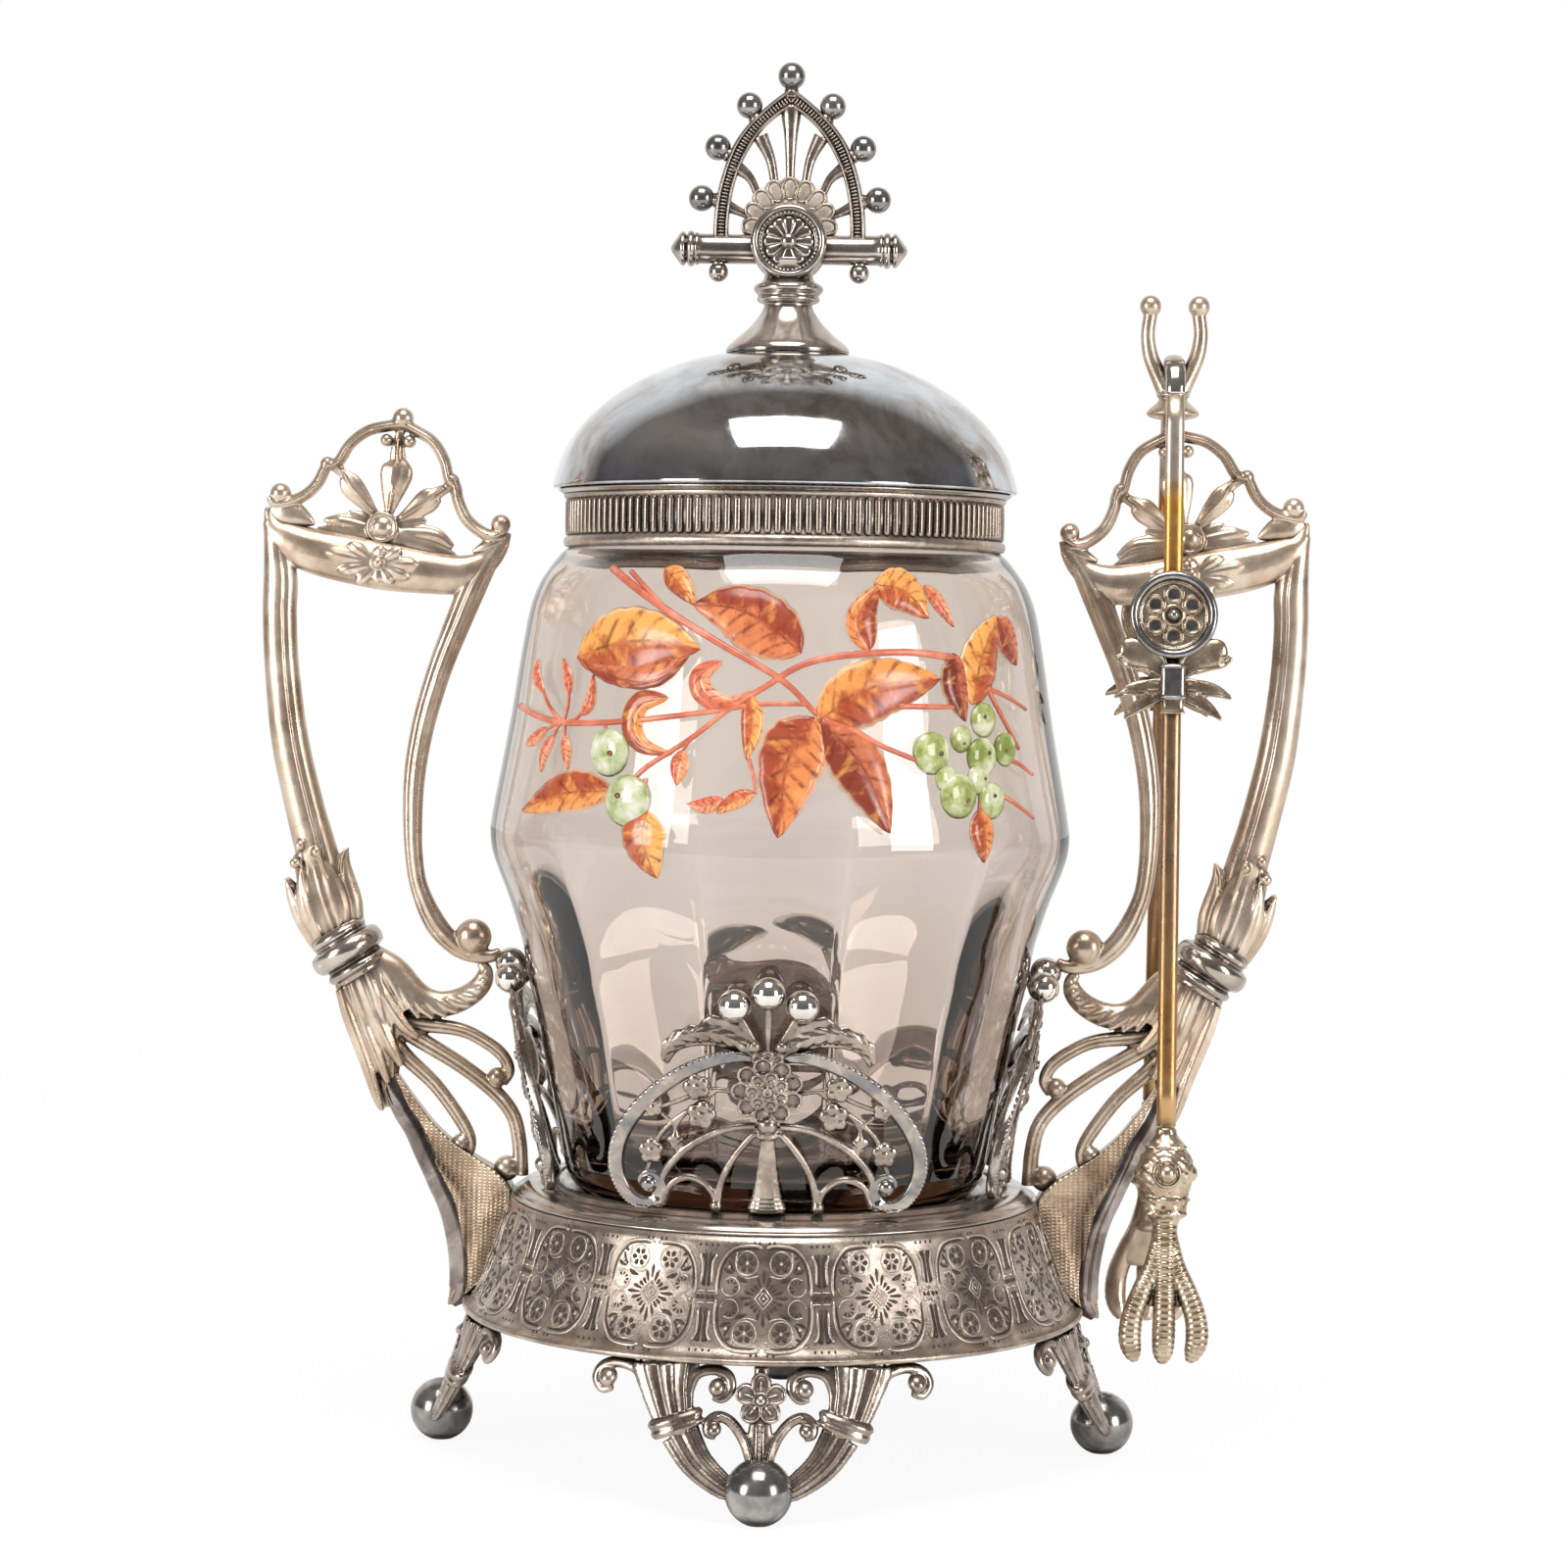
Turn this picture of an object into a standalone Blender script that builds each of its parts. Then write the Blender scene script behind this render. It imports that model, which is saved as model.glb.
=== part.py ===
# Pickle castor: a glass jar with a domed lid, in a footed silver-plated frame
# with two scrolled handles, and claw tongs hung from the right handle.
# Metres, +Z up, origin on the table under the jar's axis, front towards -Y.

import math

import bmesh
import bpy
from mathutils import Matrix, Vector

MM = 0.001

# Clearances and cuts
GAP = 0.3 * MM
CUT_OVERRUN = 2.0 * MM
WELD = 0.001 * MM

# Skirt: a concave flare with a rolled rim, under a stepped deck
SKIRT_RIM_RADIUS = 55.8 * MM
SKIRT_RIM_Z = 26.2 * MM
SKIRT_HEIGHT = 19.7 * MM
SKIRT_FLARE_SHARE = 0.1434
SKIRT_CURVE = 0.7
SKIRT_WALL = 1.2 * MM
RIM_ROLL_RADIUS = 0.7 * MM
SKIRT_TOP_Z = SKIRT_RIM_Z + SKIRT_HEIGHT
SKIRT_FLARE = SKIRT_RIM_RADIUS * SKIRT_FLARE_SHARE
SKIRT_TOP_RADIUS = SKIRT_RIM_RADIUS - SKIRT_FLARE
SKIRT_BOTTOM_Z = SKIRT_RIM_Z - RIM_ROLL_RADIUS

# Deck: seat for the jar inside a raised moulding that carries the galleries
DECK_RISE = 2.6 * MM
DECK_SEAT_DROP = 1.7 * MM
DECK_MOULDING_SHARE = 0.841
DECK_PLATE = 1.2 * MM
DECK_TOP_Z = SKIRT_TOP_Z + GAP + DECK_RISE
DECK_SEAT_Z = DECK_TOP_Z - DECK_SEAT_DROP
DECK_MOULDING_RADIUS = SKIRT_TOP_RADIUS * DECK_MOULDING_SHARE

# Feet: openwork castings that follow the rim and splay out to a ball
FOOT_HALF_WIDTH = 30.0 * MM
FOOT_TOP_INSET = 1.6 * MM
FOOT_SPLAY = 0.33
FOOT_BALL_RADIUS = 5.7 * MM
FOOT_FLAT_RADIUS = 2.2 * MM
FOOT_CUP_RADIUS = 6.2 * MM
FOOT_COLLAR_RADIUS = 4.6 * MM
FOOT_SCROLL_RADIUS = 0.95 * MM
FOOT_BEAD_RADIUS = 1.5 * MM
FOOT_FLOWER_RADIUS = 4.6 * MM
FOOT_THICKNESS_SHARE = 0.46
FOOT_TOP_Z = SKIRT_BOTTOM_Z - GAP
FOOT_TOP_RADIUS = SKIRT_RIM_RADIUS - FOOT_TOP_INSET
FOOT_BALL_Z = math.sqrt(FOOT_BALL_RADIUS ** 2 - FOOT_FLAT_RADIUS ** 2)
FOOT_DROP = FOOT_TOP_Z - FOOT_BALL_Z

# Galleries: openwork castings on the deck that keep the jar in its place
GALLERY_HALF_WIDTH = 30.0 * MM
GALLERY_HEIGHT = 40.0 * MM
GALLERY_BEND_RADIUS = 110.0 * MM
GALLERY_STAND_SHARE = 0.858
GALLERY_CLEARANCE = 2.9 * MM
GALLERY_SCROLL_RADIUS = 1.15 * MM
GALLERY_WIRE_RADIUS = 0.65 * MM
GALLERY_LEAF_RADIUS = 1.7 * MM
GALLERY_FLOWER_RADIUS = 5.8 * MM
GALLERY_BALL_RADIUS = 2.8 * MM
GALLERY_BELL_RADIUS = 3.2 * MM
GALLERY_BLOSSOM_RADIUS = 2.1 * MM
GALLERY_THICKNESS_SHARE = 0.6

# Jar: blown glass with a high belly, a thick foot and a neck inside the lid
JAR_BELLY_SHARE = 0.941
JAR_NECK_SHARE = 0.7085
JAR_SHOULDER_HEIGHT = 115.0 * MM
JAR_NECK_HEIGHT = 9.0 * MM
JAR_WALL = 2.6 * MM
JAR_BASE_THICKNESS = 6.5 * MM
JAR_PUNT = 1.6 * MM
JAR_BELLY_RADIUS = SKIRT_RIM_RADIUS * JAR_BELLY_SHARE
JAR_NECK_RADIUS = JAR_BELLY_RADIUS * JAR_NECK_SHARE
JAR_BOTTOM_Z = DECK_SEAT_Z + GAP
JAR_SHOULDER_Z = JAR_BOTTOM_Z + JAR_SHOULDER_HEIGHT
JAR_MOUTH_Z = JAR_SHOULDER_Z + JAR_NECK_HEIGHT

# Lid: a dome over a ribbed band that drops round the neck
LID_OVERHANG = 2.6 * MM
LID_DOME_HEIGHT = 24.7 * MM
LID_WALL = 0.9 * MM
LID_TOP_FLAT_RADIUS = 11.4 * MM
BAND_HEIGHT = 10.3 * MM
BAND_WALL = 1.2 * MM
BAND_CLEARANCE = 1.0 * MM
BAND_MOULDING = 0.6 * MM
BAND_MOULDING_HEIGHT = 1.4 * MM
BAND_Z = JAR_SHOULDER_Z + 2.0 * GAP
BAND_INNER_RADIUS = JAR_NECK_RADIUS + BAND_CLEARANCE
BAND_RADIUS = BAND_INNER_RADIUS + BAND_WALL
LID_RADIUS = BAND_RADIUS + LID_OVERHANG
DOME_Z = BAND_Z + BAND_HEIGHT + GAP
DOME_TOP_Z = DOME_Z + LID_DOME_HEIGHT

# Finial: turned foot, round boss, cross bar and a pierced pointed arch
FINIAL_FOOT_RADIUS = 11.1 * MM
FINIAL_NECK_RADIUS = 4.3 * MM
FINIAL_STEM_HEIGHT = 19.8 * MM
STUD_RADIUS = 2.0 * MM
STUD_DROP = 7.0 * MM
NUT_RADIUS = 4.2 * MM
NUT_THICKNESS = 3.2 * MM
HUB_RADIUS = 6.7 * MM
HUB_HALF_DEPTH = 4.2 * MM
HUB_ROSETTE_RADIUS = 4.2 * MM
HUB_KNOB_RADIUS = 1.7 * MM
BAR_RADIUS = 2.75 * MM
BAR_BEAD_RADIUS = 3.2 * MM
BAR_HALF_LENGTH = 21.4 * MM
BAR_DROP = 1.1 * MM
PENDANT_RADIUS = 1.7 * MM
ARCH_RISE = 30.0 * MM
ARCH_HALF_WIDTH = 12.4 * MM
ARCH_BAND_RADIUS = 1.3 * MM
ARCH_BALL_RADIUS = 2.35 * MM
SPOKE_RADIUS = 1.35 * MM
SHELL_LOBE_RADIUS = 2.4 * MM
ARCH_THICKNESS_SHARE = 0.9
HUB_Z = DOME_TOP_Z + GAP + FINIAL_STEM_HEIGHT
BAR_Z = HUB_Z - BAR_DROP

# Handles: outlines in shares of one length, from the skirt's rim and top edge
HANDLE_MODULE = 100.0 * MM
POST_RADIUS = 3.2 * MM
TOP_BAR_RADIUS = 4.2 * MM
INNER_POST_RADIUS = 2.1 * MM
HANDLE_END_BALL_RADIUS = 3.4 * MM
HANDLE_THICKNESS_SHARE = 0.74
COLLAR_RADIUS = 7.0 * MM
COLLAR_LENGTH = 9.8 * MM
COLLAR_TILT = math.radians(32.0)
HORN_RADIUS = 5.4 * MM
RIB_RADIUS = 1.2 * MM
RIB_BALL_RADIUS = 1.7 * MM
BLADE_EDGE = 0.9 * MM
BLADE_SPREAD = 5.0 * MM
CREST_SCROLL_RADIUS = 0.95 * MM
CREST_BALL_RADIUS = 1.8 * MM
CREST_VOLUTE_RADIUS = 2.2 * MM
PETAL_RADIUS = 2.7 * MM
PALMETTE_DISC_RADIUS = 3.0 * MM
CREST_THICKNESS_SHARE = 0.7

# Tong fork on the right crest
FORK_COLLAR_RADIUS = 4.2 * MM
FORK_HEIGHT = 21.0 * MM
FORK_HALF_GAP = 4.4 * MM
FORK_TINE_RADIUS = 1.25 * MM
FORK_BALL_RADIUS = 1.9 * MM
FORK_SEAT_HEIGHT = 9.2 * MM

# Tongs: a flat bar bent over the fork, with ornaments and claws
TONG_BAR_THICKNESS = 2.3 * MM
TONG_BAR_WIDTH = 3.4 * MM
TONG_LOOP_RADIUS = 5.9 * MM
TONG_SPLAY = math.radians(5.5)
TONG_ARM_LENGTH = 130.0 * MM
DISC_RADIUS = 7.8 * MM
DISC_THICKNESS = 2.4 * MM
DISC_PLACE = 39.6 * MM
DISC_RECESS_RADIUS = 1.25 * MM
DISC_RECESS_DEPTH = 0.7 * MM
BOW_PLACE = 51.6 * MM
BOW_HALF_WIDTH = 10.4 * MM
BOW_WIRE_RADIUS = 0.95 * MM
BOW_KNOT_RADIUS = 2.6 * MM
BOW_KNOT_THICKNESS = 2.6 * MM
CLAW_LENGTH = 42.0 * MM
CLAW_BULB_RADIUS = 5.0 * MM
CLAW_BOSS_RADIUS = 2.0 * MM
TOE_RADIUS = 1.75 * MM
TOE_SPREAD = 6.2 * MM
CLAW_THICKNESS_SHARE = 0.75

# Facets
RING_STEPS = 28
STEM_STEPS = 16
FINE = 2
PLAIN = 1
COARSE = 0
FINE_BALL = (8, 5)
PLAIN_BALL = (6, 4)
COARSE_BALL = (5, 3)

SILVER = (0.46, 0.42, 0.39)
DARK_SILVER = (0.27, 0.26, 0.26)
WARM_SILVER = (0.55, 0.48, 0.43)
GILT_SILVER = (0.56, 0.47, 0.32)
GLASS = (0.30, 0.26, 0.22)

# Skirt stations from its top down: shares of its height
SKIRT_SHARES = (1.0, 0.74, 0.48, 0.26, 0.08)
# Deck edge from its top out and down: shares of its rise
DECK_EDGE_SHARES = ((1.0, 0.0), (0.5, 0.16), (0.16, 0.5))
# Jar outline from shoulder to foot: shares of belly radius and shoulder height
JAR_SHARES = (
    (0.752, 0.997), (0.836, 0.953), (0.874, 0.906), (0.908, 0.815), (0.942, 0.718), (0.984, 0.610),
    (1.000, 0.556), (0.988, 0.522), (0.935, 0.462), (0.890, 0.385), (0.840, 0.285), (0.790, 0.180),
    (0.750, 0.090), (0.722, 0.027), (0.668, 0.000),
)
# Dome outline from its edge up: shares of lid radius and dome height
DOME_SHARES = (
    (1.000, 0.000), (0.992, 0.090), (0.962, 0.235), (0.905, 0.430), (0.815, 0.610),
    (0.690, 0.772), (0.540, 0.892), (0.400, 0.962),
)
# Finial stem, from the dome up: shares of the foot radius and of the stem height
STEM_SHARES = (
    (1.000, 0.000), (0.985, 0.080), (0.770, 0.165), (0.500, 0.310), (0.390, 0.410),
    (0.400, 0.440), (0.560, 0.475), (0.570, 0.560), (0.520, 0.600), (0.400, 0.640),
)
# Cross bar, from its tip in: shares of the bead radius and of the half length
BAR_SHARES = (
    (0.00, 1.00), (0.43, 0.96), (1.00, 0.90), (1.00, 0.86), (0.86, 0.83), (1.00, 0.80), (0.86, 0.76),
)
# Pointed arch, from the bar to its tip: shares of the half width and of the rise
ARCH_SHARES = ((0.98, 0.17), (0.94, 0.29), (0.79, 0.48), (0.56, 0.67), (0.28, 0.815), (0.00, 0.885))
ARCH_BALL_SHARES = (
    ((0.60, 0.830), (0.44, 0.740)), ((1.04, 0.573), (0.79, 0.480)), ((1.27, 0.273), (0.95, 0.240)),
)
SPOKE_SHARES = (
    ((0.20, 0.35), (0.42, 0.63)), ((0.46, 0.29), (0.71, 0.45)), ((0.62, 0.18), (0.87, 0.235)),
)

# Handle lines: shares of the module out from the rim and up from the skirt's
# top edge, and a share of that line's named radius
TOP_BAR_SHARES = (
    (0.377, 1.203, 0.38), (0.346, 1.176, 0.72), (0.310, 1.160, 0.82), (0.240, 1.145, 0.96),
    (0.170, 1.134, 1.00), (0.100, 1.123, 0.88), (0.040, 1.116, 0.70), (-0.005, 1.126, 0.56),
    (-0.036, 1.150, 0.40), (-0.055, 1.175, 0.22),
)
POST_SHARES = (
    (0.352, 1.180, 1.00), (0.358, 1.110, 1.02), (0.359, 1.037, 0.98), (0.354, 0.941, 0.96),
    (0.345, 0.846, 1.00), (0.330, 0.734, 1.12), (0.309, 0.650, 1.25), (0.285, 0.590, 1.55),
)
INNER_POST_SHARES = (
    (0.012, 1.120, 1.20), (0.030, 1.030, 1.22), (0.060, 0.940, 1.06), (0.080, 0.870, 1.00),
    (0.094, 0.813, 0.92), (0.106, 0.740, 0.88), (0.109, 0.680, 0.88), (0.104, 0.596, 0.78),
    (0.087, 0.523, 0.72), (0.062, 0.464, 0.66), (0.022, 0.424, 0.62), (-0.005, 0.420, 0.55),
)
END_BALL_SHARE = (-0.003, 0.456)
LEAF_BEAD_SHARES = ((0.262, 0.600), (0.292, 0.625), (0.318, 0.598))
COLLAR_SHARE = (0.2255, 0.4295)
COLLAR_RING_SHARES = (
    (0.68, 1.00), (0.80, 0.62), (0.72, 0.42), (1.00, 0.22), (1.00, -0.18), (0.74, -0.42),
    (0.85, -0.62), (0.70, -1.00),
)
HORN_SHARES = ((0.165, 0.290, 0.84), (0.148, 0.222, 0.60), (0.138, 0.172, 0.40))
DROP_SHARE = (0.160, 0.152)
FEATHER_SHARES = (
    (0.165, 0.360, 0.80), (0.115, 0.345, 0.66), (0.060, 0.341, 0.48), (0.012, 0.352, 0.38),
    (-0.015, 0.380, 0.30), (-0.022, 0.408, 0.20),
)
UPPER_RIB_SHARES = (
    (0.150, 0.300, 1.2), (0.090, 0.301, 1.0), (0.020, 0.296, 0.9), (-0.038, 0.272, 0.9),
    (-0.063, 0.240, 0.9), (-0.058, 0.212, 0.8),
)
UPPER_RIB_BALL_SHARE = (-0.052, 0.205)
MIDDLE_RIB_SHARES = (
    (0.145, 0.290, 1.2), (0.108, 0.268, 1.2), (0.042, 0.225, 1.2), (-0.018, 0.187, 1.2),
    (-0.063, 0.146, 1.2), (-0.085, 0.106, 1.2), (-0.088, 0.062, 1.2),
)
LOWER_RIB_SHARES = (
    (0.142, 0.245, 1.2), (0.118, 0.234, 1.0), (0.071, 0.199, 1.0), (0.029, 0.164, 1.0),
    (-0.001, 0.122, 1.0), (-0.010, 0.086, 1.0), (0.004, 0.062, 1.0),
)
LOWER_RIB_BALL_SHARE = (0.018, 0.082)
BLADE_STEM_SHARES = ((0.140, 0.200, 1.7), (0.123, 0.150, 1.8), (0.090, 0.085, 2.0), (0.070, 0.020, 1.4))
DECK_BALL_SHARE = (-0.068, 0.045)
# Blade web, top to tip: outer edge, inner edge and spread of the inner edge
BLADE_TOP_SHARES = (
    ((0.106, 0.086), (0.050, 0.086), 0.30),
    ((0.085, 0.030), (0.010, 0.042), 0.55),
)
BLADE_SIDE_SHARES = (
    (0.072, 1.00, 1.00), (0.060, 0.86, 1.00), (0.044, 0.62, 1.00), (0.036, 0.40, 0.90),
    (0.033, 0.20, 0.70),
)
BLADE_TIP_SHARES = ((0.037, -0.215), (0.016, -0.190), 0.25)

# Crest lines, in the same shares
OUTER_SCROLL_SHARES = (
    (0.353, 1.237, 0.9), (0.328, 1.242, 1.0), (0.291, 1.262, 1.0), (0.271, 1.294, 1.0),
    (0.262, 1.324, 1.2), (0.240, 1.340, 1.0), (0.218, 1.368, 1.0), (0.186, 1.381, 1.0),
)
INNER_SCROLL_SHARES = (
    (0.139, 1.380, 1.1), (0.113, 1.374, 1.0), (0.083, 1.358, 1.0), (0.060, 1.326, 1.0),
    (0.048, 1.292, 1.2), (0.034, 1.274, 1.0), (0.028, 1.246, 1.0), (0.010, 1.214, 1.0),
    (-0.018, 1.192, 1.0), (-0.042, 1.196, 0.9),
)
OUTER_VOLUTE_SHARE = (0.358, 1.258)
INNER_VOLUTE_SHARE = (-0.046, 1.215)
CREST_TOP_SHARE = (0.138, 1.395)
CREST_BEAD_SHARES = ((0.117, 1.385), (0.160, 1.387))
PALMETTE_SHARE = 0.170
PETAL_LINE_SHARES = ((0.1, 0.5), (0.45, 0.8), (0.75, 1.0), (1.0, 0.35))
PETAL_SHARES = ((0.197, 1.372), (0.258, 1.308), (0.046, 1.280), (0.275, 1.214), (0.045, 1.172))

# Fork: its collar in shares of the collar radius, a tine in shares of half gap and rise
FORK_COLLAR_SHARES = ((0.45, 1.0), (0.8, 0.85), (1.0, 0.5), (0.6, 0.2))
TINE_SHARES = ((1.0, 1.0), (1.05, 0.62), (0.92, 0.32), (0.55, 0.08), (0.0, 0.0))

# Foot lines: shares of the half width and of the drop, and of a named radius
HORN_CUP_SHARES = (
    (0.547, 0.00, 1.00), (0.547, 0.06, 0.98), (0.510, 0.26, 0.72), (0.455, 0.48, 0.56),
    (0.350, 0.74, 0.44), (0.150, 0.98, 0.28),
)
FOOT_COLLAR_SHARES = ((0.490, 0.40), (0.450, 0.50))
OUTER_LIP_SHARES = ((0.66, 0.10), (0.90, 0.06), (0.975, 0.17), (0.92, 0.27))
INNER_LIP_SHARES = ((0.42, 0.10), (0.22, 0.06), (0.155, 0.19), (0.21, 0.28))
OUTER_BEAD_SHARE = (0.885, 0.165)
INNER_BEAD_SHARE = (0.250, 0.180)
STEM_SCROLL_SHARES = ((0.05, 0.76), (0.095, 0.56), (0.180, 0.42), (0.265, 0.48))
STEM_BEAD_SHARE = (0.247, 0.53)
FOOT_FLOWER_SHARE = 0.24
FOOT_STALK_SHARES = ((0.0, 0.40), (0.0, 0.85))

# Gallery lines: shares of the half width and of the height
C_SCROLL_SHARES = (
    (0.06, 0.675, 0.8), (0.29, 0.665, 1.0), (0.50, 0.590, 1.0), (0.720, 0.440, 1.0),
    (0.860, 0.260, 1.0), (0.855, 0.110, 1.0), (0.740, 0.045, 1.0),
)
VOLUTE_SHARE = (0.680, 0.115)
LEAF_SHARES = (
    (0.05, 0.70, 0.6), (0.20, 0.785, 1.0), (0.38, 0.81, 1.1), (0.55, 0.73, 0.8), (0.55, 0.645, 0.3),
)
ARCH_WIRE_SHARES = ((0.06, 0.375), (0.29, 0.345), (0.50, 0.240), (0.625, 0.030))
LEG_WIRE_SHARES = ((0.06, 0.335), (0.21, 0.210), (0.29, 0.020))
LOW_ARCH_SHARES = ((0.60, 0.06), (0.52, 0.140), (0.38, 0.140), (0.29, 0.06))
VINE_SHARES = ((0.09, 0.515), (0.42, 0.48), (0.65, 0.33), (0.69, 0.10))
BLOSSOM_SHARES = ((0.385, 0.490, 1.2), (0.655, 0.300, 1.0))
BALL_STEM_SHARES = ((0.0, 0.68), (0.16, 0.86))
SIDE_BALL_SHARE = (0.190, 0.900)
TOP_BALL_SHARE = 0.955
FLOWER_SHARE = 0.535
BEAD_SHARE = 0.370
BELL_SHARES = ((0.42, 0.33), (0.45, 0.24), (0.70, 0.11), (1.0, 0.02))

# Bow lines: shares of the half width out and up from its place, and of the knot radius
BOW_LOOP_SHARES = (
    (0.10, 0.00), (0.45, 0.32), (0.85, 0.72), (1.00, 0.50), (0.80, 0.30), (0.40, 0.06), (0.10, -0.02),
)
BOW_TAIL_SHARES = ((0.15, -0.10), (0.55, -0.20), (0.90, -0.42))
BOW_PRONG_SHARES = ((0.55, -0.20), (0.78, -0.62))
BOW_KNOT_SHARES = ((0.24, 0.8), (0.0, 1.0), (-0.28, 0.8), (-0.5, 0.7))

# Claw lines: shares of the bulb radius or toe spread, and of the claw length
CLAW_SHARES = (
    (0.34, 0.00), (0.68, 0.07), (0.96, 0.14), (1.00, 0.19), (0.74, 0.31), (0.76, 0.34),
    (0.42, 0.41), (0.40, 0.53),
)
SIDE_TOE_SHARES = (
    (0.16, 0.49, 0.00, 1.00), (0.58, 0.62, -0.02, 1.05), (0.90, 0.76, -0.01, 1.00),
    (1.00, 0.88, 0.03, 0.85), (0.72, 0.97, 0.08, 0.55),
)
MIDDLE_TOE_SHARES = (
    (0.00, 0.49, 0.00, 1.00), (0.00, 0.64, -0.03, 1.10), (0.00, 0.80, -0.02, 1.05),
    (0.00, 0.90, 0.03, 0.85), (0.00, 0.985, 0.09, 0.55),
)

PARTS = bpy.data.collections.new("pickle_castor")
GUIDES = bpy.data.collections.new("cutters")


def clear_scene():
    """Start from an empty scene, with one collection for parts and one for cutters."""
    for item in list(bpy.data.objects):
        bpy.data.objects.remove(item, do_unlink=True)
    bpy.context.scene.collection.children.link(PARTS)
    bpy.context.scene.collection.children.link(GUIDES)


def add_object(name, data):
    """Put mesh or curve data into the parts collection under a name."""
    item = bpy.data.objects.new(name, data)
    PARTS.objects.link(item)
    return item


def baked(item):
    """Turn an object with curves or modifiers into a plain closed mesh in world space."""
    bpy.context.view_layer.update()
    evaluated = item.evaluated_get(bpy.context.evaluated_depsgraph_get())
    mesh = bpy.data.meshes.new_from_object(evaluated)
    mesh.transform(item.matrix_world)
    shape = bmesh.new()
    shape.from_mesh(mesh)
    bmesh.ops.remove_doubles(shape, verts=shape.verts, dist=WELD)
    bmesh.ops.dissolve_degenerate(shape, edges=shape.edges, dist=WELD)
    bmesh.ops.triangulate(shape, faces=shape.faces, ngon_method="EAR_CLIP")
    shape.to_mesh(mesh)
    shape.free()
    name = item.name
    bpy.data.objects.remove(item, do_unlink=True)
    mesh.name = name
    return add_object(name, mesh)


def smooth_line(points, steps):
    """Points along a smooth curve that passes through the given points."""
    ends = [points[0]] + list(points) + [points[-1]]
    line = []
    for a, b, c, d in zip(ends, ends[1:], ends[2:], ends[3:]):
        for step in range(steps):
            t = step / steps
            line.append(tuple(
                0.5 * (2 * q + (r - p) * t + (2 * p - 5 * q + 4 * r - s) * t ** 2
                       + (3 * q - p - 3 * r + s) * t ** 3)
                for p, q, r, s in zip(a, b, c, d)))
    line.append(tuple(points[-1]))
    return line


def rod(points, radius, sides=COARSE, steps=1):
    """A round rod along points (x, y, z, share of the radius), with closed ends."""
    curve = bpy.data.curves.new("rod", "CURVE")
    curve.dimensions = "3D"
    curve.bevel_depth = radius
    curve.bevel_resolution = sides
    curve.use_fill_caps = True
    line = smooth_line(points, steps)
    spline = curve.splines.new("POLY")
    spline.points.add(len(line) - 1)
    for point, (x, y, z, share) in zip(spline.points, line):
        point.co = (x, y, z, 1.0)
        point.radius = share
    return baked(add_object("rod", curve))


def ball(centre, radius, facets=PLAIN_BALL):
    """A ball with a count of facets round it and up it."""
    mesh = bpy.data.meshes.new("ball")
    shape = bmesh.new()
    round_count, high_count = facets
    bmesh.ops.create_uvsphere(shape, u_segments=round_count, v_segments=high_count, radius=radius)
    bmesh.ops.translate(shape, verts=shape.verts, vec=centre)
    shape.to_mesh(mesh)
    shape.free()
    return add_object("ball", mesh)


def turned(name, profile, steps=RING_STEPS, closed=False):
    """A turned solid from (radius, z) points that run down the outer side."""
    mesh = bpy.data.meshes.new(name)
    verts = [(radius, 0.0, z) for radius, z in profile]
    edges = [(i, i + 1) for i in range(len(verts) - 1)]
    if closed:
        edges.append((len(verts) - 1, 0))
    mesh.from_pydata(verts, edges, [])
    item = add_object(name, mesh)
    screw = item.modifiers.new("turn", "SCREW")
    screw.axis = "Z"
    screw.steps = steps
    screw.render_steps = steps
    screw.use_merge_vertices = True
    screw.merge_threshold = WELD
    return item


def cylinder(radius, depth, steps=STEM_STEPS):
    """A cylinder along Z, centred on the origin."""
    mesh = bpy.data.meshes.new("cylinder")
    shape = bmesh.new()
    bmesh.ops.create_cone(shape, cap_ends=True, segments=steps, radius1=radius, radius2=radius,
                          depth=depth)
    shape.to_mesh(mesh)
    shape.free()
    return add_object("cylinder", mesh)


def flower(centre, radius, petals, thickness):
    """A flat flower in the XZ plane, outlined by a petal formula."""
    curve = bpy.data.curves.new("flower", "CURVE")
    curve.dimensions = "2D"
    curve.fill_mode = "BOTH"
    curve.extrude = thickness / 2
    spline = curve.splines.new("POLY")
    count = petals * 2
    spline.points.add(count - 1)
    for i, point in enumerate(spline.points):
        angle = math.tau * i / count
        reach = radius * (0.72 + 0.28 * abs(math.cos(petals * angle / 2)))
        point.co = (reach * math.sin(angle), reach * math.cos(angle), 0.0, 1.0)
    spline.use_cyclic_u = True
    item = add_object("flower", curve)
    item.location = centre
    item.rotation_euler = (math.pi / 2, 0.0, 0.0)
    return baked(item)


def placed(item, matrix):
    """Move a mesh object's points by a matrix."""
    item.data.transform(matrix)
    return item


def flattened(item, share, origin=0.0):
    """Thin a piece along Y, about the plane y = origin."""
    for vert in item.data.vertices:
        vert.co.y = origin + (vert.co.y - origin) * share
    return item


def bent(item, rule):
    """Move every point of a piece by a rule."""
    for vert in item.data.vertices:
        vert.co = rule(vert.co)
    return item


def boolean(item, tool, operation):
    """Join or cut a piece with another, which is then removed."""
    GUIDES.objects.link(tool)
    PARTS.objects.unlink(tool)
    tool.hide_render = True
    tool.display_type = "WIRE"
    change = item.modifiers.new(operation.lower(), "BOOLEAN")
    change.operation = operation
    change.solver = "EXACT"
    change.use_self = operation == "UNION"
    change.object = tool
    item = baked(item)
    bpy.data.objects.remove(tool, do_unlink=True)
    return item


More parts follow.
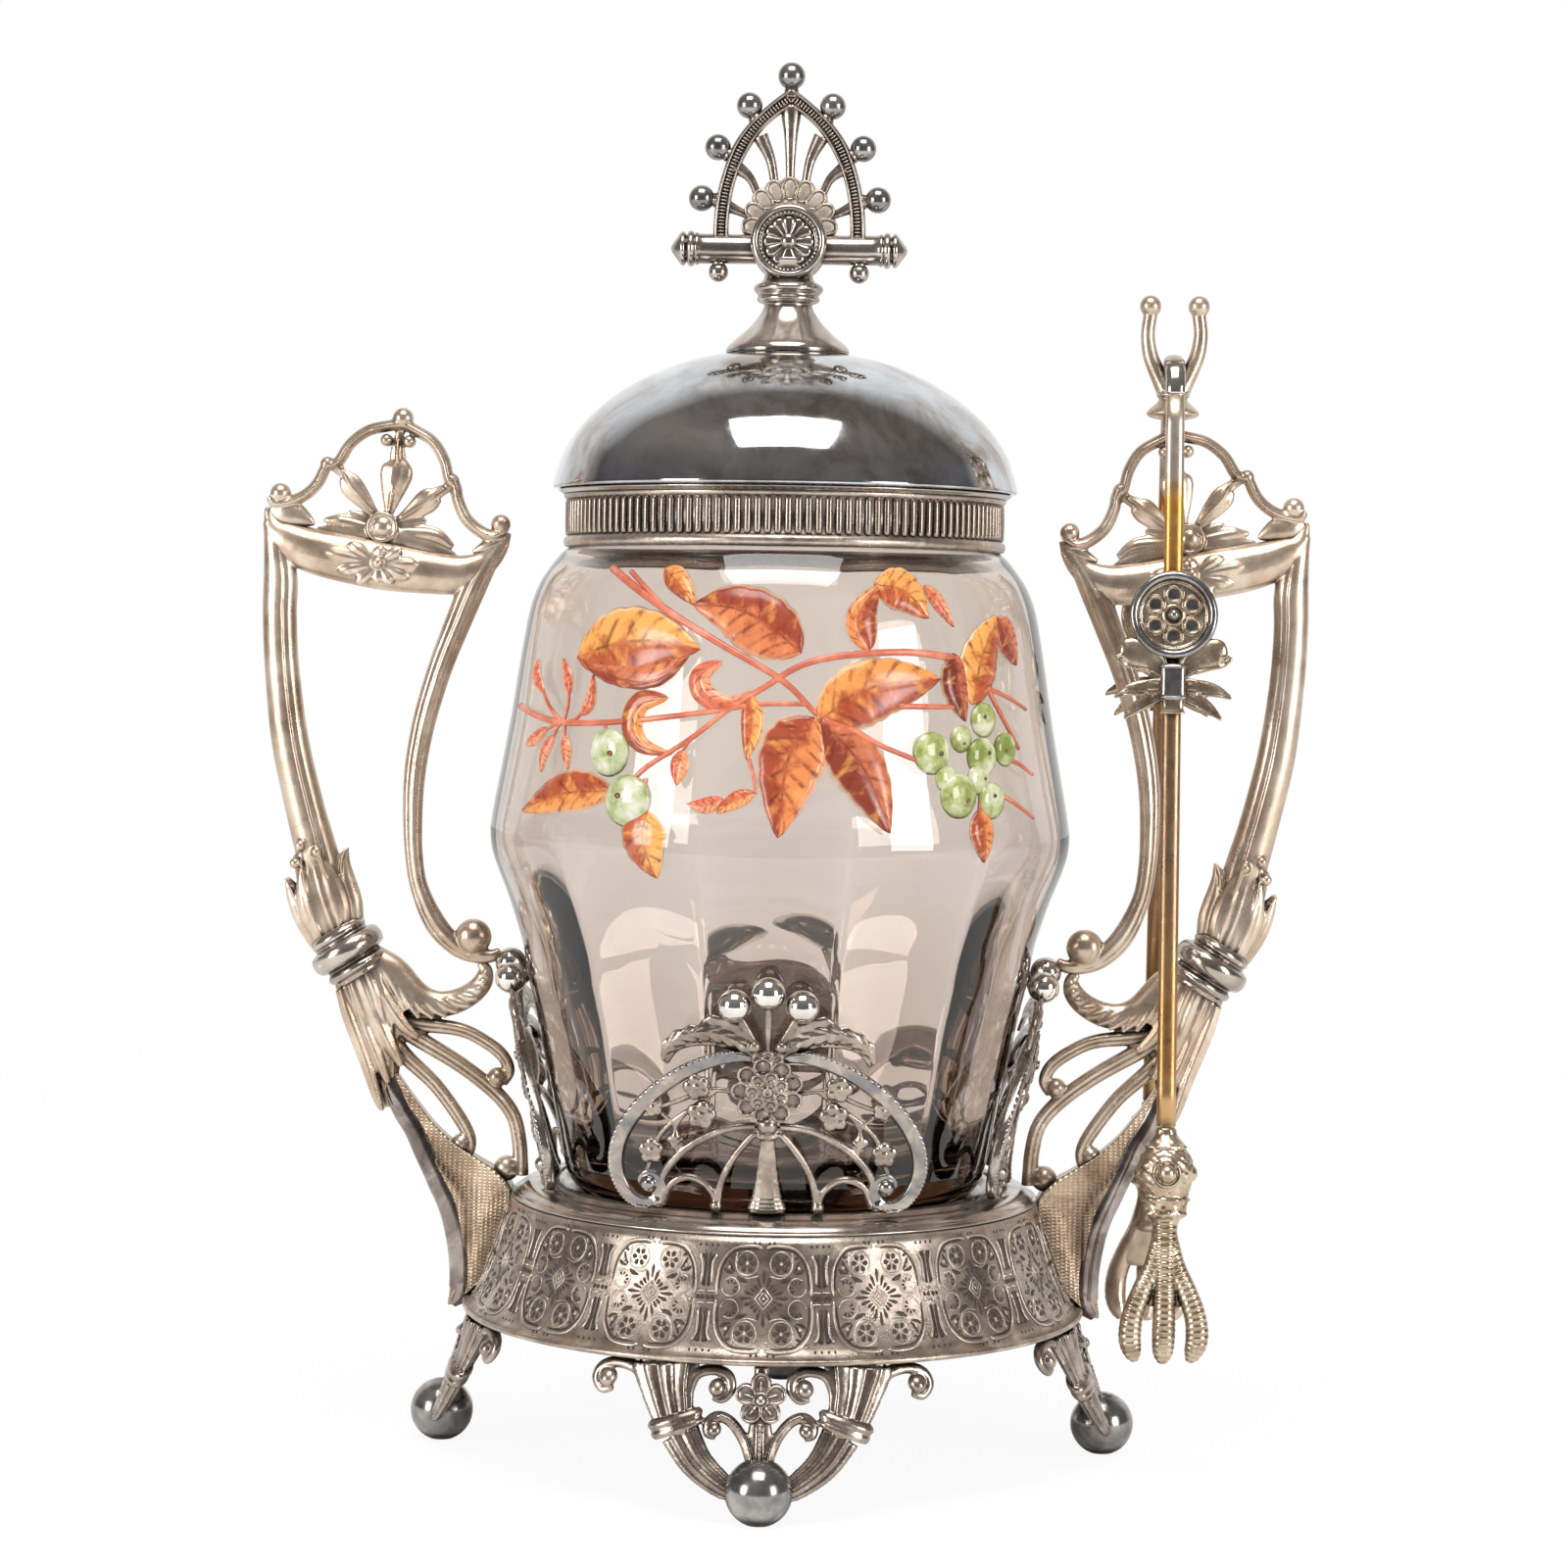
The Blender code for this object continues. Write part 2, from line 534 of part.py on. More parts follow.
def fused(name, pieces):
    """Cast several overlapping solids into one closed body."""
    shape = bmesh.new()
    for piece in pieces[:-1]:
        shape.from_mesh(piece.data)
        bpy.data.objects.remove(piece, do_unlink=True)
    mesh = bpy.data.meshes.new(name)
    shape.to_mesh(mesh)
    shape.free()
    return boolean(add_object(name, mesh), pieces[-1], "UNION")


def thinned(item, share):
    """Keep a share of a casting's faces, the flattest joints going first."""
    change = item.modifiers.new("thin", "DECIMATE")
    change.ratio = share
    return baked(item)


def finish(item, name, colour, roughness=0.3, metallic=1.0, alpha=1.0):
    """Name a piece, shade it and give it its material."""
    item.name = name
    material = bpy.data.materials.new(name)
    material.use_nodes = True
    shader = material.node_tree.nodes["Principled BSDF"]
    shader.inputs["Base Color"].default_value = (*colour, 1.0)
    shader.inputs["Roughness"].default_value = roughness
    shader.inputs["Metallic"].default_value = metallic
    shader.inputs["Alpha"].default_value = alpha
    item.data.materials.clear()
    item.data.materials.append(material)
    item.data.shade_smooth()
    item.data.set_sharp_from_angle(angle=math.radians(40.0))
    return item


def copies(item, names, colour, roughness=0.3):
    """Copies of one casting round the jar's axis, a full turn shared among the names."""
    for i, name in enumerate(names):
        twin = add_object(name, item.data.copy())
        twin.rotation_euler = (0.0, 0.0, math.tau * i / len(names))
        finish(twin, name, colour, roughness)
    bpy.data.objects.remove(item, do_unlink=True)


def skirt_radius(z):
    """Outer radius of the skirt's concave flare at a height."""
    share = (z - SKIRT_RIM_Z) / SKIRT_HEIGHT
    return SKIRT_RIM_RADIUS - SKIRT_FLARE * max(share, 0.0) ** SKIRT_CURVE


def make_skirt():
    """The flared band with its rolled rim, open underneath."""
    heights = [SKIRT_RIM_Z + SKIRT_HEIGHT * share for share in SKIRT_SHARES]
    outer = [(skirt_radius(z), z) for z in heights]
    roll = SKIRT_RIM_RADIUS + RIM_ROLL_RADIUS
    rim = [(SKIRT_RIM_RADIUS, SKIRT_RIM_Z + RIM_ROLL_RADIUS), (roll, SKIRT_RIM_Z),
           (SKIRT_RIM_RADIUS, SKIRT_BOTTOM_Z)]
    inner = [(radius - SKIRT_WALL, z) for radius, z in reversed(outer)]
    inner[0] = (inner[0][0], SKIRT_BOTTOM_Z)
    skirt = turned("base_band", outer + rim + inner, closed=True)
    finish(skirt, "base_band", SILVER, 0.35)


def make_deck():
    """The stepped platform, with a plug that centres it in the skirt."""
    rim_z = SKIRT_TOP_Z + GAP
    plug = SKIRT_TOP_RADIUS - SKIRT_WALL - GAP
    profile = [
        (0.0, DECK_SEAT_Z),
        (DECK_MOULDING_RADIUS - DECK_SEAT_DROP, DECK_SEAT_Z),
        (DECK_MOULDING_RADIUS - DECK_SEAT_DROP * 0.6, DECK_TOP_Z - DECK_SEAT_DROP * 0.3),
        (DECK_MOULDING_RADIUS, DECK_TOP_Z),
    ]
    profile += [(SKIRT_TOP_RADIUS - DECK_RISE * r, DECK_TOP_Z - DECK_RISE * z) for r, z in DECK_EDGE_SHARES]
    under_z = DECK_SEAT_Z - DECK_PLATE
    profile += [(SKIRT_TOP_RADIUS, rim_z), (plug, rim_z), (plug, under_z), (0.0, under_z)]
    finish(turned("base_deck", profile), "base_deck", SILVER, 0.3)


def foot_bend(point):
    """Wrap a flat foot round the skirt's rim and splay it outwards."""
    drop = -point.z
    radius = FOOT_TOP_RADIUS + FOOT_SPLAY * drop - point.y
    angle = point.x / FOOT_TOP_RADIUS
    return Vector((radius * math.sin(angle), -radius * math.cos(angle), FOOT_TOP_Z - drop))


def foot_line(shares, side):
    """A foot line in the flat, with its radius shares, or full radius where none is given."""
    return [(side * FOOT_HALF_WIDTH * s[0], 0.0, -FOOT_DROP * s[1], s[2] if len(s) > 2 else 1.0)
            for s in shares]


def make_feet():
    """Four openwork feet: fluted horns, scrolls and a flower over a ball."""
    pieces = []
    for side in (1, -1):
        pieces.append(rod(foot_line(HORN_CUP_SHARES, side), FOOT_CUP_RADIUS, PLAIN))
        pieces.append(rod(foot_line(FOOT_COLLAR_SHARES, side), FOOT_COLLAR_RADIUS, PLAIN))
        for shares in (OUTER_LIP_SHARES, INNER_LIP_SHARES, STEM_SCROLL_SHARES):
            pieces.append(rod(foot_line(shares, side), FOOT_SCROLL_RADIUS))
        for share, size in ((OUTER_BEAD_SHARE, 1.0), (INNER_BEAD_SHARE, 1.0), (STEM_BEAD_SHARE, 0.75)):
            centre = foot_line([share], side)[0][:3]
            pieces.append(ball(centre, FOOT_BEAD_RADIUS * size, COARSE_BALL))
    pieces.append(rod(foot_line(FOOT_STALK_SHARES, 1), FOOT_SCROLL_RADIUS * 1.4))
    centre = (0.0, 0.0, -FOOT_DROP * FOOT_FLOWER_SHARE)
    pieces.append(ball(centre, FOOT_FLOWER_RADIUS * 0.42, COARSE_BALL))
    for piece in pieces:
        flattened(piece, FOOT_THICKNESS_SHARE)
    pieces.append(flower(centre, FOOT_FLOWER_RADIUS, 5, FOOT_FLOWER_RADIUS * 0.35))
    casting = bent(fused("foot", pieces), foot_bend)
    reach = FOOT_TOP_RADIUS + FOOT_SPLAY * FOOT_DROP
    profile = [(0.0, FOOT_BALL_RADIUS)]
    lowest = math.acos(-FOOT_BALL_Z / FOOT_BALL_RADIUS)
    for step in range(1, 7):
        angle = lowest * step / 6
        profile.append((FOOT_BALL_RADIUS * math.sin(angle), FOOT_BALL_RADIUS * math.cos(angle)))
    profile.append((0.0, -FOOT_BALL_Z))
    knob = baked(turned("foot_ball", profile, 10))
    placed(knob, Matrix.Translation((0.0, -reach, FOOT_BALL_Z)))
    foot = thinned(fused("foot", [casting, knob]), 0.6)
    copies(foot, ("foot_front", "foot_right", "foot_back", "foot_left"), SILVER)


def jar_radius(z):
    """Outer radius of the jar at a height, from its outline."""
    share = (z - JAR_BOTTOM_Z) / JAR_SHOULDER_HEIGHT
    for (r_high, z_high), (r_low, z_low) in zip(JAR_SHARES, JAR_SHARES[1:]):
        if share >= z_low:
            return JAR_BELLY_RADIUS * (r_low + (r_high - r_low) * (share - z_low) / (z_high - z_low))
    return JAR_BELLY_RADIUS


def gallery_bend(point):
    """Curve a flat gallery gently round the jar and lean it out as the jar's wall does."""
    stand = SKIRT_TOP_RADIUS * GALLERY_STAND_SHARE
    top = jar_radius(DECK_TOP_Z + GAP + GALLERY_HEIGHT) + GALLERY_CLEARANCE
    reach = GALLERY_BEND_RADIUS + (top - stand) / GALLERY_HEIGHT * point.z - point.y
    angle = point.x / GALLERY_BEND_RADIUS
    y = GALLERY_BEND_RADIUS - stand - reach * math.cos(angle)
    return Vector((reach * math.sin(angle), y, DECK_TOP_Z + GAP + point.z))


def gallery_line(shares, side=1):
    """A gallery line in the flat, with its radius shares."""
    return [(side * GALLERY_HALF_WIDTH * s[0], 0.0, GALLERY_HEIGHT * s[1], s[2] if len(s) > 2 else 1.0)
            for s in shares]


def make_galleries():
    """Four openwork galleries: C scrolls, leaves, vines and a flower under three balls."""
    pieces = []
    for side in (1, -1):
        pieces.append(rod(gallery_line(C_SCROLL_SHARES, side), GALLERY_SCROLL_RADIUS))
        pieces.append(rod(gallery_line(LEAF_SHARES, side), GALLERY_LEAF_RADIUS))
        for shares in (ARCH_WIRE_SHARES, LEG_WIRE_SHARES, LOW_ARCH_SHARES, VINE_SHARES, BALL_STEM_SHARES):
            pieces.append(rod(gallery_line(shares, side), GALLERY_WIRE_RADIUS))
        volute = gallery_line([VOLUTE_SHARE], side)[0][:3]
        pieces.append(ball(volute, GALLERY_SCROLL_RADIUS * 1.6, COARSE_BALL))
        for share in BLOSSOM_SHARES:
            x, y, z, size = gallery_line([share], side)[0]
            pieces.append(ball((x, y, z), GALLERY_BLOSSOM_RADIUS * size, COARSE_BALL))
    pieces.append(rod(gallery_line(((0.0, 0.60), (0.0, TOP_BALL_SHARE))), GALLERY_WIRE_RADIUS))
    pieces.append(ball((0.0, 0.0, GALLERY_HEIGHT * BEAD_SHARE), GALLERY_SCROLL_RADIUS * 1.5, COARSE_BALL))
    bell = [(0.0, 0.0, GALLERY_HEIGHT * share, size) for size, share in BELL_SHARES]
    pieces.append(rod(bell, GALLERY_BELL_RADIUS))
    centre = (0.0, 0.0, GALLERY_HEIGHT * FLOWER_SHARE)
    pieces.append(ball(centre, GALLERY_FLOWER_RADIUS * 0.5, COARSE_BALL))
    for piece in pieces:
        flattened(piece, GALLERY_THICKNESS_SHARE)
    pieces.append(flower(centre, GALLERY_FLOWER_RADIUS, 8, GALLERY_FLOWER_RADIUS * 0.3))
    casting = bent(fused("gallery", pieces), gallery_bend)
    balls = []
    out, up = SIDE_BALL_SHARE
    for x_share, z_share in ((0.0, TOP_BALL_SHARE), (out, up), (-out, up)):
        flat = Vector((GALLERY_HALF_WIDTH * x_share, 0.0, GALLERY_HEIGHT * z_share))
        balls.append(ball(gallery_bend(flat), GALLERY_BALL_RADIUS))
    gallery = thinned(fused("gallery", [casting] + balls), 0.55)
    copies(gallery, ("gallery_front", "gallery_right", "gallery_back", "gallery_left"), SILVER)


def make_jar():
    """The blown jar: outline outside, wall and thick base inside."""
    outer = [(JAR_BELLY_RADIUS * r, JAR_BOTTOM_Z + JAR_SHOULDER_HEIGHT * z) for r, z in JAR_SHARES]
    lip = JAR_WALL / 2
    neck = [
        (JAR_NECK_RADIUS - lip, JAR_MOUTH_Z),
        (JAR_NECK_RADIUS, JAR_MOUTH_Z - lip),
        (JAR_NECK_RADIUS, JAR_SHOULDER_Z + lip * 0.5),
        (JAR_NECK_RADIUS + lip * 0.6, JAR_SHOULDER_Z),
    ]
    foot = [(outer[-1][0] - JAR_BASE_THICKNESS, JAR_BOTTOM_Z), (0.0, JAR_BOTTOM_Z + JAR_PUNT)]
    floor_z = JAR_BOTTOM_Z + JAR_BASE_THICKNESS
    wall = [(radius - JAR_WALL, z) for radius, z in outer[1:-2:2]]
    floor = [(0.0, floor_z + JAR_PUNT), (wall[-1][0] * 0.6, floor_z), (wall[-1][0] * 0.9, floor_z + JAR_PUNT)]
    inner = floor + wall[::-1] + [(JAR_NECK_RADIUS - JAR_WALL, JAR_SHOULDER_Z),
                                  (JAR_NECK_RADIUS - JAR_WALL, JAR_MOUTH_Z - lip)]
    jar = turned("jar_glass", inner + neck + outer + foot)
    finish(jar, "jar_glass", GLASS, 0.05, 0.0, 0.4)


def make_lid():
    """The band, the dome and the finial on it."""
    moulding = BAND_RADIUS + BAND_MOULDING
    top = BAND_Z + BAND_HEIGHT
    band = turned("lid_band", [
        (moulding, top), (moulding, top - BAND_MOULDING_HEIGHT),
        (BAND_RADIUS, top - BAND_MOULDING_HEIGHT - BAND_MOULDING),
        (BAND_RADIUS, BAND_Z + BAND_MOULDING_HEIGHT + BAND_MOULDING),
        (moulding, BAND_Z + BAND_MOULDING_HEIGHT), (moulding, BAND_Z),
        (BAND_INNER_RADIUS, BAND_Z), (BAND_INNER_RADIUS, top),
    ], closed=True)
    finish(band, "lid_band", SILVER, 0.35)
    hole = STUD_RADIUS + GAP
    outer = [(LID_RADIUS * r, DOME_Z + LID_DOME_HEIGHT * z) for r, z in DOME_SHARES]
    inner = [(radius - LID_WALL, z - LID_WALL) for radius, z in outer[1::2]]
    rim = [(BAND_INNER_RADIUS, DOME_Z), (BAND_INNER_RADIUS, DOME_Z + LID_WALL)]
    crown = [(hole, DOME_TOP_Z), (LID_TOP_FLAT_RADIUS, DOME_TOP_Z)]
    ceiling = [(radius, z - LID_WALL) for radius, z in reversed(crown)]
    dome = turned("lid_dome", crown + outer[::-1] + rim + inner + ceiling, closed=True)
    finish(dome, "lid_dome", DARK_SILVER, 0.15)
    make_finial()


def along_x(item):
    """Turn a piece that was made along Z so that it lies along X."""
    return placed(item, Matrix.Rotation(math.pi / 2, 4, "Y"))


def along_y(item):
    """Turn a piece that was made along Z so that it lies along Y."""
    return placed(item, Matrix.Rotation(math.pi / 2, 4, "X"))


def hub_cutter():
    """The round boss's clearance, as a cylinder along Y."""
    tool = along_y(cylinder(HUB_RADIUS + GAP, HUB_HALF_DEPTH * 2 + CUT_OVERRUN * 2, 16))
    return placed(tool, Matrix.Translation((0.0, 0.0, HUB_Z)))


def bar_cutter():
    """The cross bar's clearance, as a cylinder along X."""
    tool = along_x(cylinder(BAR_RADIUS + GAP, HUB_RADIUS * 2 + CUT_OVERRUN * 2, 12))
    return placed(tool, Matrix.Translation((0.0, 0.0, BAR_Z)))


def make_finial():
    """Foot with its stud, nut, boss with rosettes, cross bar and pierced arch."""
    foot_z = DOME_TOP_Z + GAP
    stem = [(FINIAL_FOOT_RADIUS * r, foot_z + FINIAL_STEM_HEIGHT * z) for r, z in STEM_SHARES]
    top_z = HUB_Z - HUB_RADIUS * 0.6
    stud_z = DOME_TOP_Z - STUD_DROP
    foot = baked(turned("finial_foot", [(0.0, top_z), (FINIAL_NECK_RADIUS, top_z)] + stem[::-1]
                        + [(STUD_RADIUS, foot_z), (STUD_RADIUS, stud_z), (0.0, stud_z)], 20))
    foot = boolean(foot, hub_cutter(), "DIFFERENCE")
    finish(foot, "finial_foot", DARK_SILVER, 0.2)

    bore = STUD_RADIUS + GAP
    nut_top = DOME_TOP_Z - LID_WALL - GAP
    nut = turned("finial_nut", [(NUT_RADIUS, nut_top), (NUT_RADIUS, nut_top - NUT_THICKNESS),
                                (bore, nut_top - NUT_THICKNESS), (bore, nut_top)], 6, closed=True)
    finish(nut, "finial_nut", GILT_SILVER, 0.4)

    groove = (HUB_RADIUS - HUB_ROSETTE_RADIUS) * 0.5
    face = [
        (0.0, HUB_HALF_DEPTH + HUB_KNOB_RADIUS),
        (HUB_KNOB_RADIUS * 0.8, HUB_HALF_DEPTH + HUB_KNOB_RADIUS * 0.6),
        (HUB_KNOB_RADIUS, HUB_HALF_DEPTH),
        (HUB_ROSETTE_RADIUS, HUB_HALF_DEPTH - groove * 0.4),
        (HUB_RADIUS - groove, HUB_HALF_DEPTH - groove * 0.8),
        (HUB_RADIUS - groove * 0.8, HUB_HALF_DEPTH),
        (HUB_RADIUS, HUB_HALF_DEPTH - groove * 0.5),
    ]
    back = [(radius, -z) for radius, z in reversed(face)]
    hub = along_y(baked(turned("finial_hub", face + back, 16)))
    placed(hub, Matrix.Translation((0.0, 0.0, HUB_Z)))
    hub = thinned(boolean(hub, bar_cutter(), "DIFFERENCE"), 0.8)
    finish(hub, "finial_hub", SILVER)

    half = [(BAR_BEAD_RADIUS * radius, BAR_HALF_LENGTH * reach) for radius, reach in BAR_SHARES]
    mirrored = [(radius, -z) for radius, z in reversed(half)]
    bar = along_x(baked(turned("finial_bar", half + mirrored, 10)))
    placed(bar, Matrix.Translation((0.0, 0.0, BAR_Z)))
    pendant_z = BAR_Z - BAR_RADIUS - PENDANT_RADIUS * 0.75
    beads = [ball((side * ARCH_HALF_WIDTH, 0.0, pendant_z), PENDANT_RADIUS) for side in (1, -1)]
    finish(fused("finial_bar", [bar] + beads), "finial_bar", SILVER)
    make_arch()


def make_arch():
    """The pierced arch: a band with balls outside, spokes and a scalloped shell inside."""
    pieces = []
    foot_z = BAR_Z + BAR_RADIUS + GAP
    right = [(ARCH_HALF_WIDTH, 0.0, foot_z, 1.0), (ARCH_HALF_WIDTH, 0.0, foot_z + ARCH_BAND_RADIUS, 1.0)]
    right += [(ARCH_HALF_WIDTH * x, 0.0, HUB_Z + ARCH_RISE * z, 1.0) for x, z in ARCH_SHARES]
    left = [(-x, y, z, size) for x, y, z, size in reversed(right[:-1])]
    pieces.append(rod(right + left, ARCH_BAND_RADIUS, PLAIN))
    for side in (1, -1):
        for start, end in SPOKE_SHARES:
            line = [(side * ARCH_HALF_WIDTH * x, 0.0, HUB_Z + ARCH_RISE * z, size)
                    for (x, z), size in ((start, 0.6), (end, 1.0))]
            pieces.append(rod(line, SPOKE_RADIUS))
    pieces.append(rod([(0.0, 0.0, HUB_Z + ARCH_RISE * 0.30, 0.6), (0.0, 0.0, HUB_Z + ARCH_RISE * 0.85, 1.1)],
                      SPOKE_RADIUS))
    for step in range(1, 7):
        angle = math.pi * step / 7
        lobe = Vector((HUB_RADIUS * math.cos(angle), 0.0, HUB_Z + HUB_RADIUS * (0.45 + math.sin(angle))))
        pieces.append(ball(lobe, SHELL_LOBE_RADIUS, COARSE_BALL))
    for piece in pieces:
        flattened(piece, ARCH_THICKNESS_SHARE)
    for side in (1, -1):
        for ends in ARCH_BALL_SHARES:
            centre, root = [(side * ARCH_HALF_WIDTH * x, 0.0, HUB_Z + ARCH_RISE * z) for x, z in ends]
            pieces.append(ball(centre, ARCH_BALL_RADIUS))
            pieces.append(rod([(*root, 1.0), (*centre, 0.7)], SPOKE_RADIUS))
    tip = (0.0, 0.0, HUB_Z + ARCH_RISE)
    pieces.append(rod([right[-1], (*tip, 0.7)], SPOKE_RADIUS))
    pieces.append(ball(tip, ARCH_BALL_RADIUS * 1.06))
    arch = fused("finial_arch", pieces)
    arch = thinned(boolean(arch, hub_cutter(), "DIFFERENCE"), 0.62)
    finish(arch, "finial_arch", SILVER)


def handle_point(share):
    """A place on the right handle, from its shares."""
    return Vector((SKIRT_RIM_RADIUS + HANDLE_MODULE * share[0], 0.0, SKIRT_TOP_Z + HANDLE_MODULE * share[1]))


def handle_line(shares):
    """A line on the right handle, with its radius shares."""
    return [(*handle_point(s), s[2] if len(s) > 2 else 1.0) for s in shares]


def collar_axis():
    """The direction down the tilted collar."""
    return Vector((-math.sin(COLLAR_TILT), 0.0, -math.cos(COLLAR_TILT)))


def make_grip():
    """The handle loop: outer post, top bar and inner post that ends in a ball."""
    axis = collar_axis()
    seat = handle_point(COLLAR_SHARE) - axis * (COLLAR_LENGTH / 2 + GAP)
    sheath = POST_RADIUS * 1.55
    foot = [(*(seat - axis * POST_RADIUS * 1.4), sheath / POST_RADIUS), (*seat, sheath / POST_RADIUS)]
    pieces = [
        rod(handle_line(TOP_BAR_SHARES), TOP_BAR_RADIUS, FINE),
        rod(handle_line(INNER_POST_SHARES), INNER_POST_RADIUS, PLAIN),
        ball(handle_point(END_BALL_SHARE), HANDLE_END_BALL_RADIUS, FINE_BALL),
        rod(handle_line(POST_SHARES) + foot, POST_RADIUS, FINE),
    ]
    for share in LEAF_BEAD_SHARES:
        pieces.append(ball(handle_point(share), RIB_BALL_RADIUS))
    for piece in pieces:
        flattened(piece, HANDLE_THICKNESS_SHARE)
    return fused("grip", pieces)


def make_collar():
    """The ringed collar between the bracket and the grip, tilted with them."""
    half = COLLAR_LENGTH / 2
    rings = [(COLLAR_RADIUS * radius, half * height) for radius, height in COLLAR_RING_SHARES]
    profile = [(0.0, half)] + rings + [(0.0, -half)]
    collar = baked(turned("collar", profile, 10))
    turn = Matrix.Rotation(COLLAR_TILT, 4, "Y")
    return placed(collar, Matrix.Translation(handle_point(COLLAR_SHARE)) @ turn)


def make_blade():
    """The concave web that seats the handle on the skirt, thin outside and spread inside."""
    stations = []
    for outer, inner, spread in BLADE_TOP_SHARES:
        stations.append((handle_point(outer), handle_point(inner), spread))
    for reach, height, spread in BLADE_SIDE_SHARES:
        z = SKIRT_RIM_Z + SKIRT_HEIGHT * height
        inner = Vector((skirt_radius(z) + GAP * 2, 0.0, z))
        stations.append((Vector((SKIRT_RIM_RADIUS + HANDLE_MODULE * reach, 0.0, z)), inner, spread))
    outer, inner, spread = BLADE_TIP_SHARES
    stations.append((handle_point(outer), handle_point(inner), spread))
    shape = bmesh.new()
    rings = []
    for outer, inner, spread in stations:
        wide = Vector((0.0, BLADE_SPREAD * spread, 0.0))
        thin = Vector((0.0, BLADE_EDGE, 0.0))
        rings.append([shape.verts.new(p) for p in (outer - thin, inner - wide, inner + wide, outer + thin)])
    for upper, lower in zip(rings, rings[1:]):
        for i in range(4):
            shape.faces.new((upper[i], upper[i - 1], lower[i - 1], lower[i]))
    shape.faces.new(rings[0])
    shape.faces.new(reversed(rings[-1]))
    bmesh.ops.recalc_face_normals(shape, faces=shape.faces)
    bmesh.ops.triangulate(shape, faces=shape.faces)
    mesh = bpy.data.meshes.new("blade")
    shape.to_mesh(mesh)
    shape.free()
    return add_object("blade", mesh)


def make_bracket():
    """The lower handle: horn, feather, three ribs with balls, and the blade."""
    axis = collar_axis()
    seat = handle_point(COLLAR_SHARE) + axis * (COLLAR_LENGTH / 2 + GAP)
    horn = [(*seat, 1.0), (*(seat + axis * HORN_RADIUS * 0.6), 0.98)] + handle_line(HORN_SHARES)
    landing = Vector(handle_point(MIDDLE_RIB_SHARES[-1]))
    landing.z = DECK_TOP_Z + GAP
    pieces = [
        rod(horn, HORN_RADIUS, FINE),
        rod(handle_line(FEATHER_SHARES), HORN_RADIUS, PLAIN),
        rod(handle_line(UPPER_RIB_SHARES), RIB_RADIUS),
        rod(handle_line(MIDDLE_RIB_SHARES) + [(*landing, 1.2)], RIB_RADIUS),
        rod(handle_line(LOWER_RIB_SHARES), RIB_RADIUS),
        rod(handle_line(BLADE_STEM_SHARES), RIB_RADIUS),
        ball(handle_point(UPPER_RIB_BALL_SHARE), RIB_BALL_RADIUS),
        ball(handle_point(LOWER_RIB_BALL_SHARE), RIB_BALL_RADIUS),
        ball(handle_point(DROP_SHARE), RIB_BALL_RADIUS),
    ]
    for piece in pieces:
        flattened(piece, HANDLE_THICKNESS_SHARE)
    pieces.append(ball(handle_point(DECK_BALL_SHARE), RIB_BALL_RADIUS * 1.2))
    return thinned(fused("bracket", pieces + [make_blade()]), 0.75)


def make_crest():
    """The scrolled crest with its palmette, on the top bar."""
    centre = handle_point((PALMETTE_SHARE, TOP_BAR_SHARES[4][1]))
    centre.z += TOP_BAR_RADIUS + GAP + PALMETTE_DISC_RADIUS
    pieces = [
        rod(handle_line(OUTER_SCROLL_SHARES + INNER_SCROLL_SHARES), CREST_SCROLL_RADIUS),
        ball(handle_point(OUTER_VOLUTE_SHARE), CREST_VOLUTE_RADIUS),
        ball(handle_point(INNER_VOLUTE_SHARE), CREST_VOLUTE_RADIUS),
        ball(handle_point(CREST_TOP_SHARE), CREST_BALL_RADIUS),
        ball(centre, PALMETTE_DISC_RADIUS),
    ]
    for share in CREST_BEAD_SHARES:
        pieces.append(ball(handle_point(share), CREST_BALL_RADIUS * 0.7, COARSE_BALL))
    for share in PETAL_SHARES:
        tip = handle_point(share)
        leaf = tip - centre
        line = [(*(centre + leaf * reach), size) for reach, size in PETAL_LINE_SHARES]
        pieces.append(flattened(rod(line, PETAL_RADIUS), 0.5))
    for piece in pieces:
        flattened(piece, CREST_THICKNESS_SHARE)
    return thinned(fused("crest", pieces), 0.7)


def make_handles():
    """Both handles: each piece once for the right side, and turned half round for the left."""
    for make, name, colour in ((make_bracket, "bracket", WARM_SILVER), (make_collar, "collar", SILVER),
                               (make_grip, "grip", WARM_SILVER), (make_crest, "crest", WARM_SILVER)):
        copies(make(), ("right_" + name, "left_" + name), colour)


def fork_foot():
    """The point on top of the right crest where the fork stands."""
    top = handle_point(CREST_TOP_SHARE)
    return Vector((top.x, 0.0, top.z + CREST_BALL_RADIUS + GAP))


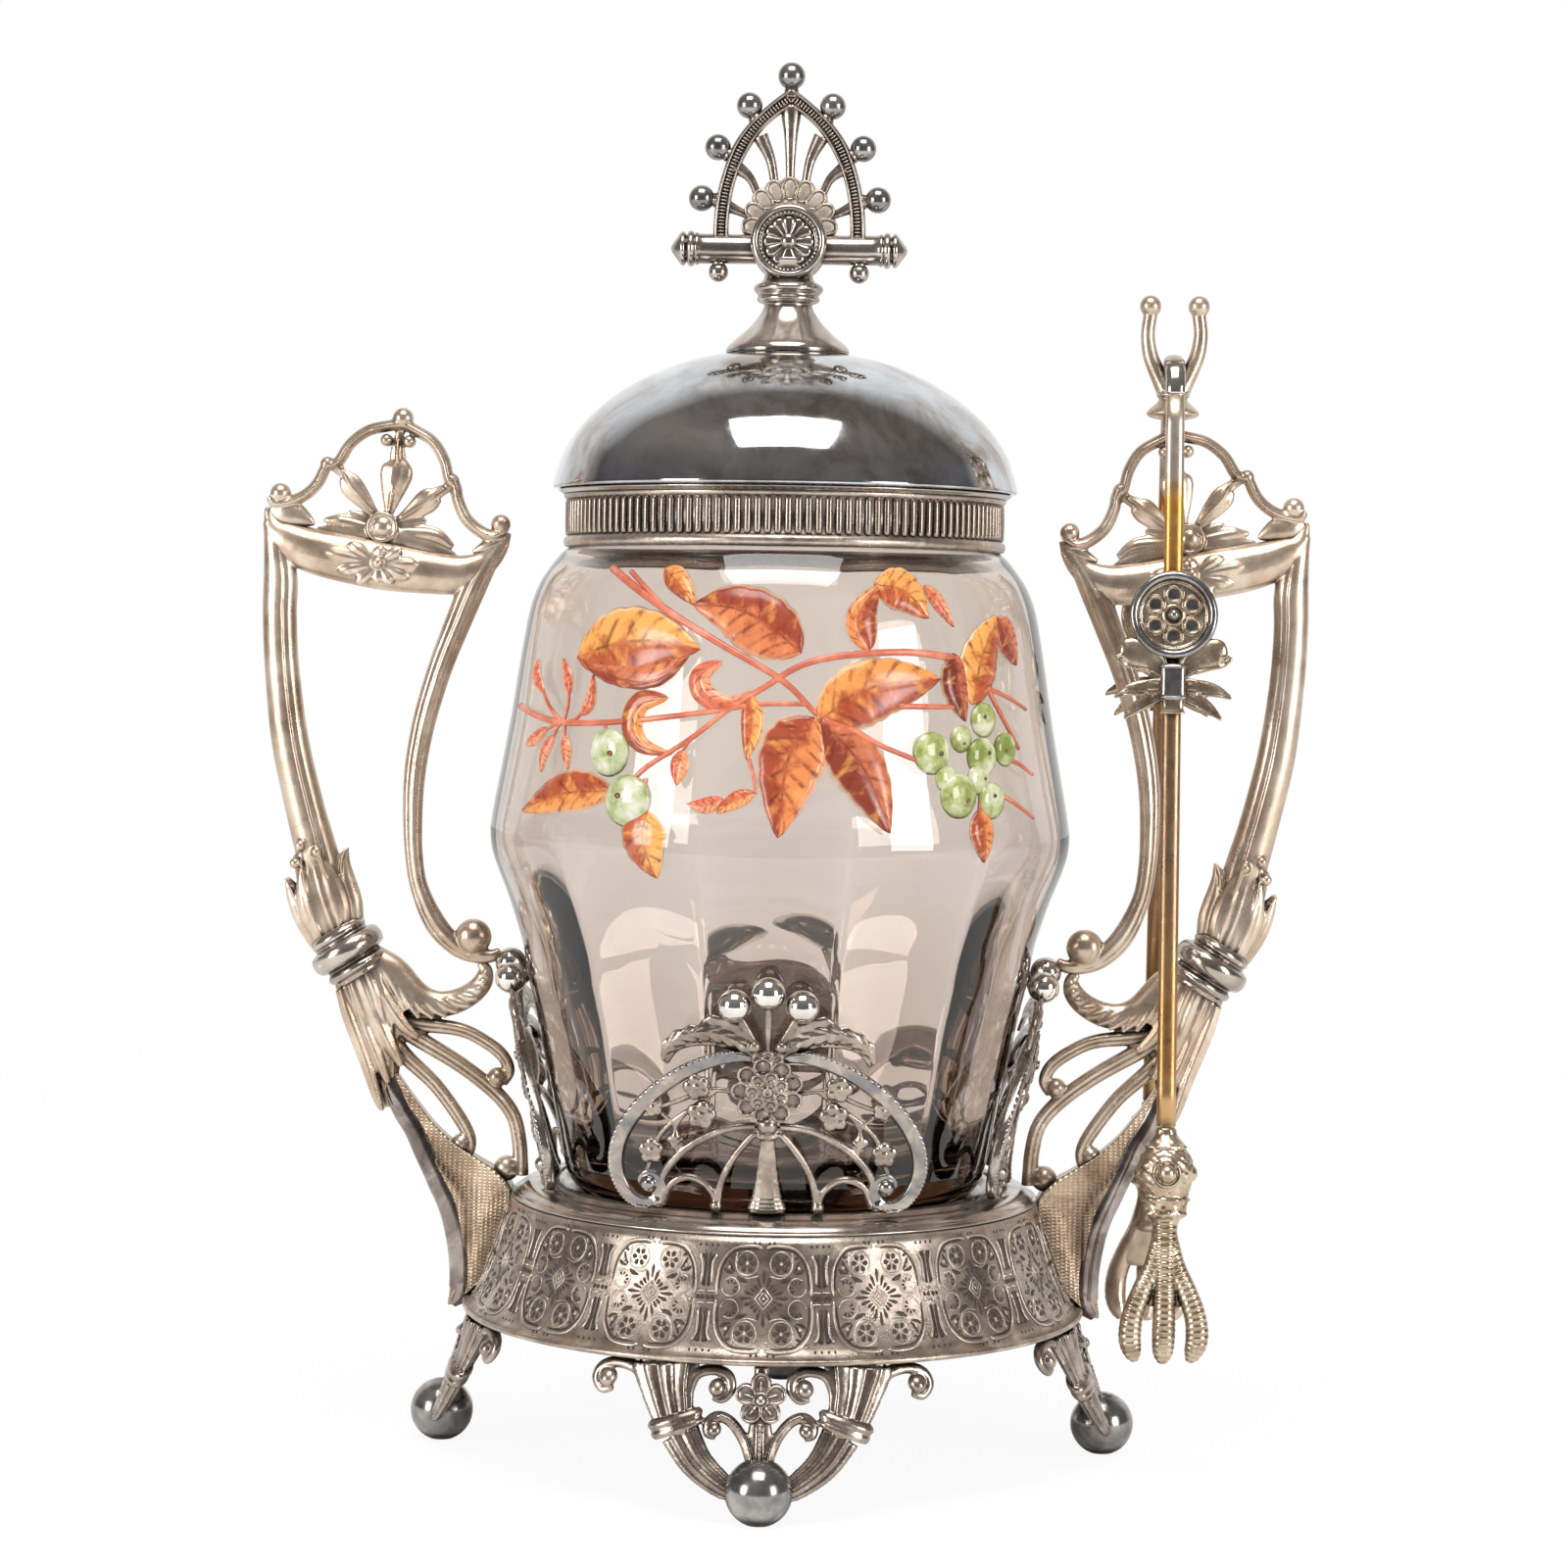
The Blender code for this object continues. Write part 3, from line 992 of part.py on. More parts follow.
def make_fork():
    """The two-ball fork: a ringed collar under a lyre-shaped pair of tines."""
    base = fork_foot()
    neck = FORK_TINE_RADIUS * 1.5
    neck_z = FORK_SEAT_HEIGHT - neck
    rings = [(FORK_COLLAR_RADIUS * radius, FORK_COLLAR_RADIUS * z) for radius, z in FORK_COLLAR_SHARES]
    profile = [(0.0, neck_z), (neck, neck_z)] + rings + [(neck, 0.0), (0.0, 0.0)]
    collar = baked(turned("fork_collar", profile, 12))
    placed(collar, Matrix.Translation(base))
    pieces = [collar]
    seat = base.z + FORK_SEAT_HEIGHT - FORK_TINE_RADIUS
    rise = FORK_HEIGHT - FORK_SEAT_HEIGHT
    right = [(base.x + FORK_HALF_GAP * x, 0.0, seat + rise * z, 1.0) for x, z in TINE_SHARES]
    left = [(2 * base.x - x, y, z, size) for x, y, z, size in reversed(right[:-1])]
    for side in (1, -1):
        pieces.append(ball((base.x + side * FORK_HALF_GAP, 0.0, seat + rise), FORK_BALL_RADIUS, FINE_BALL))
    pieces.append(rod(right + left, FORK_TINE_RADIUS, PLAIN))
    finish(thinned(fused("tong_fork", pieces), 0.75), "tong_fork", WARM_SILVER)


def bar_stock(points, steps=1):
    """A flat bar along points in the YZ plane, wider than it is thick."""
    stock = rod(points, TONG_BAR_THICKNESS / 2, FINE, steps)
    middle = points[0][0]
    for vert in stock.data.vertices:
        vert.co.x = middle + (vert.co.x - middle) * TONG_BAR_WIDTH / TONG_BAR_THICKNESS
    return stock


def empty(name, place, turn=(0.0, 0.0, 0.0), parent=None):
    """An empty on a joint's axis, to carry what moves about it."""
    item = add_object(name, None)
    item.location = place
    item.rotation_euler = turn
    item.parent = parent
    return item


def claw_line(shares):
    """A toe from shares of spread, length, curl and radius, in the arm's own frame."""
    top = -TONG_ARM_LENGTH - GAP
    return [(TOE_SPREAD * x, CLAW_LENGTH * curl, top - CLAW_LENGTH * z, size) for x, z, curl, size in shares]


def make_claw():
    """A bird's claw: turned bulb with a boss, and three toes that curl inwards."""
    top = -TONG_ARM_LENGTH - GAP
    profile = [(0.0, top)] + [(CLAW_BULB_RADIUS * r, top - CLAW_LENGTH * z) for r, z in CLAW_SHARES]
    profile.append((0.0, profile[-1][1]))
    pieces = [flattened(baked(turned("bulb", profile, 8)), CLAW_THICKNESS_SHARE)]
    pieces.append(rod(claw_line(MIDDLE_TOE_SHARES), TOE_RADIUS))
    for side in (1, -1):
        shares = [(side * s[0], *s[1:]) for s in SIDE_TOE_SHARES]
        pieces.append(rod(claw_line(shares), TOE_RADIUS))
    boss = (0.0, -CLAW_BULB_RADIUS * CLAW_THICKNESS_SHARE, top - CLAW_LENGTH * CLAW_SHARES[3][1])
    pieces.append(ball(boss, CLAW_BOSS_RADIUS))
    return thinned(fused("claw", pieces), 0.85)


def make_disc():
    """The round boss on an arm: raised rim, six recesses and a centre ball."""
    back = -TONG_BAR_THICKNESS / 2 - GAP
    half = DISC_THICKNESS / 2
    dish = DISC_THICKNESS * 0.3
    profile = [
        (0.0, half - dish), (DISC_RADIUS * 0.78, half - dish), (DISC_RADIUS * 0.84, half),
        (DISC_RADIUS, half - dish * 0.5), (DISC_RADIUS, dish - half), (DISC_RADIUS * 0.94, -half),
        (0.0, -half),
    ]
    disc = baked(turned("disc", profile, 18))
    for step in range(6):
        angle = math.tau * step / 6
        reach = DISC_RADIUS * 0.5
        place = (reach * math.cos(angle), reach * math.sin(angle), half - dish + DISC_RECESS_DEPTH * 0.4)
        cup = ball(place, DISC_RECESS_RADIUS)
        disc = boolean(disc, cup, "DIFFERENCE")
    disc = thinned(fused("disc", [disc, ball((0.0, 0.0, half - dish), DISC_RECESS_RADIUS)]), 0.8)
    return placed(along_y(disc), Matrix.Translation((0.0, back - half, -DISC_PLACE)))


def make_bow():
    """The bow on an arm: a knot, two open loops and two notched tails."""
    front = -TONG_BAR_THICKNESS / 2 - GAP - BOW_KNOT_THICKNESS / 2
    width = BOW_HALF_WIDTH
    pieces = []
    for side in (1, -1):
        for shares in (BOW_LOOP_SHARES, BOW_TAIL_SHARES, BOW_PRONG_SHARES):
            line = [(side * width * x, front, -BOW_PLACE + width * z, 1.0) for x, z in shares]
            pieces.append(rod(line, BOW_WIRE_RADIUS))
    knot = [(0.0, front, -BOW_PLACE + width * z, size) for z, size in BOW_KNOT_SHARES]
    thin = BOW_KNOT_THICKNESS / 2 / BOW_KNOT_RADIUS
    pieces.append(flattened(rod(knot, BOW_KNOT_RADIUS, PLAIN), thin, front))
    return thinned(fused("bow", pieces), 0.7)


def make_tongs():
    """The bend over the fork, and two arms that swing about its ends when squeezed."""
    base = fork_foot()
    loop_z = base.z + FORK_SEAT_HEIGHT + GAP + TONG_BAR_THICKNESS / 2 - TONG_LOOP_RADIUS
    carrier = empty("tongs_lift_axis", (base.x, 0.0, loop_z))
    split = GAP / TONG_LOOP_RADIUS
    turn = math.pi + 2 * (TONG_SPLAY - split)
    arc = []
    for step in range(15):
        angle = -TONG_SPLAY + split + turn * step / 14
        arc.append((0.0, -TONG_LOOP_RADIUS * math.cos(angle), TONG_LOOP_RADIUS * math.sin(angle), 1.0))
    bend = finish(bar_stock(arc), "tong_bend", GILT_SILVER, 0.35)
    bend.parent = carrier
    hinge_y = TONG_LOOP_RADIUS * math.cos(TONG_SPLAY)
    hinge_z = -TONG_LOOP_RADIUS * math.sin(TONG_SPLAY)
    arm = bar_stock([(0.0, 0.0, 0.0, 1.0), (0.0, 0.0, -TONG_ARM_LENGTH, 1.0)])
    shapes = {"arm": arm, "disc": make_disc(), "bow": make_bow(), "claw": make_claw()}
    for name, side, half_turn in (("front", -1, 0.0), ("back", 1, math.pi)):
        place = (0.0, side * hinge_y, hinge_z)
        axis = empty(name + "_arm_axis", place, (-TONG_SPLAY, 0.0, half_turn), carrier)
        for part, shape in shapes.items():
            twin = add_object(name + "_" + part, shape.data.copy())
            twin.parent = axis
            finish(twin, name + "_" + part, GILT_SILVER, 0.35)
    for shape in shapes.values():
        bpy.data.objects.remove(shape, do_unlink=True)


def main():
    """Make every piece of the castor."""
    clear_scene()
    make_skirt()
    make_deck()
    make_feet()
    make_galleries()
    make_handles()
    make_fork()
    make_jar()
    make_lid()
    make_tongs()


main()
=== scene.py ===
# Pickle castor: the looks of the jar, its lid, the cast and stamped silver frame
# and the claw tongs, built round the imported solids. Lengths are in millimetres
# until a mesh is made; +Z is up, +X is towards the handle that holds the tongs.

import math

import bmesh
import bpy
import numpy as np
from mathutils import Matrix, Vector


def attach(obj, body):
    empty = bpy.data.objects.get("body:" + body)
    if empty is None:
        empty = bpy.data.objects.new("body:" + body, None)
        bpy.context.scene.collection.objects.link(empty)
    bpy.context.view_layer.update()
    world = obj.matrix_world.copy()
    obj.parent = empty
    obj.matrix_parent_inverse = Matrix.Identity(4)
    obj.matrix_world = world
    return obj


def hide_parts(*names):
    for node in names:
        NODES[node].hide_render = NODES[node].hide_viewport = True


MM = 0.001
TURN = math.tau

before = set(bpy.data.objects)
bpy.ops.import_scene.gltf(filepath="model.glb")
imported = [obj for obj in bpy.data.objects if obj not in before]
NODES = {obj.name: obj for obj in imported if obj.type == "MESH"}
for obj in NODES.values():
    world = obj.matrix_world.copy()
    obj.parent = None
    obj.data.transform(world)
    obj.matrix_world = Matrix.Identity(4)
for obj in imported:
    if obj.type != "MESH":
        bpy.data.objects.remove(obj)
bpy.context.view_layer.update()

# Shared places, as the solids have them
RIM_RADIUS, RIM_Z, SKIRT_RISE, SKIRT_FLARE = 55.8, 26.2, 19.7, 8.0
SKIRT_TOP = RIM_Z + SKIRT_RISE
DECK_TOP, DECK_SEAT = 48.8, 47.1
# Feet: their top, inset from the rim and splay outwards, and the flattened ball each stands on
FOOT_TOP, FOOT_INSET, FOOT_SPLAY, KNOB_RADIUS, KNOB_Z = 25.2, 1.6, 0.33, 5.7, 5.26
# Galleries: radius of their curve, distance from the axis, lean outwards and height of their foot
GALLERY_CURVE, GALLERY_OUT, GALLERY_LEAN, GALLERY_Z = 110.0, 41.0, 0.2, 49.1
HUB_Z, BAR_Z = 218.4, 217.3
TONG_X, LOOP_Z, LOOP_RADIUS, SPLAY = 69.6, 192.25, 5.9, math.radians(5.5)


# Nodes and materials

def fed(tree, node, inputs):
    """The node, with each of its inputs given a value or the socket that feeds it."""
    for key, value in inputs.items():
        if isinstance(value, bpy.types.NodeSocket):
            tree.links.new(value, node.inputs[key])
        else:
            node.inputs[key].default_value = value
    return node


def add(tree, kind, inputs=None, **settings):
    """Add a node with its settings and what feeds its inputs."""
    node = tree.nodes.new(kind)
    for name, value in settings.items():
        setattr(node, name, value)
    return fed(tree, node, inputs or {})


def hex_colour(text):
    """An sRGB hex colour as linear RGBA."""
    parts = [int(text[i:i + 2], 16) / 255 for i in (0, 2, 4)]
    return (*[c / 12.92 if c <= 0.04045 else ((c + 0.055) / 1.055) ** 2.4 for c in parts], 1.0)


def surface(name, values):
    """A material with its shader, its node tree and the object coordinates."""
    material = bpy.data.materials.new(name)
    material.use_nodes = True
    tree = material.node_tree
    shader = fed(tree, tree.nodes["Principled BSDF"], values)
    place = add(tree, "ShaderNodeTexCoord").outputs["Object"]
    return material, tree, shader, place


def stops(ramp, colours):
    """Set a colour ramp's stops from (place, hex) pairs."""
    band = ramp.color_ramp
    while len(band.elements) < len(colours):
        band.elements.new(0.5)
    for element, (place, text) in zip(band.elements, colours):
        element.position = place
        element.color = hex_colour(text)


def silver(name, worn, body, recess_tarnish_and_shade, rough, blotch_mm, bump_mm, grain_mm, cavity_mm, metal, heights=(),
           weave_mm=()):
    """Old silver plate: mottled tarnish, tarnish and painted shade in the recesses, fine pits or a pressed
    weave, tones by height.
    """
    material, tree, shader, place = surface(name, {"Metallic": metal})
    blotch = add(tree, "ShaderNodeTexNoise", {
        "Vector": place, "Scale": 1000 / blotch_mm, "Detail": 5.0, "Roughness": 0.62, "Distortion": 0.6})
    tone = add(tree, "ShaderNodeValToRGB", {"Fac": blotch.outputs["Fac"]})
    stops(tone, ((0.34, body[0]), (0.50, body[1]), (0.66, body[2])))
    plate = tone.outputs["Color"]
    if heights:
        low, high = heights[0][0], heights[-1][0]
        level = add(tree, "ShaderNodeSeparateXYZ", {0: place}).outputs["Z"]
        share = add(tree, "ShaderNodeMapRange", {"Value": level, "From Min": low * MM, "From Max": high * MM})
        run = add(tree, "ShaderNodeValToRGB", {"Fac": share.outputs["Result"]})
        stops(run, tuple(((z - low) / (high - low), text) for z, text in heights))
        plate = add(tree, "ShaderNodeMix", {0: 0.75, 6: plate, 7: run.outputs["Color"]},
                    data_type="RGBA").outputs[2]
    # Painted shade: where ambient occlusion finds a hollow, the recess colour is mixed in, as tarnish left
    # there and as shade painted into the colour
    open_share = add(tree, "ShaderNodeAmbientOcclusion", {"Distance": cavity_mm * MM}, samples=8)
    depth = add(tree, "ShaderNodeMapRange",
                {"Value": open_share.outputs["AO"], "From Min": 0.36, "From Max": 0.95})
    tarnish_and_painted_shade = add(tree, "ShaderNodeMix", {0: depth.outputs["Result"], 6: hex_colour(recess_tarnish_and_shade), 7: plate},
                data_type="RGBA")
    edge = add(tree, "ShaderNodeMapRange", {
        "Value": add(tree, "ShaderNodeNewGeometry").outputs["Pointiness"],
        "From Min": 0.52, "From Max": 0.62, "To Max": 0.6})
    rubbed = add(tree, "ShaderNodeMix", {0: edge.outputs["Result"], 6: tarnish_and_painted_shade.outputs[2], 7: hex_colour(worn)},
                 data_type="RGBA")
    smear = add(tree, "ShaderNodeTexNoise", {
        "Vector": place, "Scale": 1000 / (blotch_mm * 0.4), "Detail": 4.0, "Roughness": 0.7})
    gloss = add(tree, "ShaderNodeMapRange", {
        "Value": smear.outputs["Fac"], "From Min": 0.3, "From Max": 0.7, "To Min": rough[0],
        "To Max": rough[1]})
    if weave_mm:
        # A wave texture of scale 1 has a band every TURN / 20 metres
        ribs = [add(tree, "ShaderNodeTexWave",
                    {"Vector": place, "Scale": TURN / (20 * pitch * MM), "Distortion": 0.6},
                    bands_direction=way) for way, pitch in zip("ZX", weave_mm)]
        pattern = add(tree, "ShaderNodeMath", {0: ribs[0].outputs["Fac"], 1: ribs[1].outputs["Fac"]},
                      operation="MULTIPLY").outputs[0]
    else:
        pattern = add(tree, "ShaderNodeTexNoise", {
            "Vector": place, "Scale": 1000 / grain_mm, "Detail": 2.0, "Roughness": 0.6}).outputs["Fac"]
    relief = add(tree, "ShaderNodeBump", {
        "Height": pattern, "Strength": 1.0 if weave_mm else 0.5, "Distance": bump_mm * MM})
    fed(tree, shader, {"Base Color": rubbed.outputs[2], "Roughness": gloss.outputs["Result"],
                       "Normal": relief.outputs["Normal"]})
    return material


def make_materials():
    """The finishes, each from what the real surface is made of."""
    # Key: name, worn colour, tarnish from dark to light, colour of tarnish and painted shade in recesses,
    # least and most roughness, then in mm the size of blotches, the bump's height, the grain and the
    # cavities; last, how metallic
    made = {key: silver(*recipe) for key, *recipe in (
        # Cast silver plate, tarnished: warm grey with brown tarnish and painted shade in the hollows, its
        # high places rubbed
        ("cast", "tarnished cast silver plate", "DCD4CB", ("7C7067", "9A8D82", "B7AA9E"), "1E1612",
         (0.17, 0.34), 6.0, 0.03, 0.6, 2.0, 0.90),
        # Satin silver plate on the handles, the fork and the shell's rims, worn to a pale champagne tone
        ("rose", "satin champagne-toned silver plate", "E8DBCD", ("A9947F", "C4B09C", "D9C9B8"), "32251B",
         (0.23, 0.38), 11.0, 0.015, 0.5, 2.2, 0.82),
        # Weave pressed into the blade's cheeks: fine crossed ribs that catch gold and brown
        ("woven", "weave-pressed worn gilt silver plate", "E2D4C2", ("7E6A58", "A68F79", "C9B59E"), "2A1D14",
         (0.24, 0.40), 9.0, 0.09, 0.5, 2.6, 0.90, (), (0.62, 0.9)),
        # Back of the blade: dark and polished, with a purple-brown cast
        ("spine", "dark polished silver plate with brown tarnish", "D8D0CC", ("5C544F", "857B75", "AFA7A1"),
         "1E1715", (0.10, 0.22), 8.0, 0.01, 0.6, 1.6, 0.92),
        # Flat scrolls of the galleries: polished, with a bluish oxide
        ("blued", "blue-oxidised polished silver plate", "DAD6D2", ("74757A", "968F88", "B8AFA4"), "241E1B",
         (0.12, 0.26), 5.0, 0.012, 0.6, 1.8, 0.92),
        # Stamped sheet of the skirt: satin tarnished ground
        ("stamped", "tarnished stamped silver plate", "DACDC0", ("7F736A", "A39589", "C8BAAC"), "231914",
         (0.24, 0.38), 6.5, 0.10, 0.35, 1.1, 0.88),
        # Dark patina left standing in the sunk strokes of the stamping, and painted shade: the strokes are
        # dark where the recesses' shade would fall
        ("patina", "dark patina in stamped strokes", "4A3E36", ("211A17", "30271F", "42372F"), "120E0B",
         (0.35, 0.55), 5.0, 0.03, 0.4, 0.9, 0.4),
        # Spun and turned pieces, burnished: smoother and brighter than the castings
        ("spun", "burnished spun silver plate", "E6E0D9", ("988D84", "B1A79E", "C8BFB6"), "33281F",
         (0.12, 0.24), 13.0, 0.01, 0.8, 1.6, 0.92),
        # Polished dome: near mirror, with faint clouds of brown and blue tarnish
        ("dome", "polished silver plate with cloudy tarnish", "E6E6E6", ("8F8479", "BDBFC3", "D6D9DD"),
         "2A2724", (0.04, 0.13), 17.0, 0.005, 1.2, 1.6, 1.0),
        # Balls of the feet and the finial, and the discs' rims: polished, dark pewter grey
        ("ball", "dark burnished silver plate", "DAD6D0", ("6C6A69", "898785", "A9A6A2"), "2A2522",
         (0.12, 0.26), 4.5, 0.012, 0.6, 1.6, 0.9),
        # Tong rods: silver below the bend, then rubbed through to amber brass, greyed lower down
        ("rod", "worn plate over brass", "E8CFA4", ("96785A", "B4906A", "CFAE88"), "3C2A1A",
         (0.24, 0.40), 6.0, 0.02, 0.4, 1.6, 0.85,
         ((60.0, "A8783A"), (84.0, "A07644"), (112.0, "8E7460"), (145.0, "967658"), (158.0, "C0863A"),
          (173.0, "DC9838"), (178.0, "C6BDB2"), (192.0, "C8C2BA"))),
        # Tong castings and the finial's stud: pale gilt, brown in the recesses with tarnish and painted shade
        ("gilt", "pale worn gilt", "F0E6D2", ("8E7B66", "B3A08A", "D3C3AC"), "281A12",
         (0.16, 0.32), 5.0, 0.03, 0.5, 1.8, 0.88),
        # Balls of the galleries: polished and kept bright
        ("bead", "polished silver plate", "F4F1EC", ("BDB6AE", "D3CDC6", "E4DFD9"), "3A322C",
         (0.06, 0.14), 9.0, 0.006, 0.8, 1.6, 0.95),
        # Lobes of the finial's shell: bright ground with punched stippling
        ("stipple", "stippled silver plate", "F4EDE4", ("B6A898", "CDC0B1", "E2D8CC"), "4E3E30",
         (0.36, 0.50), 9.0, 0.16, 0.42, 0.6, 0.80),
        # Ribs of the lid's band and ticks of the arch: dark in between with tarnish and painted shade, their
        # crests rubbed bright
        ("rib", "rubbed ribs of stamped silver plate", "D0C4B8", ("5A4C40", "786859", "9A8B7C"), "130D09",
         (0.22, 0.36), 9.0, 0.01, 0.4, 0.8, 0.95),
        # Bend of the tongs: smooth drawn rod that kept its silver
        ("bend", "smooth drawn silver-plated rod", "F2EEE6", ("A29C94", "BEB9B0", "D4CFC6"), "4A3A26",
         (0.08, 0.18), 8.0, 0.006, 0.6, 1.6, 0.95),
    )}

    # Smoky blown glass: clear, with a grey-brown tone that builds up where it is thick
    made["glass"], tree, shader, place = surface("smoky blown glass", {
        "Base Color": hex_colour("FAF6F3"), "Roughness": 0.0, "IOR": 1.5, "Transmission Weight": 1.0})
    waves = add(tree, "ShaderNodeTexNoise", {"Vector": place, "Scale": 1000 / 34.0, "Detail": 1.0})
    ripple = add(tree, "ShaderNodeBump", {"Height": waves.outputs["Fac"], "Strength": 0.35,
                                          "Distance": 0.25 * MM})
    smoke = add(tree, "ShaderNodeVolumeAbsorption", {"Color": hex_colour("C8B3A1"), "Density": 110.0})
    fed(tree, shader, {"Normal": ripple.outputs["Normal"]})
    fed(tree, tree.nodes["Material Output"], {"Volume": smoke.outputs["Volume"]})
    return {**made, "leaf": leaf_enamel(), **plain_enamels()}


def leaf_enamel():
    """Leaf enamel: glassy, orange to rust in two tones, with brush strokes, veins and a pale edge."""
    leaf, tree, shader, place = surface("two-toned leaf enamel", {"Roughness": 0.22, "IOR": 1.5})
    leaf_map = add(tree, "ShaderNodeUVMap", uv_map="leaf").outputs["UV"]
    spot = add(tree, "ShaderNodeSeparateXYZ", {0: leaf_map})
    tone = add(tree, "ShaderNodeAttribute", attribute_name="tone").outputs["Fac"]
    cloud = add(tree, "ShaderNodeTexNoise",
                {"Vector": place, "Scale": 1000 / 3.0, "Detail": 4.0, "Roughness": 0.65})
    light = add(tree, "ShaderNodeValToRGB", {"Fac": tone})
    stops(light, ((0.0, "DB8A6E"), (0.12, "DC9C54"), (0.35, "D2844A"), (0.6, "C06E4C"), (1.0, "9C5440")))
    deep = add(tree, "ShaderNodeValToRGB", {"Fac": tone})
    stops(deep, ((0.0, "C86650"), (0.12, "AC5836"), (0.35, "9E4A30"), (0.6, "8A3E2E"), (1.0, "5E281E")))
    split = add(tree, "ShaderNodeMath", {0: spot.outputs["Y"], 1: cloud.outputs["Fac"]}, operation="ADD")
    half = add(tree, "ShaderNodeMapRange", {"Value": split.outputs[0], "From Min": 0.88, "From Max": 1.10})
    body = add(tree, "ShaderNodeMix", {0: half.outputs[0], 6: deep.outputs["Color"],
                                       7: light.outputs["Color"]}, data_type="RGBA")
    # Brush strokes follow the leaf's side veins: pale touches and rust-brown ones
    strokes = add(tree, "ShaderNodeMapping", {
        "Vector": leaf_map, "Scale": (6.5, 1.7, 1.0), "Rotation": (0.0, 0.0, 0.45)})
    brush = add(tree, "ShaderNodeTexNoise", {
        "Vector": strokes.outputs[0], "Scale": 1.0, "Detail": 3.0, "Roughness": 0.6}).outputs["Fac"]
    pale = add(tree, "ShaderNodeMapRange",
               {"Value": brush, "From Min": 0.54, "From Max": 0.70, "To Max": 0.55})
    rust = add(tree, "ShaderNodeMapRange",
               {"Value": brush, "From Min": 0.46, "From Max": 0.32, "To Max": 0.75})
    lit = add(tree, "ShaderNodeMix", {0: pale.outputs[0], 6: body.outputs[2], 7: hex_colour("E8A558")},
              data_type="RGBA")
    touched = add(tree, "ShaderNodeMix", {0: rust.outputs[0], 6: lit.outputs[2], 7: hex_colour("7A2C1A")},
                  data_type="RGBA")
    middle = add(tree, "ShaderNodeMath", {0: spot.outputs["Y"], 1: 0.5}, operation="SUBTRACT")
    away = add(tree, "ShaderNodeMath", {0: middle.outputs[0]}, operation="ABSOLUTE").outputs[0]
    # Side veins sweep back from the midrib, about eight to a leaf
    slope = add(tree, "ShaderNodeMath", {0: away, 1: -0.32}, operation="MULTIPLY")
    sweep_back = add(tree, "ShaderNodeMath", {0: spot.outputs["X"], 1: slope.outputs[0]}, operation="ADD")
    comb = add(tree, "ShaderNodeMath", {0: sweep_back.outputs[0], 1: 0.07}, operation="PINGPONG")
    veins = add(tree, "ShaderNodeMapRange", {
        "Value": comb.outputs[0], "From Min": 0.002, "From Max": 0.030, "To Min": 1.0, "To Max": 0.0})
    rib = add(tree, "ShaderNodeMapRange", {
        "Value": away, "From Min": 0.012, "From Max": 0.04, "To Min": 1.0, "To Max": 0.0})
    lines = add(tree, "ShaderNodeMath", {0: veins.outputs[0], 1: rib.outputs[0]}, operation="MAXIMUM")
    worn = add(tree, "ShaderNodeMapRange", {
        "Value": cloud.outputs["Fac"], "From Min": 0.42, "From Max": 0.60, "To Max": 0.75})
    faint = add(tree, "ShaderNodeMath", {0: lines.outputs[0], 1: worn.outputs[0]}, operation="MULTIPLY")
    veined = add(tree, "ShaderNodeMix", {0: faint.outputs[0], 6: touched.outputs[2], 7: hex_colour("5A2416")},
                 data_type="RGBA")
    edge = add(tree, "ShaderNodeMapRange", {"Value": away, "From Min": 0.43, "From Max": 0.49, "To Max": 0.6})
    rimmed = add(tree, "ShaderNodeMix", {0: edge.outputs[0], 6: veined.outputs[2], 7: hex_colour("EBCDA8")},
                 data_type="RGBA")
    relief = add(tree, "ShaderNodeBump", {"Height": brush, "Strength": 0.4, "Distance": 0.02 * MM})
    fed(tree, shader, {"Base Color": rimmed.outputs[2], "Normal": relief.outputs["Normal"]})
    return leaf


def plain_enamels():
    """Clouded enamels, one colour each: glassy and opaque or, for the berries, translucent."""
    made = {}
    for key, name, colours, scale_mm, values in (
            # Coral stems, brushed on in one stroke: the tone runs from rust to pink
            ("stem", "coral stem enamel", ("AE5A44", "C0684E", "D08468"), 6.0, {}),
            # Berries: translucent, grey-green to milky white, clouded like the fired beads
            ("berry", "translucent green enamel", ("86904A", "B0B878", "DEDFC2"), 4.2,
             {"Transmission Weight": 0.25, "Roughness": 0.08}),
            ("pale berry", "translucent pale enamel", ("A4B476", "D0D6AC", "F0EFE2"), 4.2,
             {"Transmission Weight": 0.35, "Roughness": 0.08}),
            # Dark dots on the berries
            ("dot", "dark brown enamel", ("4A2C1C", "5E3C28", "7A5440"), 1.0, {})):
        made[key], tree, shader, place = surface(name, {"Roughness": 0.2, "IOR": 1.5, **values})
        mottle = add(tree, "ShaderNodeTexNoise", {
            "Vector": place, "Scale": 1000 / scale_mm, "Detail": 3.0, "Roughness": 0.6}).outputs["Fac"]
        tone = add(tree, "ShaderNodeValToRGB", {"Fac": mottle})
        stops(tone, tuple(zip((0.38, 0.5, 0.64), colours)))
        relief = add(tree, "ShaderNodeBump", {"Height": mottle, "Strength": 0.4, "Distance": 0.08 * MM})
        fed(tree, shader, {"Base Color": tone.outputs["Color"], "Normal": relief.outputs["Normal"]})
    return made


# Shapes in millimetres: every maker returns (points, faces)

def smooth_line(points, steps=6):
    """Rows along a smooth curve that passes through the given rows."""
    rows = np.array(points, float)
    if len(rows) < 3:
        share = np.linspace(0.0, 1.0, steps + 1)[:, None]
        return rows[0] + (rows[-1] - rows[0]) * share
    ends = np.vstack([2 * rows[0] - rows[1], rows, 2 * rows[-1] - rows[-2]])
    t = np.linspace(0.0, 1.0, steps, endpoint=False)[:, None]
    line = [0.5 * (2 * q + (r - p) * t + (2 * p - 5 * q + 4 * r - s) * t ** 2
                   + (3 * q - p - 3 * r + s) * t ** 3)
            for p, q, r, s in zip(ends, ends[1:], ends[2:], ends[3:])]
    return np.vstack(line + [rows[-1:]])


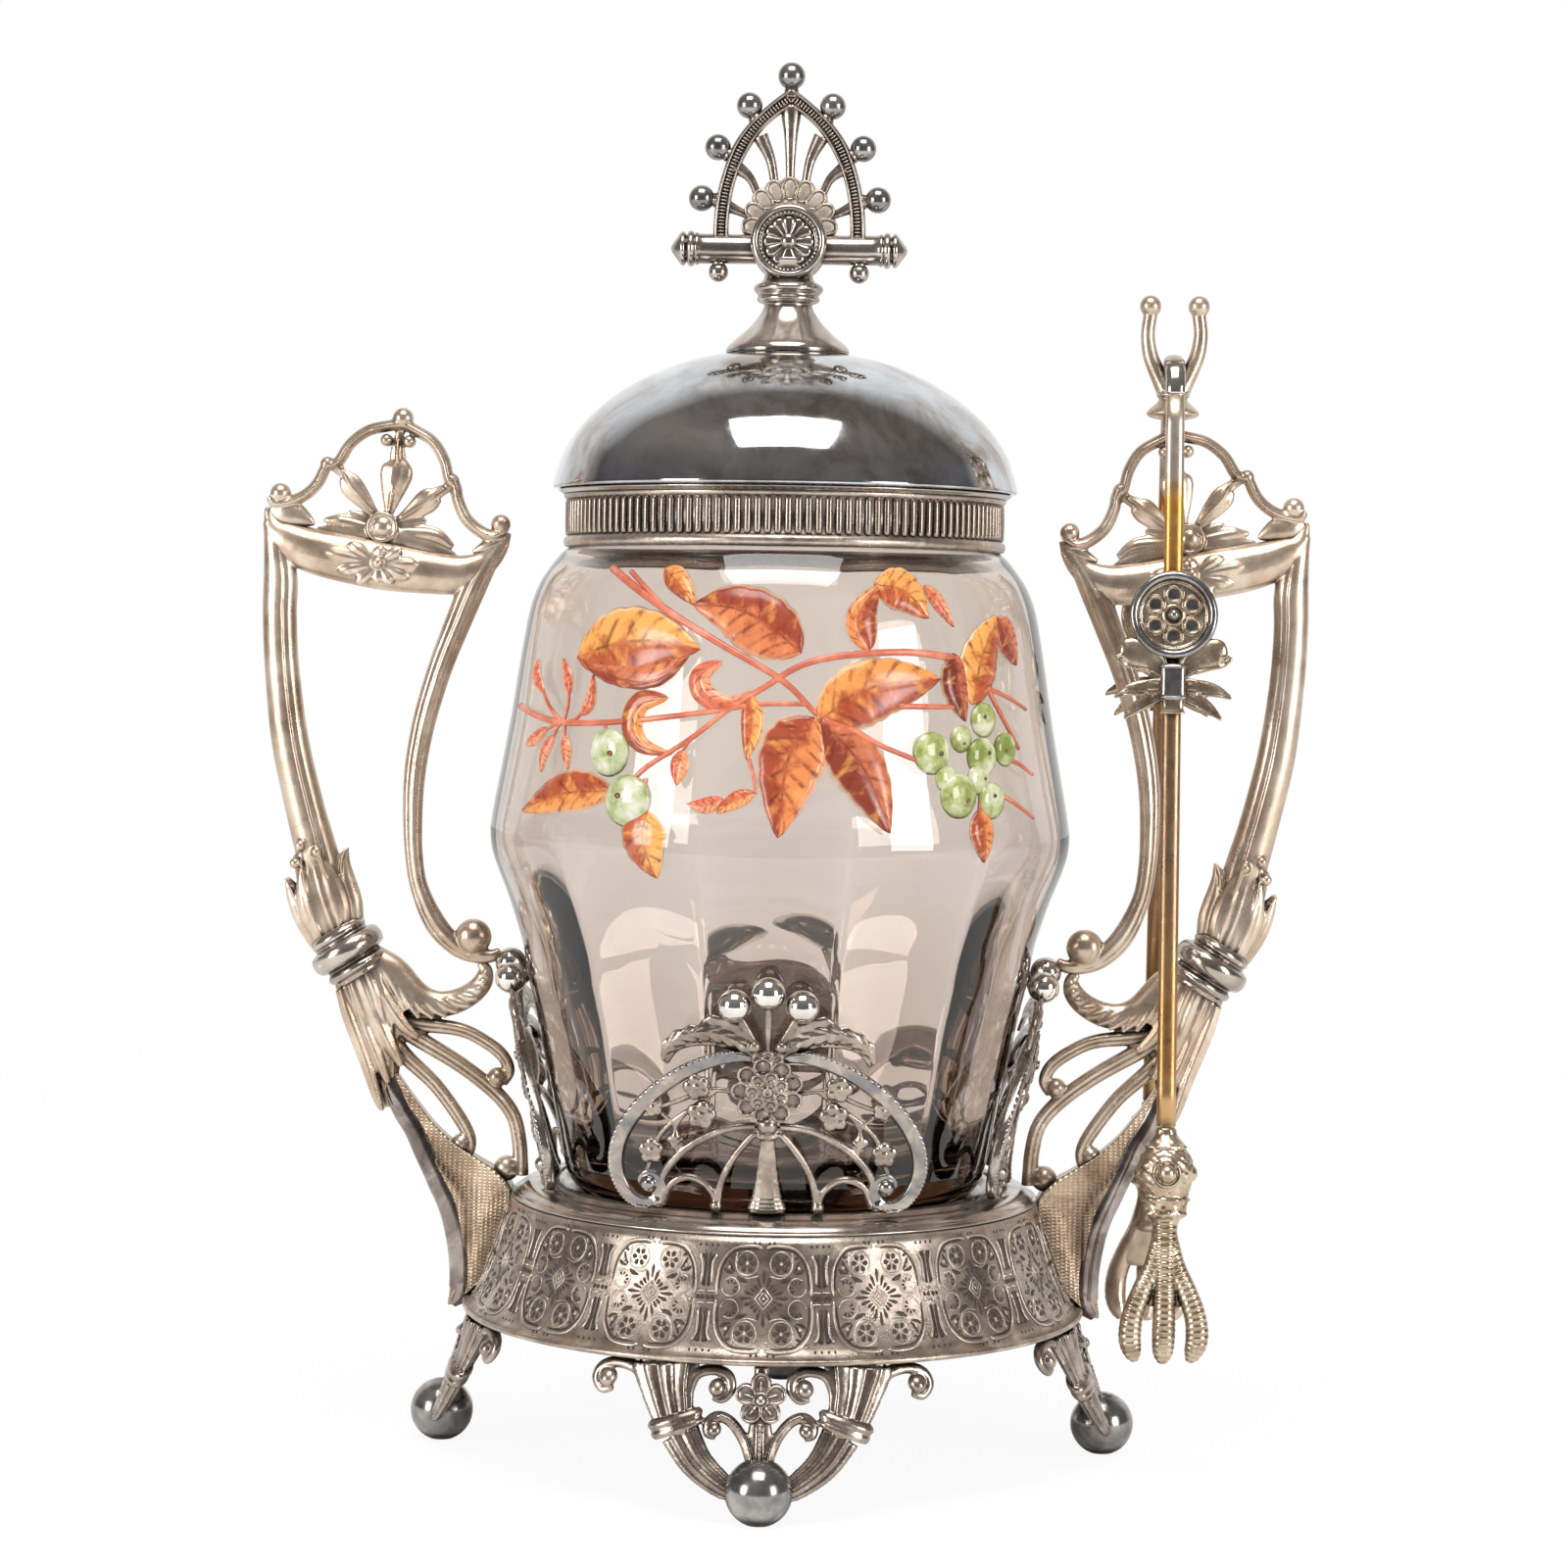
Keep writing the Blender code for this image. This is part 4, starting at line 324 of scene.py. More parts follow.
def grid_faces(rows, columns):
    """Quads of a grid of rows whose columns close round."""
    i, j = np.meshgrid(np.arange(rows - 1), np.arange(columns), indexing="ij")
    k = (j + 1) % columns
    quads = np.stack([i * columns + j, i * columns + k, (i + 1) * columns + k, (i + 1) * columns + j], -1)
    return quads.reshape(-1, 4).tolist()


def sweep(points, sides=12, depth=1.0, steps=6, plane=(0.0, 1.0, 0.0), relief=None):
    """A closed rod along rows (x, y, z, half width); relief scales it by distance and angle."""
    line = smooth_line(points, steps)
    centre, half = line[:, :3], line[:, 3]
    ahead = np.gradient(centre, axis=0)
    ahead /= np.linalg.norm(ahead, axis=1)[:, None] + 1e-9
    up = np.array(plane, float) - ahead * (ahead @ np.array(plane, float))[:, None]
    up /= np.linalg.norm(up, axis=1)[:, None] + 1e-9
    side = np.cross(up, ahead)
    angle = np.linspace(0.0, TURN, sides, endpoint=False)
    run = np.concatenate([[0.0], np.cumsum(np.linalg.norm(np.diff(centre, axis=0), axis=1))])
    swell = relief(run[:, None], angle[None, :]) if relief else 1.0
    wide = half[:, None] * np.cos(angle) * swell
    tall = half[:, None] * np.sin(angle) * depth * swell
    rings = centre[:, None] + side[:, None] * wide[..., None] + up[:, None] * tall[..., None]
    count = len(line) * sides
    faces = grid_faces(len(line), sides)
    for j in range(sides):
        k = (j + 1) % sides
        faces.append([count, k, j])
        faces.append([count + 1, count - sides + j, count - sides + k])
    return np.vstack([rings.reshape(-1, 3), centre[:1], centre[-1:]]), faces


def ball(centre, radius, squash=(1.0, 1.0, 1.0), sides=16):
    """A ball or an ellipsoid."""
    up = np.linspace(0.0, math.pi, sides // 2 + 1)
    rings = [(radius * math.sin(a), radius * math.cos(a)) for a in up]
    points, faces = lathe([(max(r, 0.0), z) for r, z in rings], sides)
    return points * np.array(squash) + np.array(centre), faces


def lathe(profile, steps=160, ripple=None, loop=False):
    """A turned solid about Z from (radius, z) rows; ripple changes a radius by angle and height."""
    rows = np.array(profile, float)
    angle = np.linspace(0.0, TURN, steps, endpoint=False)
    radius = np.repeat(rows[:, :1], steps, 1)
    height = np.repeat(rows[:, 1:2], steps, 1)
    if ripple:
        radius = ripple(radius, height, angle[None, :])
    points = np.stack([radius * np.cos(angle), radius * np.sin(angle), height], -1).reshape(-1, 3)
    faces = grid_faces(len(rows), steps)
    if loop:
        last = (len(rows) - 1) * steps
        faces += [[last + j, last + (j + 1) % steps, (j + 1) % steps, j] for j in range(steps)]
    return points, faces


def moved(shape, matrix):
    """A shape moved by a 4 x 4 matrix."""
    points, faces = shape
    turn = np.array(matrix)
    return points @ turn[:3, :3].T + turn[:3, 3], faces


def mirrored(shapes, flip=(-1.0, 1.0, 1.0)):
    """The shapes and their mirror images, at first across x = 0."""
    return shapes + [(points * np.array(flip), [face[::-1] for face in faces]) for points, faces in shapes]


def both_faces(shapes):
    """The shapes and their mirror images across y = 0, for the front and the rear of a casting."""
    return mirrored(shapes, (1.0, -1.0, 1.0))


def together(shapes):
    """Several shapes as one list of points and faces."""
    points, faces, start = [], [], 0
    for some, quads in shapes:
        points.append(some)
        faces += [[i + start for i in quad] for quad in quads]
        start += len(some)
    return np.vstack(points), faces


def solid(name, shapes, material, tidy=True):
    """A mesh object in metres from shapes in millimetres, smooth, with its faces outwards."""
    points, faces = together(shapes)
    mesh = bpy.data.meshes.new(name)
    mesh.from_pydata((points * MM).tolist(), [], faces)
    if tidy:
        work = bmesh.new()
        work.from_mesh(mesh)
        bmesh.ops.remove_doubles(work, verts=work.verts, dist=0.0005 * MM)
        bmesh.ops.recalc_face_normals(work, faces=work.faces)
        work.to_mesh(mesh)
        work.free()
    mesh.shade_smooth()
    mesh.materials.append(material)
    item = bpy.data.objects.new(name, mesh)
    bpy.context.scene.collection.objects.link(item)
    return item


def settled(item):
    """The object with its modifiers made into its mesh."""
    bpy.context.view_layer.update()
    shaped = bpy.data.meshes.new_from_object(item.evaluated_get(bpy.context.evaluated_depsgraph_get()))
    old = item.data
    item.modifiers.clear()
    item.data = shaped
    bpy.data.meshes.remove(old)
    shaped.shade_smooth()
    return item


def cast(name, shapes, material, bend=None, voxel=0.22, soften=2, keep=0.5):
    """One casting: the shapes run together as metal does, softened, with few faces where it is plain."""
    points, faces = together(shapes)
    if bend:
        points = bend(points)
    item = solid(name, [(points, faces)], material)
    item.modifiers.new("run together", "REMESH").mode = "VOXEL"
    item.modifiers[0].voxel_size = voxel * MM
    soft = item.modifiers.new("soften", "SMOOTH")
    soft.factor, soft.iterations = 0.5, soften
    item.modifiers.new("thin", "DECIMATE").ratio = keep
    return settled(item)


def fitted(item, body, slot, *nodes):
    """A finished piece rides on its body and stands for its CAD nodes, which it hides; slot is not used."""
    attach(item, body)
    if nodes:
        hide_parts(*nodes)
    return item


def turned_copy(item, name, quarter):
    """A copy of a piece, turned round the jar's axis by quarter turns."""
    mesh = item.data.copy()
    mesh.transform(Matrix.Rotation(quarter * math.pi / 2, 4, "Z"))
    twin = bpy.data.objects.new(name, mesh)
    bpy.context.scene.collection.objects.link(twin)
    return twin


def coated(item, material, chosen):
    """Give a second material to the faces that a test picks by centre and normal."""
    item.data.materials.append(material)
    for face in item.data.polygons:
        if chosen(face.center / MM, face.normal):
            face.material_index = 1


def four_times(pieces):
    """Pieces made at the front, with the CAD name they stand for, fitted on all four sides."""
    for item, node in pieces:
        for quarter, side in enumerate(("front", "right", "back", "left")):
            piece = turned_copy(item, item.name.replace("front", side), quarter) if quarter else item
            fitted(piece, "frame", "silver_plate", *([node + side] if node else []))


# Repeats

def ring_tree():
    """Geometry nodes: copies of a unit, turned round the Z axis."""
    tree = bpy.data.node_groups.new("turned round the axis", "GeometryNodeTree")
    for name, way, kind in (("Geometry", "INPUT", "Geometry"), ("Count", "INPUT", "Int"),
                            ("Material", "INPUT", "Material"), ("Geometry", "OUTPUT", "Geometry")):
        tree.interface.new_socket(name, in_out=way, socket_type="NodeSocket" + kind)
    given = add(tree, "NodeGroupInput").outputs
    centre = add(tree, "GeometryNodePoints", {"Count": given["Count"]})
    step = add(tree, "ShaderNodeMath", {0: TURN, 1: given["Count"]}, operation="DIVIDE")
    angle = add(tree, "ShaderNodeMath",
                {0: step.outputs[0], 1: add(tree, "GeometryNodeInputIndex").outputs[0]}, operation="MULTIPLY")
    spin = add(tree, "ShaderNodeCombineXYZ", {"Z": angle.outputs[0]})
    placed = add(tree, "GeometryNodeInstanceOnPoints", {
        "Points": centre.outputs[0], "Instance": given["Geometry"], "Rotation": spin.outputs[0]})
    real = add(tree, "GeometryNodeRealizeInstances", {"Geometry": placed.outputs[0]})
    shaded = add(tree, "GeometryNodeSetMaterial",
                 {"Geometry": real.outputs[0], "Material": given["Material"]})
    add(tree, "NodeGroupOutput", {"Geometry": shaded.outputs[0]})
    return tree


def ring_of(item, count, material):
    """Repeat a piece round the jar's axis with geometry nodes."""
    change = item.modifiers.new("ring", "NODES")
    change.node_group = bpy.data.node_groups.get("turned round the axis") or ring_tree()
    wanted = {"Count": count, "Material": material}
    for socket in change.node_group.interface.items_tree:
        if socket.in_out == "INPUT" and socket.name in wanted:
            change[socket.identifier] = wanted[socket.name]
    return settled(item)


# Reliefs: how a rod's section swells with the distance along it and the angle round it

def boxy(run, angle):
    """A squared section with soft corners."""
    return (np.abs(np.cos(angle)) ** 4 + np.abs(np.sin(angle)) ** 4) ** -0.25 + 0.0 * run


def fluted(count, depth):
    """Long flutes down a horn or a bell."""
    return lambda run, angle: 1.0 - depth * np.abs(np.cos(count * angle / 2)) ** 3 + 0.0 * run


def barbed(pitch, back, depth):
    """Swept-back barbs, as on a feather or a leaf."""
    return lambda run, angle: 1.0 + depth * np.cos(TURN * (run / pitch + back * np.abs(np.cos(angle))))


def belled(run, angle):
    """Soft flutes crossed by fine turned rings, as on a gallery's bell."""
    return 1.0 - 0.06 * np.abs(np.cos(4 * angle)) ** 3 + 0.035 * np.cos(TURN * run / 0.75)


def lobed(pitch, depth):
    """A scalloped edge with a groove between the lobes."""
    return lambda run, angle: (
        1.0 - depth + depth * np.abs(np.sin(math.pi * run / pitch)) * np.abs(np.cos(angle)))


def flat(rows, y=0.0):
    """Rows (x, z, half width) in a casting's own plane as sweep rows."""
    return [(row[0], y, row[1], row[2] if len(row) > 2 else 1.0) for row in rows]


def loop_of(x, z, wide, high, wire, y=0.0, turn=0.0, sides=8):
    """A raised oval rim in the casting's plane."""
    rows = []
    for step in range(17):
        a = TURN * step / 16
        dx, dz = wide * math.cos(a), high * math.sin(a)
        rows.append((x + dx * math.cos(turn) - dz * math.sin(turn), y,
                     z + dx * math.sin(turn) + dz * math.cos(turn), wire))
    return sweep(rows, sides, steps=2)


# Base

def skirt_radius(z):
    """Outer radius of the skirt's flare at a height."""
    return RIM_RADIUS - SKIRT_FLARE * np.maximum((z - RIM_Z) / SKIRT_RISE, 0.0) ** 0.7


def on_skirt(points):
    """Flat relief (u, outwards, height) wrapped on the skirt's front."""
    angle = points[:, 0] / (RIM_RADIUS - SKIRT_FLARE / 2)
    radius = skirt_radius(points[:, 2]) - points[:, 1]
    return np.stack([radius * np.sin(angle), -radius * np.cos(angle), points[:, 2]], 1)


def relief_line(rows, width=0.22, sides=6, steps=3):
    """A raised line stamped in the skirt's panel, from rows (u, height)."""
    return sweep([(u, 0.0, z, width) for u, z in rows], sides, 0.9, steps)


def dot(u, z, radius):
    """A raised stamped dot."""
    return ball((u, 0.0, z), radius, (1.0, 0.8, 1.0), 8)


def panel_shapes():
    """One stamped panel as raised lines and as sunk, dark strokes of patina and painted shade: frame,
    lozenge, rounds, fans, column.
    """
    mid = RIM_Z + SKIRT_RISE * 0.50
    raised, sunk = [], []

    # Dark strokes stand in for the sunk stamping: patina and painted shade in one colour, nearly flush with
    # the sheet
    def stroke(rows, width, steps=1):
        sunk.append(sweep([(u, 0.12, z, 1.25 * w * width) for u, z, w in rows], 6, 0.55, steps))

    for sx in (1, -1):
        for sz in (1, -1):
            def corner(rows):
                return [(sx * row[0], mid + sz * row[1], *row[2:]) for row in rows]
            # The frame: a large cusped lobe at each corner, with its shadow beside it
            raised.append(relief_line(corner([(0.4, 8.2), (2.0, 8.5), (5.6, 8.0), (7.7, 5.6), (8.3, 2.6),
                                              (8.2, 0.4)]), 0.26))
            stroke(corner([(0.5, 7.75, 0.7), (2.2, 8.0, 1), (5.3, 7.55, 1), (7.25, 5.35, 1), (7.8, 2.6, 1),
                           (7.75, 0.5, 0.7)]), 0.24, 3)
            # Round with a six-petalled flower
            x, z = 3.05, 5.6
            ring = [(x + 1.95 * math.cos(a), z + 1.95 * math.sin(a)) for a in np.linspace(0, TURN, 13)]
            raised.append(relief_line(corner(ring), 0.15, 6, 2))
            for a in np.arange(6) * TURN / 6:
                stroke(corner([(x + r * math.cos(a), z + r * math.sin(a), w)
                               for r, w in ((0.5, 0.5), (1.0, 1.2), (1.45, 0.9))]), 0.38)
            u, h = corner([(x, z)])[0]
            raised.append(dot(u, h, 0.36))
            # Fan of five petals in its own small round at the side
            x, z = 5.8, 1.75
            ring = [(x + 1.55 * math.cos(a), z + 1.5 * math.sin(a)) for a in np.linspace(0.9, TURN - 0.1, 11)]
            raised.append(relief_line(corner(ring), 0.13, 6, 2))
            for a in np.radians((60, 100, 140, 180, 220)):
                stroke(corner([(x + r * math.cos(a), z + r * math.sin(a), w)
                               for r, w in ((0.25, 0.6), (1.15, 1.3))]), 0.24)
            # Trefoil and curls between the round and the frame
            for rows in ([(5.2, 4.2, 0.6), (5.9, 5.0, 1), (6.3, 6.1, 0.7)],
                         [(5.4, 4.0, 0.6), (6.5, 4.2, 1), (7.1, 4.7, 0.7)],
                         [(5.3, 6.4, 0.5), (5.9, 6.6, 1), (6.0, 7.0, 0.5)]):
                stroke(corner(rows), 0.34, 2)
            u, h = corner([(6.2, 4.9)])[0]
            raised.append(dot(u, h, 0.34))
            # Long S line from the lozenge out to the frame
            raised.append(relief_line(corner([(1.0, 3.6), (2.9, 3.2), (4.3, 3.9), (5.1, 5.4), (4.9, 7.4)]),
                                      0.14, 5))
            stroke(corner([(2.6, 2.6, 0.4), (3.9, 2.9, 1), (4.8, 3.5, 0.4)]), 0.42, 2)
            # Column at the panel's edge, with its cap and its foot spreading
            raised.append(relief_line(corner([(9.2, 2.2), (9.25, 5.4), (8.6, 6.9)]), 0.28))
            stroke(corner([(9.75, 1.8, 1), (9.8, 5.2, 1), (9.5, 7.0, 1.4)]), 0.34, 2)
            for u, h in corner([(9.6, 8.4), (8.55, 8.4), (0.9, 8.9), (1.8, 8.95)]):
                sunk.append(ball((u, 0.1, h), 0.30, (1.0, 0.8, 1.0), 8))
        # Beaded bar across the column
        for step in (0.95, -0.95):
            raised.append(relief_line([(sx * 8.5, mid + step), (sx * 10.1, mid + step)], 0.17, 5, 1))
        for u in (8.9, 9.7):
            sunk.append(ball((sx * u, 0.1, mid), 0.42, (1.0, 0.8, 1.0), 8))
    # Lozenge in the middle, in two outlines, with dark wedges about it
    for size in (1.5, 0.85):
        raised.append(relief_line([(0.0, mid + size * 1.2), (size, mid), (0.0, mid - size * 1.2),
                                   (-size, mid), (0.0, mid + size * 1.2)], 0.2, 5, 1))
    raised.append(dot(0.0, mid, 0.3))
    for step in range(20):
        a = TURN * step / 20
        edge = 0.35 + 1.0 / (abs(math.cos(a)) / 1.7 + abs(math.sin(a)) / 2.0)
        tip = edge + 1.0 + 1.7 * max(abs(math.cos(a)), abs(math.sin(a))) ** 8
        stroke([(r * math.cos(a), mid + r * math.sin(a), w)
                for r, w in ((edge, 0.6), (edge * 0.4 + tip * 0.6, 1.1), (tip, 0.3))], 0.33)
    return raised, sunk


def make_base(finish):
    """The stamped skirt with its rim wire and panels, and the spun deck."""
    heights = np.linspace(SKIRT_TOP, RIM_Z + 0.6, 15)
    outer = [(float(skirt_radius(z)), z) for z in heights]
    roll = [(RIM_RADIUS + 0.10 + 0.55 * math.sin(a), RIM_Z - 0.10 + 0.55 * math.cos(a))
            for a in np.linspace(0.2, 3.0, 8)]
    inner = [(RIM_RADIUS - 0.9, RIM_Z - 0.6)] + [(r - 1.0, z) for r, z in reversed(outer)]
    skirt = solid("skirt_sheet", [lathe(outer + roll + inner, 256, loop=True)], finish["stamped"])
    fitted(skirt, "frame", "silver_plate", "base_band")
    # Raised lines in the sheet's finish, and dark strokes in patina with painted shade
    for name, shapes, coat in zip(("skirt_panels", "skirt_strokes"), panel_shapes(), ("stamped", "patina")):
        points, faces = together(shapes)
        panels = solid(name, [(on_skirt(points), faces)], finish[coat])
        fitted(ring_of(panels, 16, finish[coat]), "frame", "silver_plate")
    deck = solid("deck_spun", [lathe([
        (0.0, DECK_SEAT), (36.0, DECK_SEAT), (38.2, DECK_SEAT + 0.1), (38.6, DECK_TOP - 0.5),
        (39.2, DECK_TOP - 0.05), (40.1, DECK_TOP), (42.4, DECK_TOP - 0.12), (42.9, DECK_TOP - 0.5),
        (43.6, DECK_TOP - 0.55), (45.2, DECK_TOP - 0.75), (46.3, DECK_TOP - 1.3), (46.9, DECK_TOP - 1.9),
        (47.1, DECK_TOP - 2.2), (47.6, DECK_TOP - 2.25), (47.8, DECK_TOP - 2.42), (47.8, DECK_TOP - 2.6),
        (46.0, DECK_TOP - 2.6), (46.0, DECK_SEAT - 1.2), (0.0, DECK_SEAT - 1.2)], 256)], finish["spun"])
    fitted(deck, "frame", "silver_plate", "base_deck")


# Feet

def foot_bend(points):
    """Wrap a flat foot (u, depth, -drop) round the rim and splay it outwards."""
    drop = -points[:, 2]
    radius = RIM_RADIUS - FOOT_INSET + FOOT_SPLAY * drop - points[:, 1]
    angle = points[:, 0] / (RIM_RADIUS - FOOT_INSET)
    return np.stack([radius * np.sin(angle), -radius * np.cos(angle), FOOT_TOP - drop], 1)


def drops(rows, y=0.0):
    """Rows (u, drop, half width) of a foot as sweep rows."""
    return [(row[0], y, -row[1], row[2]) for row in rows]


def make_feet(finish):
    """Four feet: fluted horns in ringed collars, curled lips, a five-petalled flower and a ball."""
    half = [
        sweep(drops([(16.5, -0.05, 6.2), (16.4, 0.6, 6.2), (15.6, 4.2, 4.8), (14.3, 8.3, 3.7)]), 44, 0.42,
              relief=fluted(11, 0.24)),
        sweep(drops([(14.0, 8.2, 4.3), (13.75, 8.9, 4.7), (13.5, 9.6, 4.3)]), 20, 0.50),
        sweep(drops([(13.45, 9.5, 4.1), (13.2, 10.2, 4.5), (12.9, 10.9, 4.0)]), 20, 0.50),
        sweep(drops([(12.8, 11.0, 3.3), (9.7, 15.5, 2.7), (5.6, 18.9, 2.1), (3.4, 19.9, 1.6)]), 36, 0.62,
              relief=fluted(9, 0.26)),
        sweep(drops([(18.5, 5.6, 0.9), (20.6, 2.0, 1.0), (24.6, 0.75, 1.0), (28.0, 1.6, 0.95),
                     (28.9, 3.6, 0.9), (27.4, 5.3, 0.8), (25.6, 4.9, 0.7)]), 10, 0.95),
        sweep(drops([(12.2, 5.4, 0.85), (11.0, 1.8, 0.95), (8.2, 0.75, 0.95), (5.6, 1.5, 0.9),
                     (4.9, 3.6, 0.85), (6.2, 5.3, 0.75), (7.8, 5.0, 0.7)]), 10, 0.95),
        ball((26.5, -0.35, -3.3), 1.55), ball((7.2, -0.35, -3.5), 1.45),
        sweep(drops([(0.9, 18.0, 0.9), (1.5, 14.6, 0.85), (2.7, 11.4, 0.9), (4.7, 8.9, 0.9), (6.8, 8.1, 0.9),
                     (8.3, 9.1, 0.85), (8.2, 10.8, 0.8), (6.9, 11.2, 0.7)]), 10, 1.0),
        sweep(drops([(1.2, 15.0, 0.3), (2.3, 11.2, 0.3), (4.6, 8.5, 0.3), (6.6, 7.6, 0.25)], -0.85), 6),
        ball((7.2, -0.35, -10.1), 1.15),
    ]
    shapes = mirrored(half)
    shapes.append(sweep(drops([(0.0, 8.0, 1.6), (0.0, 11.5, 2.0), (0.0, 15.5, 1.1), (0.0, 19.0, 1.0)]), 12,
                        0.40))
    for step in range(8):
        shapes.append(ball((0.0, -0.9, -9.6 - 0.78 * step), 0.42 if step < 7 else 0.7, sides=8))
    shapes.append(sweep(drops([(0.0, -0.05, 1.3), (0.0, 3.0, 1.2)]), 10, 0.6))
    # Five round cupped petals with raised rims, about a ringed heart
    flower = [ball((0.0, -0.1, -5.1), 2.9, (1, 0.28, 1), 24), ball((0.0, -1.35, -5.1), 0.85, (1, 0.8, 1), 14),
              loop_of(0.0, -5.1, 1.05, 1.05, 0.22, -1.1)]
    for a in np.arange(5) * TURN / 5 + TURN / 4:
        x, z = 2.5 * math.cos(a), -5.1 + 2.5 * math.sin(a)
        flower += [ball((x, -0.3, z), 1.75, (1, 0.4, 1), 18), loop_of(x, z, 1.6, 1.35, 0.27, -0.85, a)]
        flower.append(sweep([(x * 0.45, -0.95, (z + 5.1) * 0.45 - 5.1, 0.2),
                             (x * 1.15, -1.0, (z + 5.1) * 1.15 - 5.1, 0.14)], 6, 1.0, 2))
    shapes += flower[:1]
    points, faces = together(shapes)
    # The ball ends in a small flat where it meets the table
    arc = [(KNOB_RADIUS * math.sin(a), KNOB_RADIUS * math.cos(a)) for a in np.linspace(0.15, 2.746, 18)]
    knob = lathe([(0.0, KNOB_RADIUS)] + arc + [(0.0, -KNOB_Z)], 40)
    out = RIM_RADIUS - 2.05 + FOOT_SPLAY * (FOOT_TOP - KNOB_Z)
    knob = moved(knob, Matrix.Translation((0.0, -out, KNOB_Z)))
    four_times([
        (cast("foot_front_cast", [(foot_bend(points), faces)], finish["cast"], voxel=0.2, keep=0.42),
         "foot_"),
        (solid("foot_front_flower", [(foot_bend(p), f) for p, f in flower[1:]], finish["cast"]), ""),
        (solid("foot_front_ball", [knob], finish["ball"]), "")])


# Galleries

def gallery_bend(points):
    """Curve a flat gallery (u, depth, height) round the jar and lean it outwards."""
    reach = GALLERY_CURVE + GALLERY_LEAN * points[:, 2] - points[:, 1]
    angle = points[:, 0] / GALLERY_CURVE
    centre = GALLERY_CURVE - GALLERY_OUT
    return np.stack([reach * np.sin(angle), centre - reach * np.cos(angle), GALLERY_Z + points[:, 2]], 1)


def blossom(x, z, size, turn=0.0):
    """A small five-petalled blossom with a raised heart."""
    shapes = [ball((x + size * 0.55 * math.cos(a), -0.5, z + size * 0.55 * math.sin(a)), size * 0.48,
                   (1, 0.7, 1), 8)
              for a in np.arange(5) * TURN / 5 + turn]
    return shapes + [ball((x, -0.8, z), size * 0.30, (1, 0.9, 1), 8),
                     ball((x, 0.0, z), size * 0.7, (1, 0.5, 1), 10)]


def leaf(rows, depth=0.45, y=0.0, sides=18, pitch=1.5):
    """A cast leaf with a toothed edge, swept veins and a midrib."""
    body = sweep(flat(rows, y), sides, depth, 8, relief=barbed(pitch, 1.1, 0.16))
    rib = sweep([(x, y - depth * w * 0.8, z, 0.28) for x, z, w in rows], 6, steps=4)
    return [body, rib]


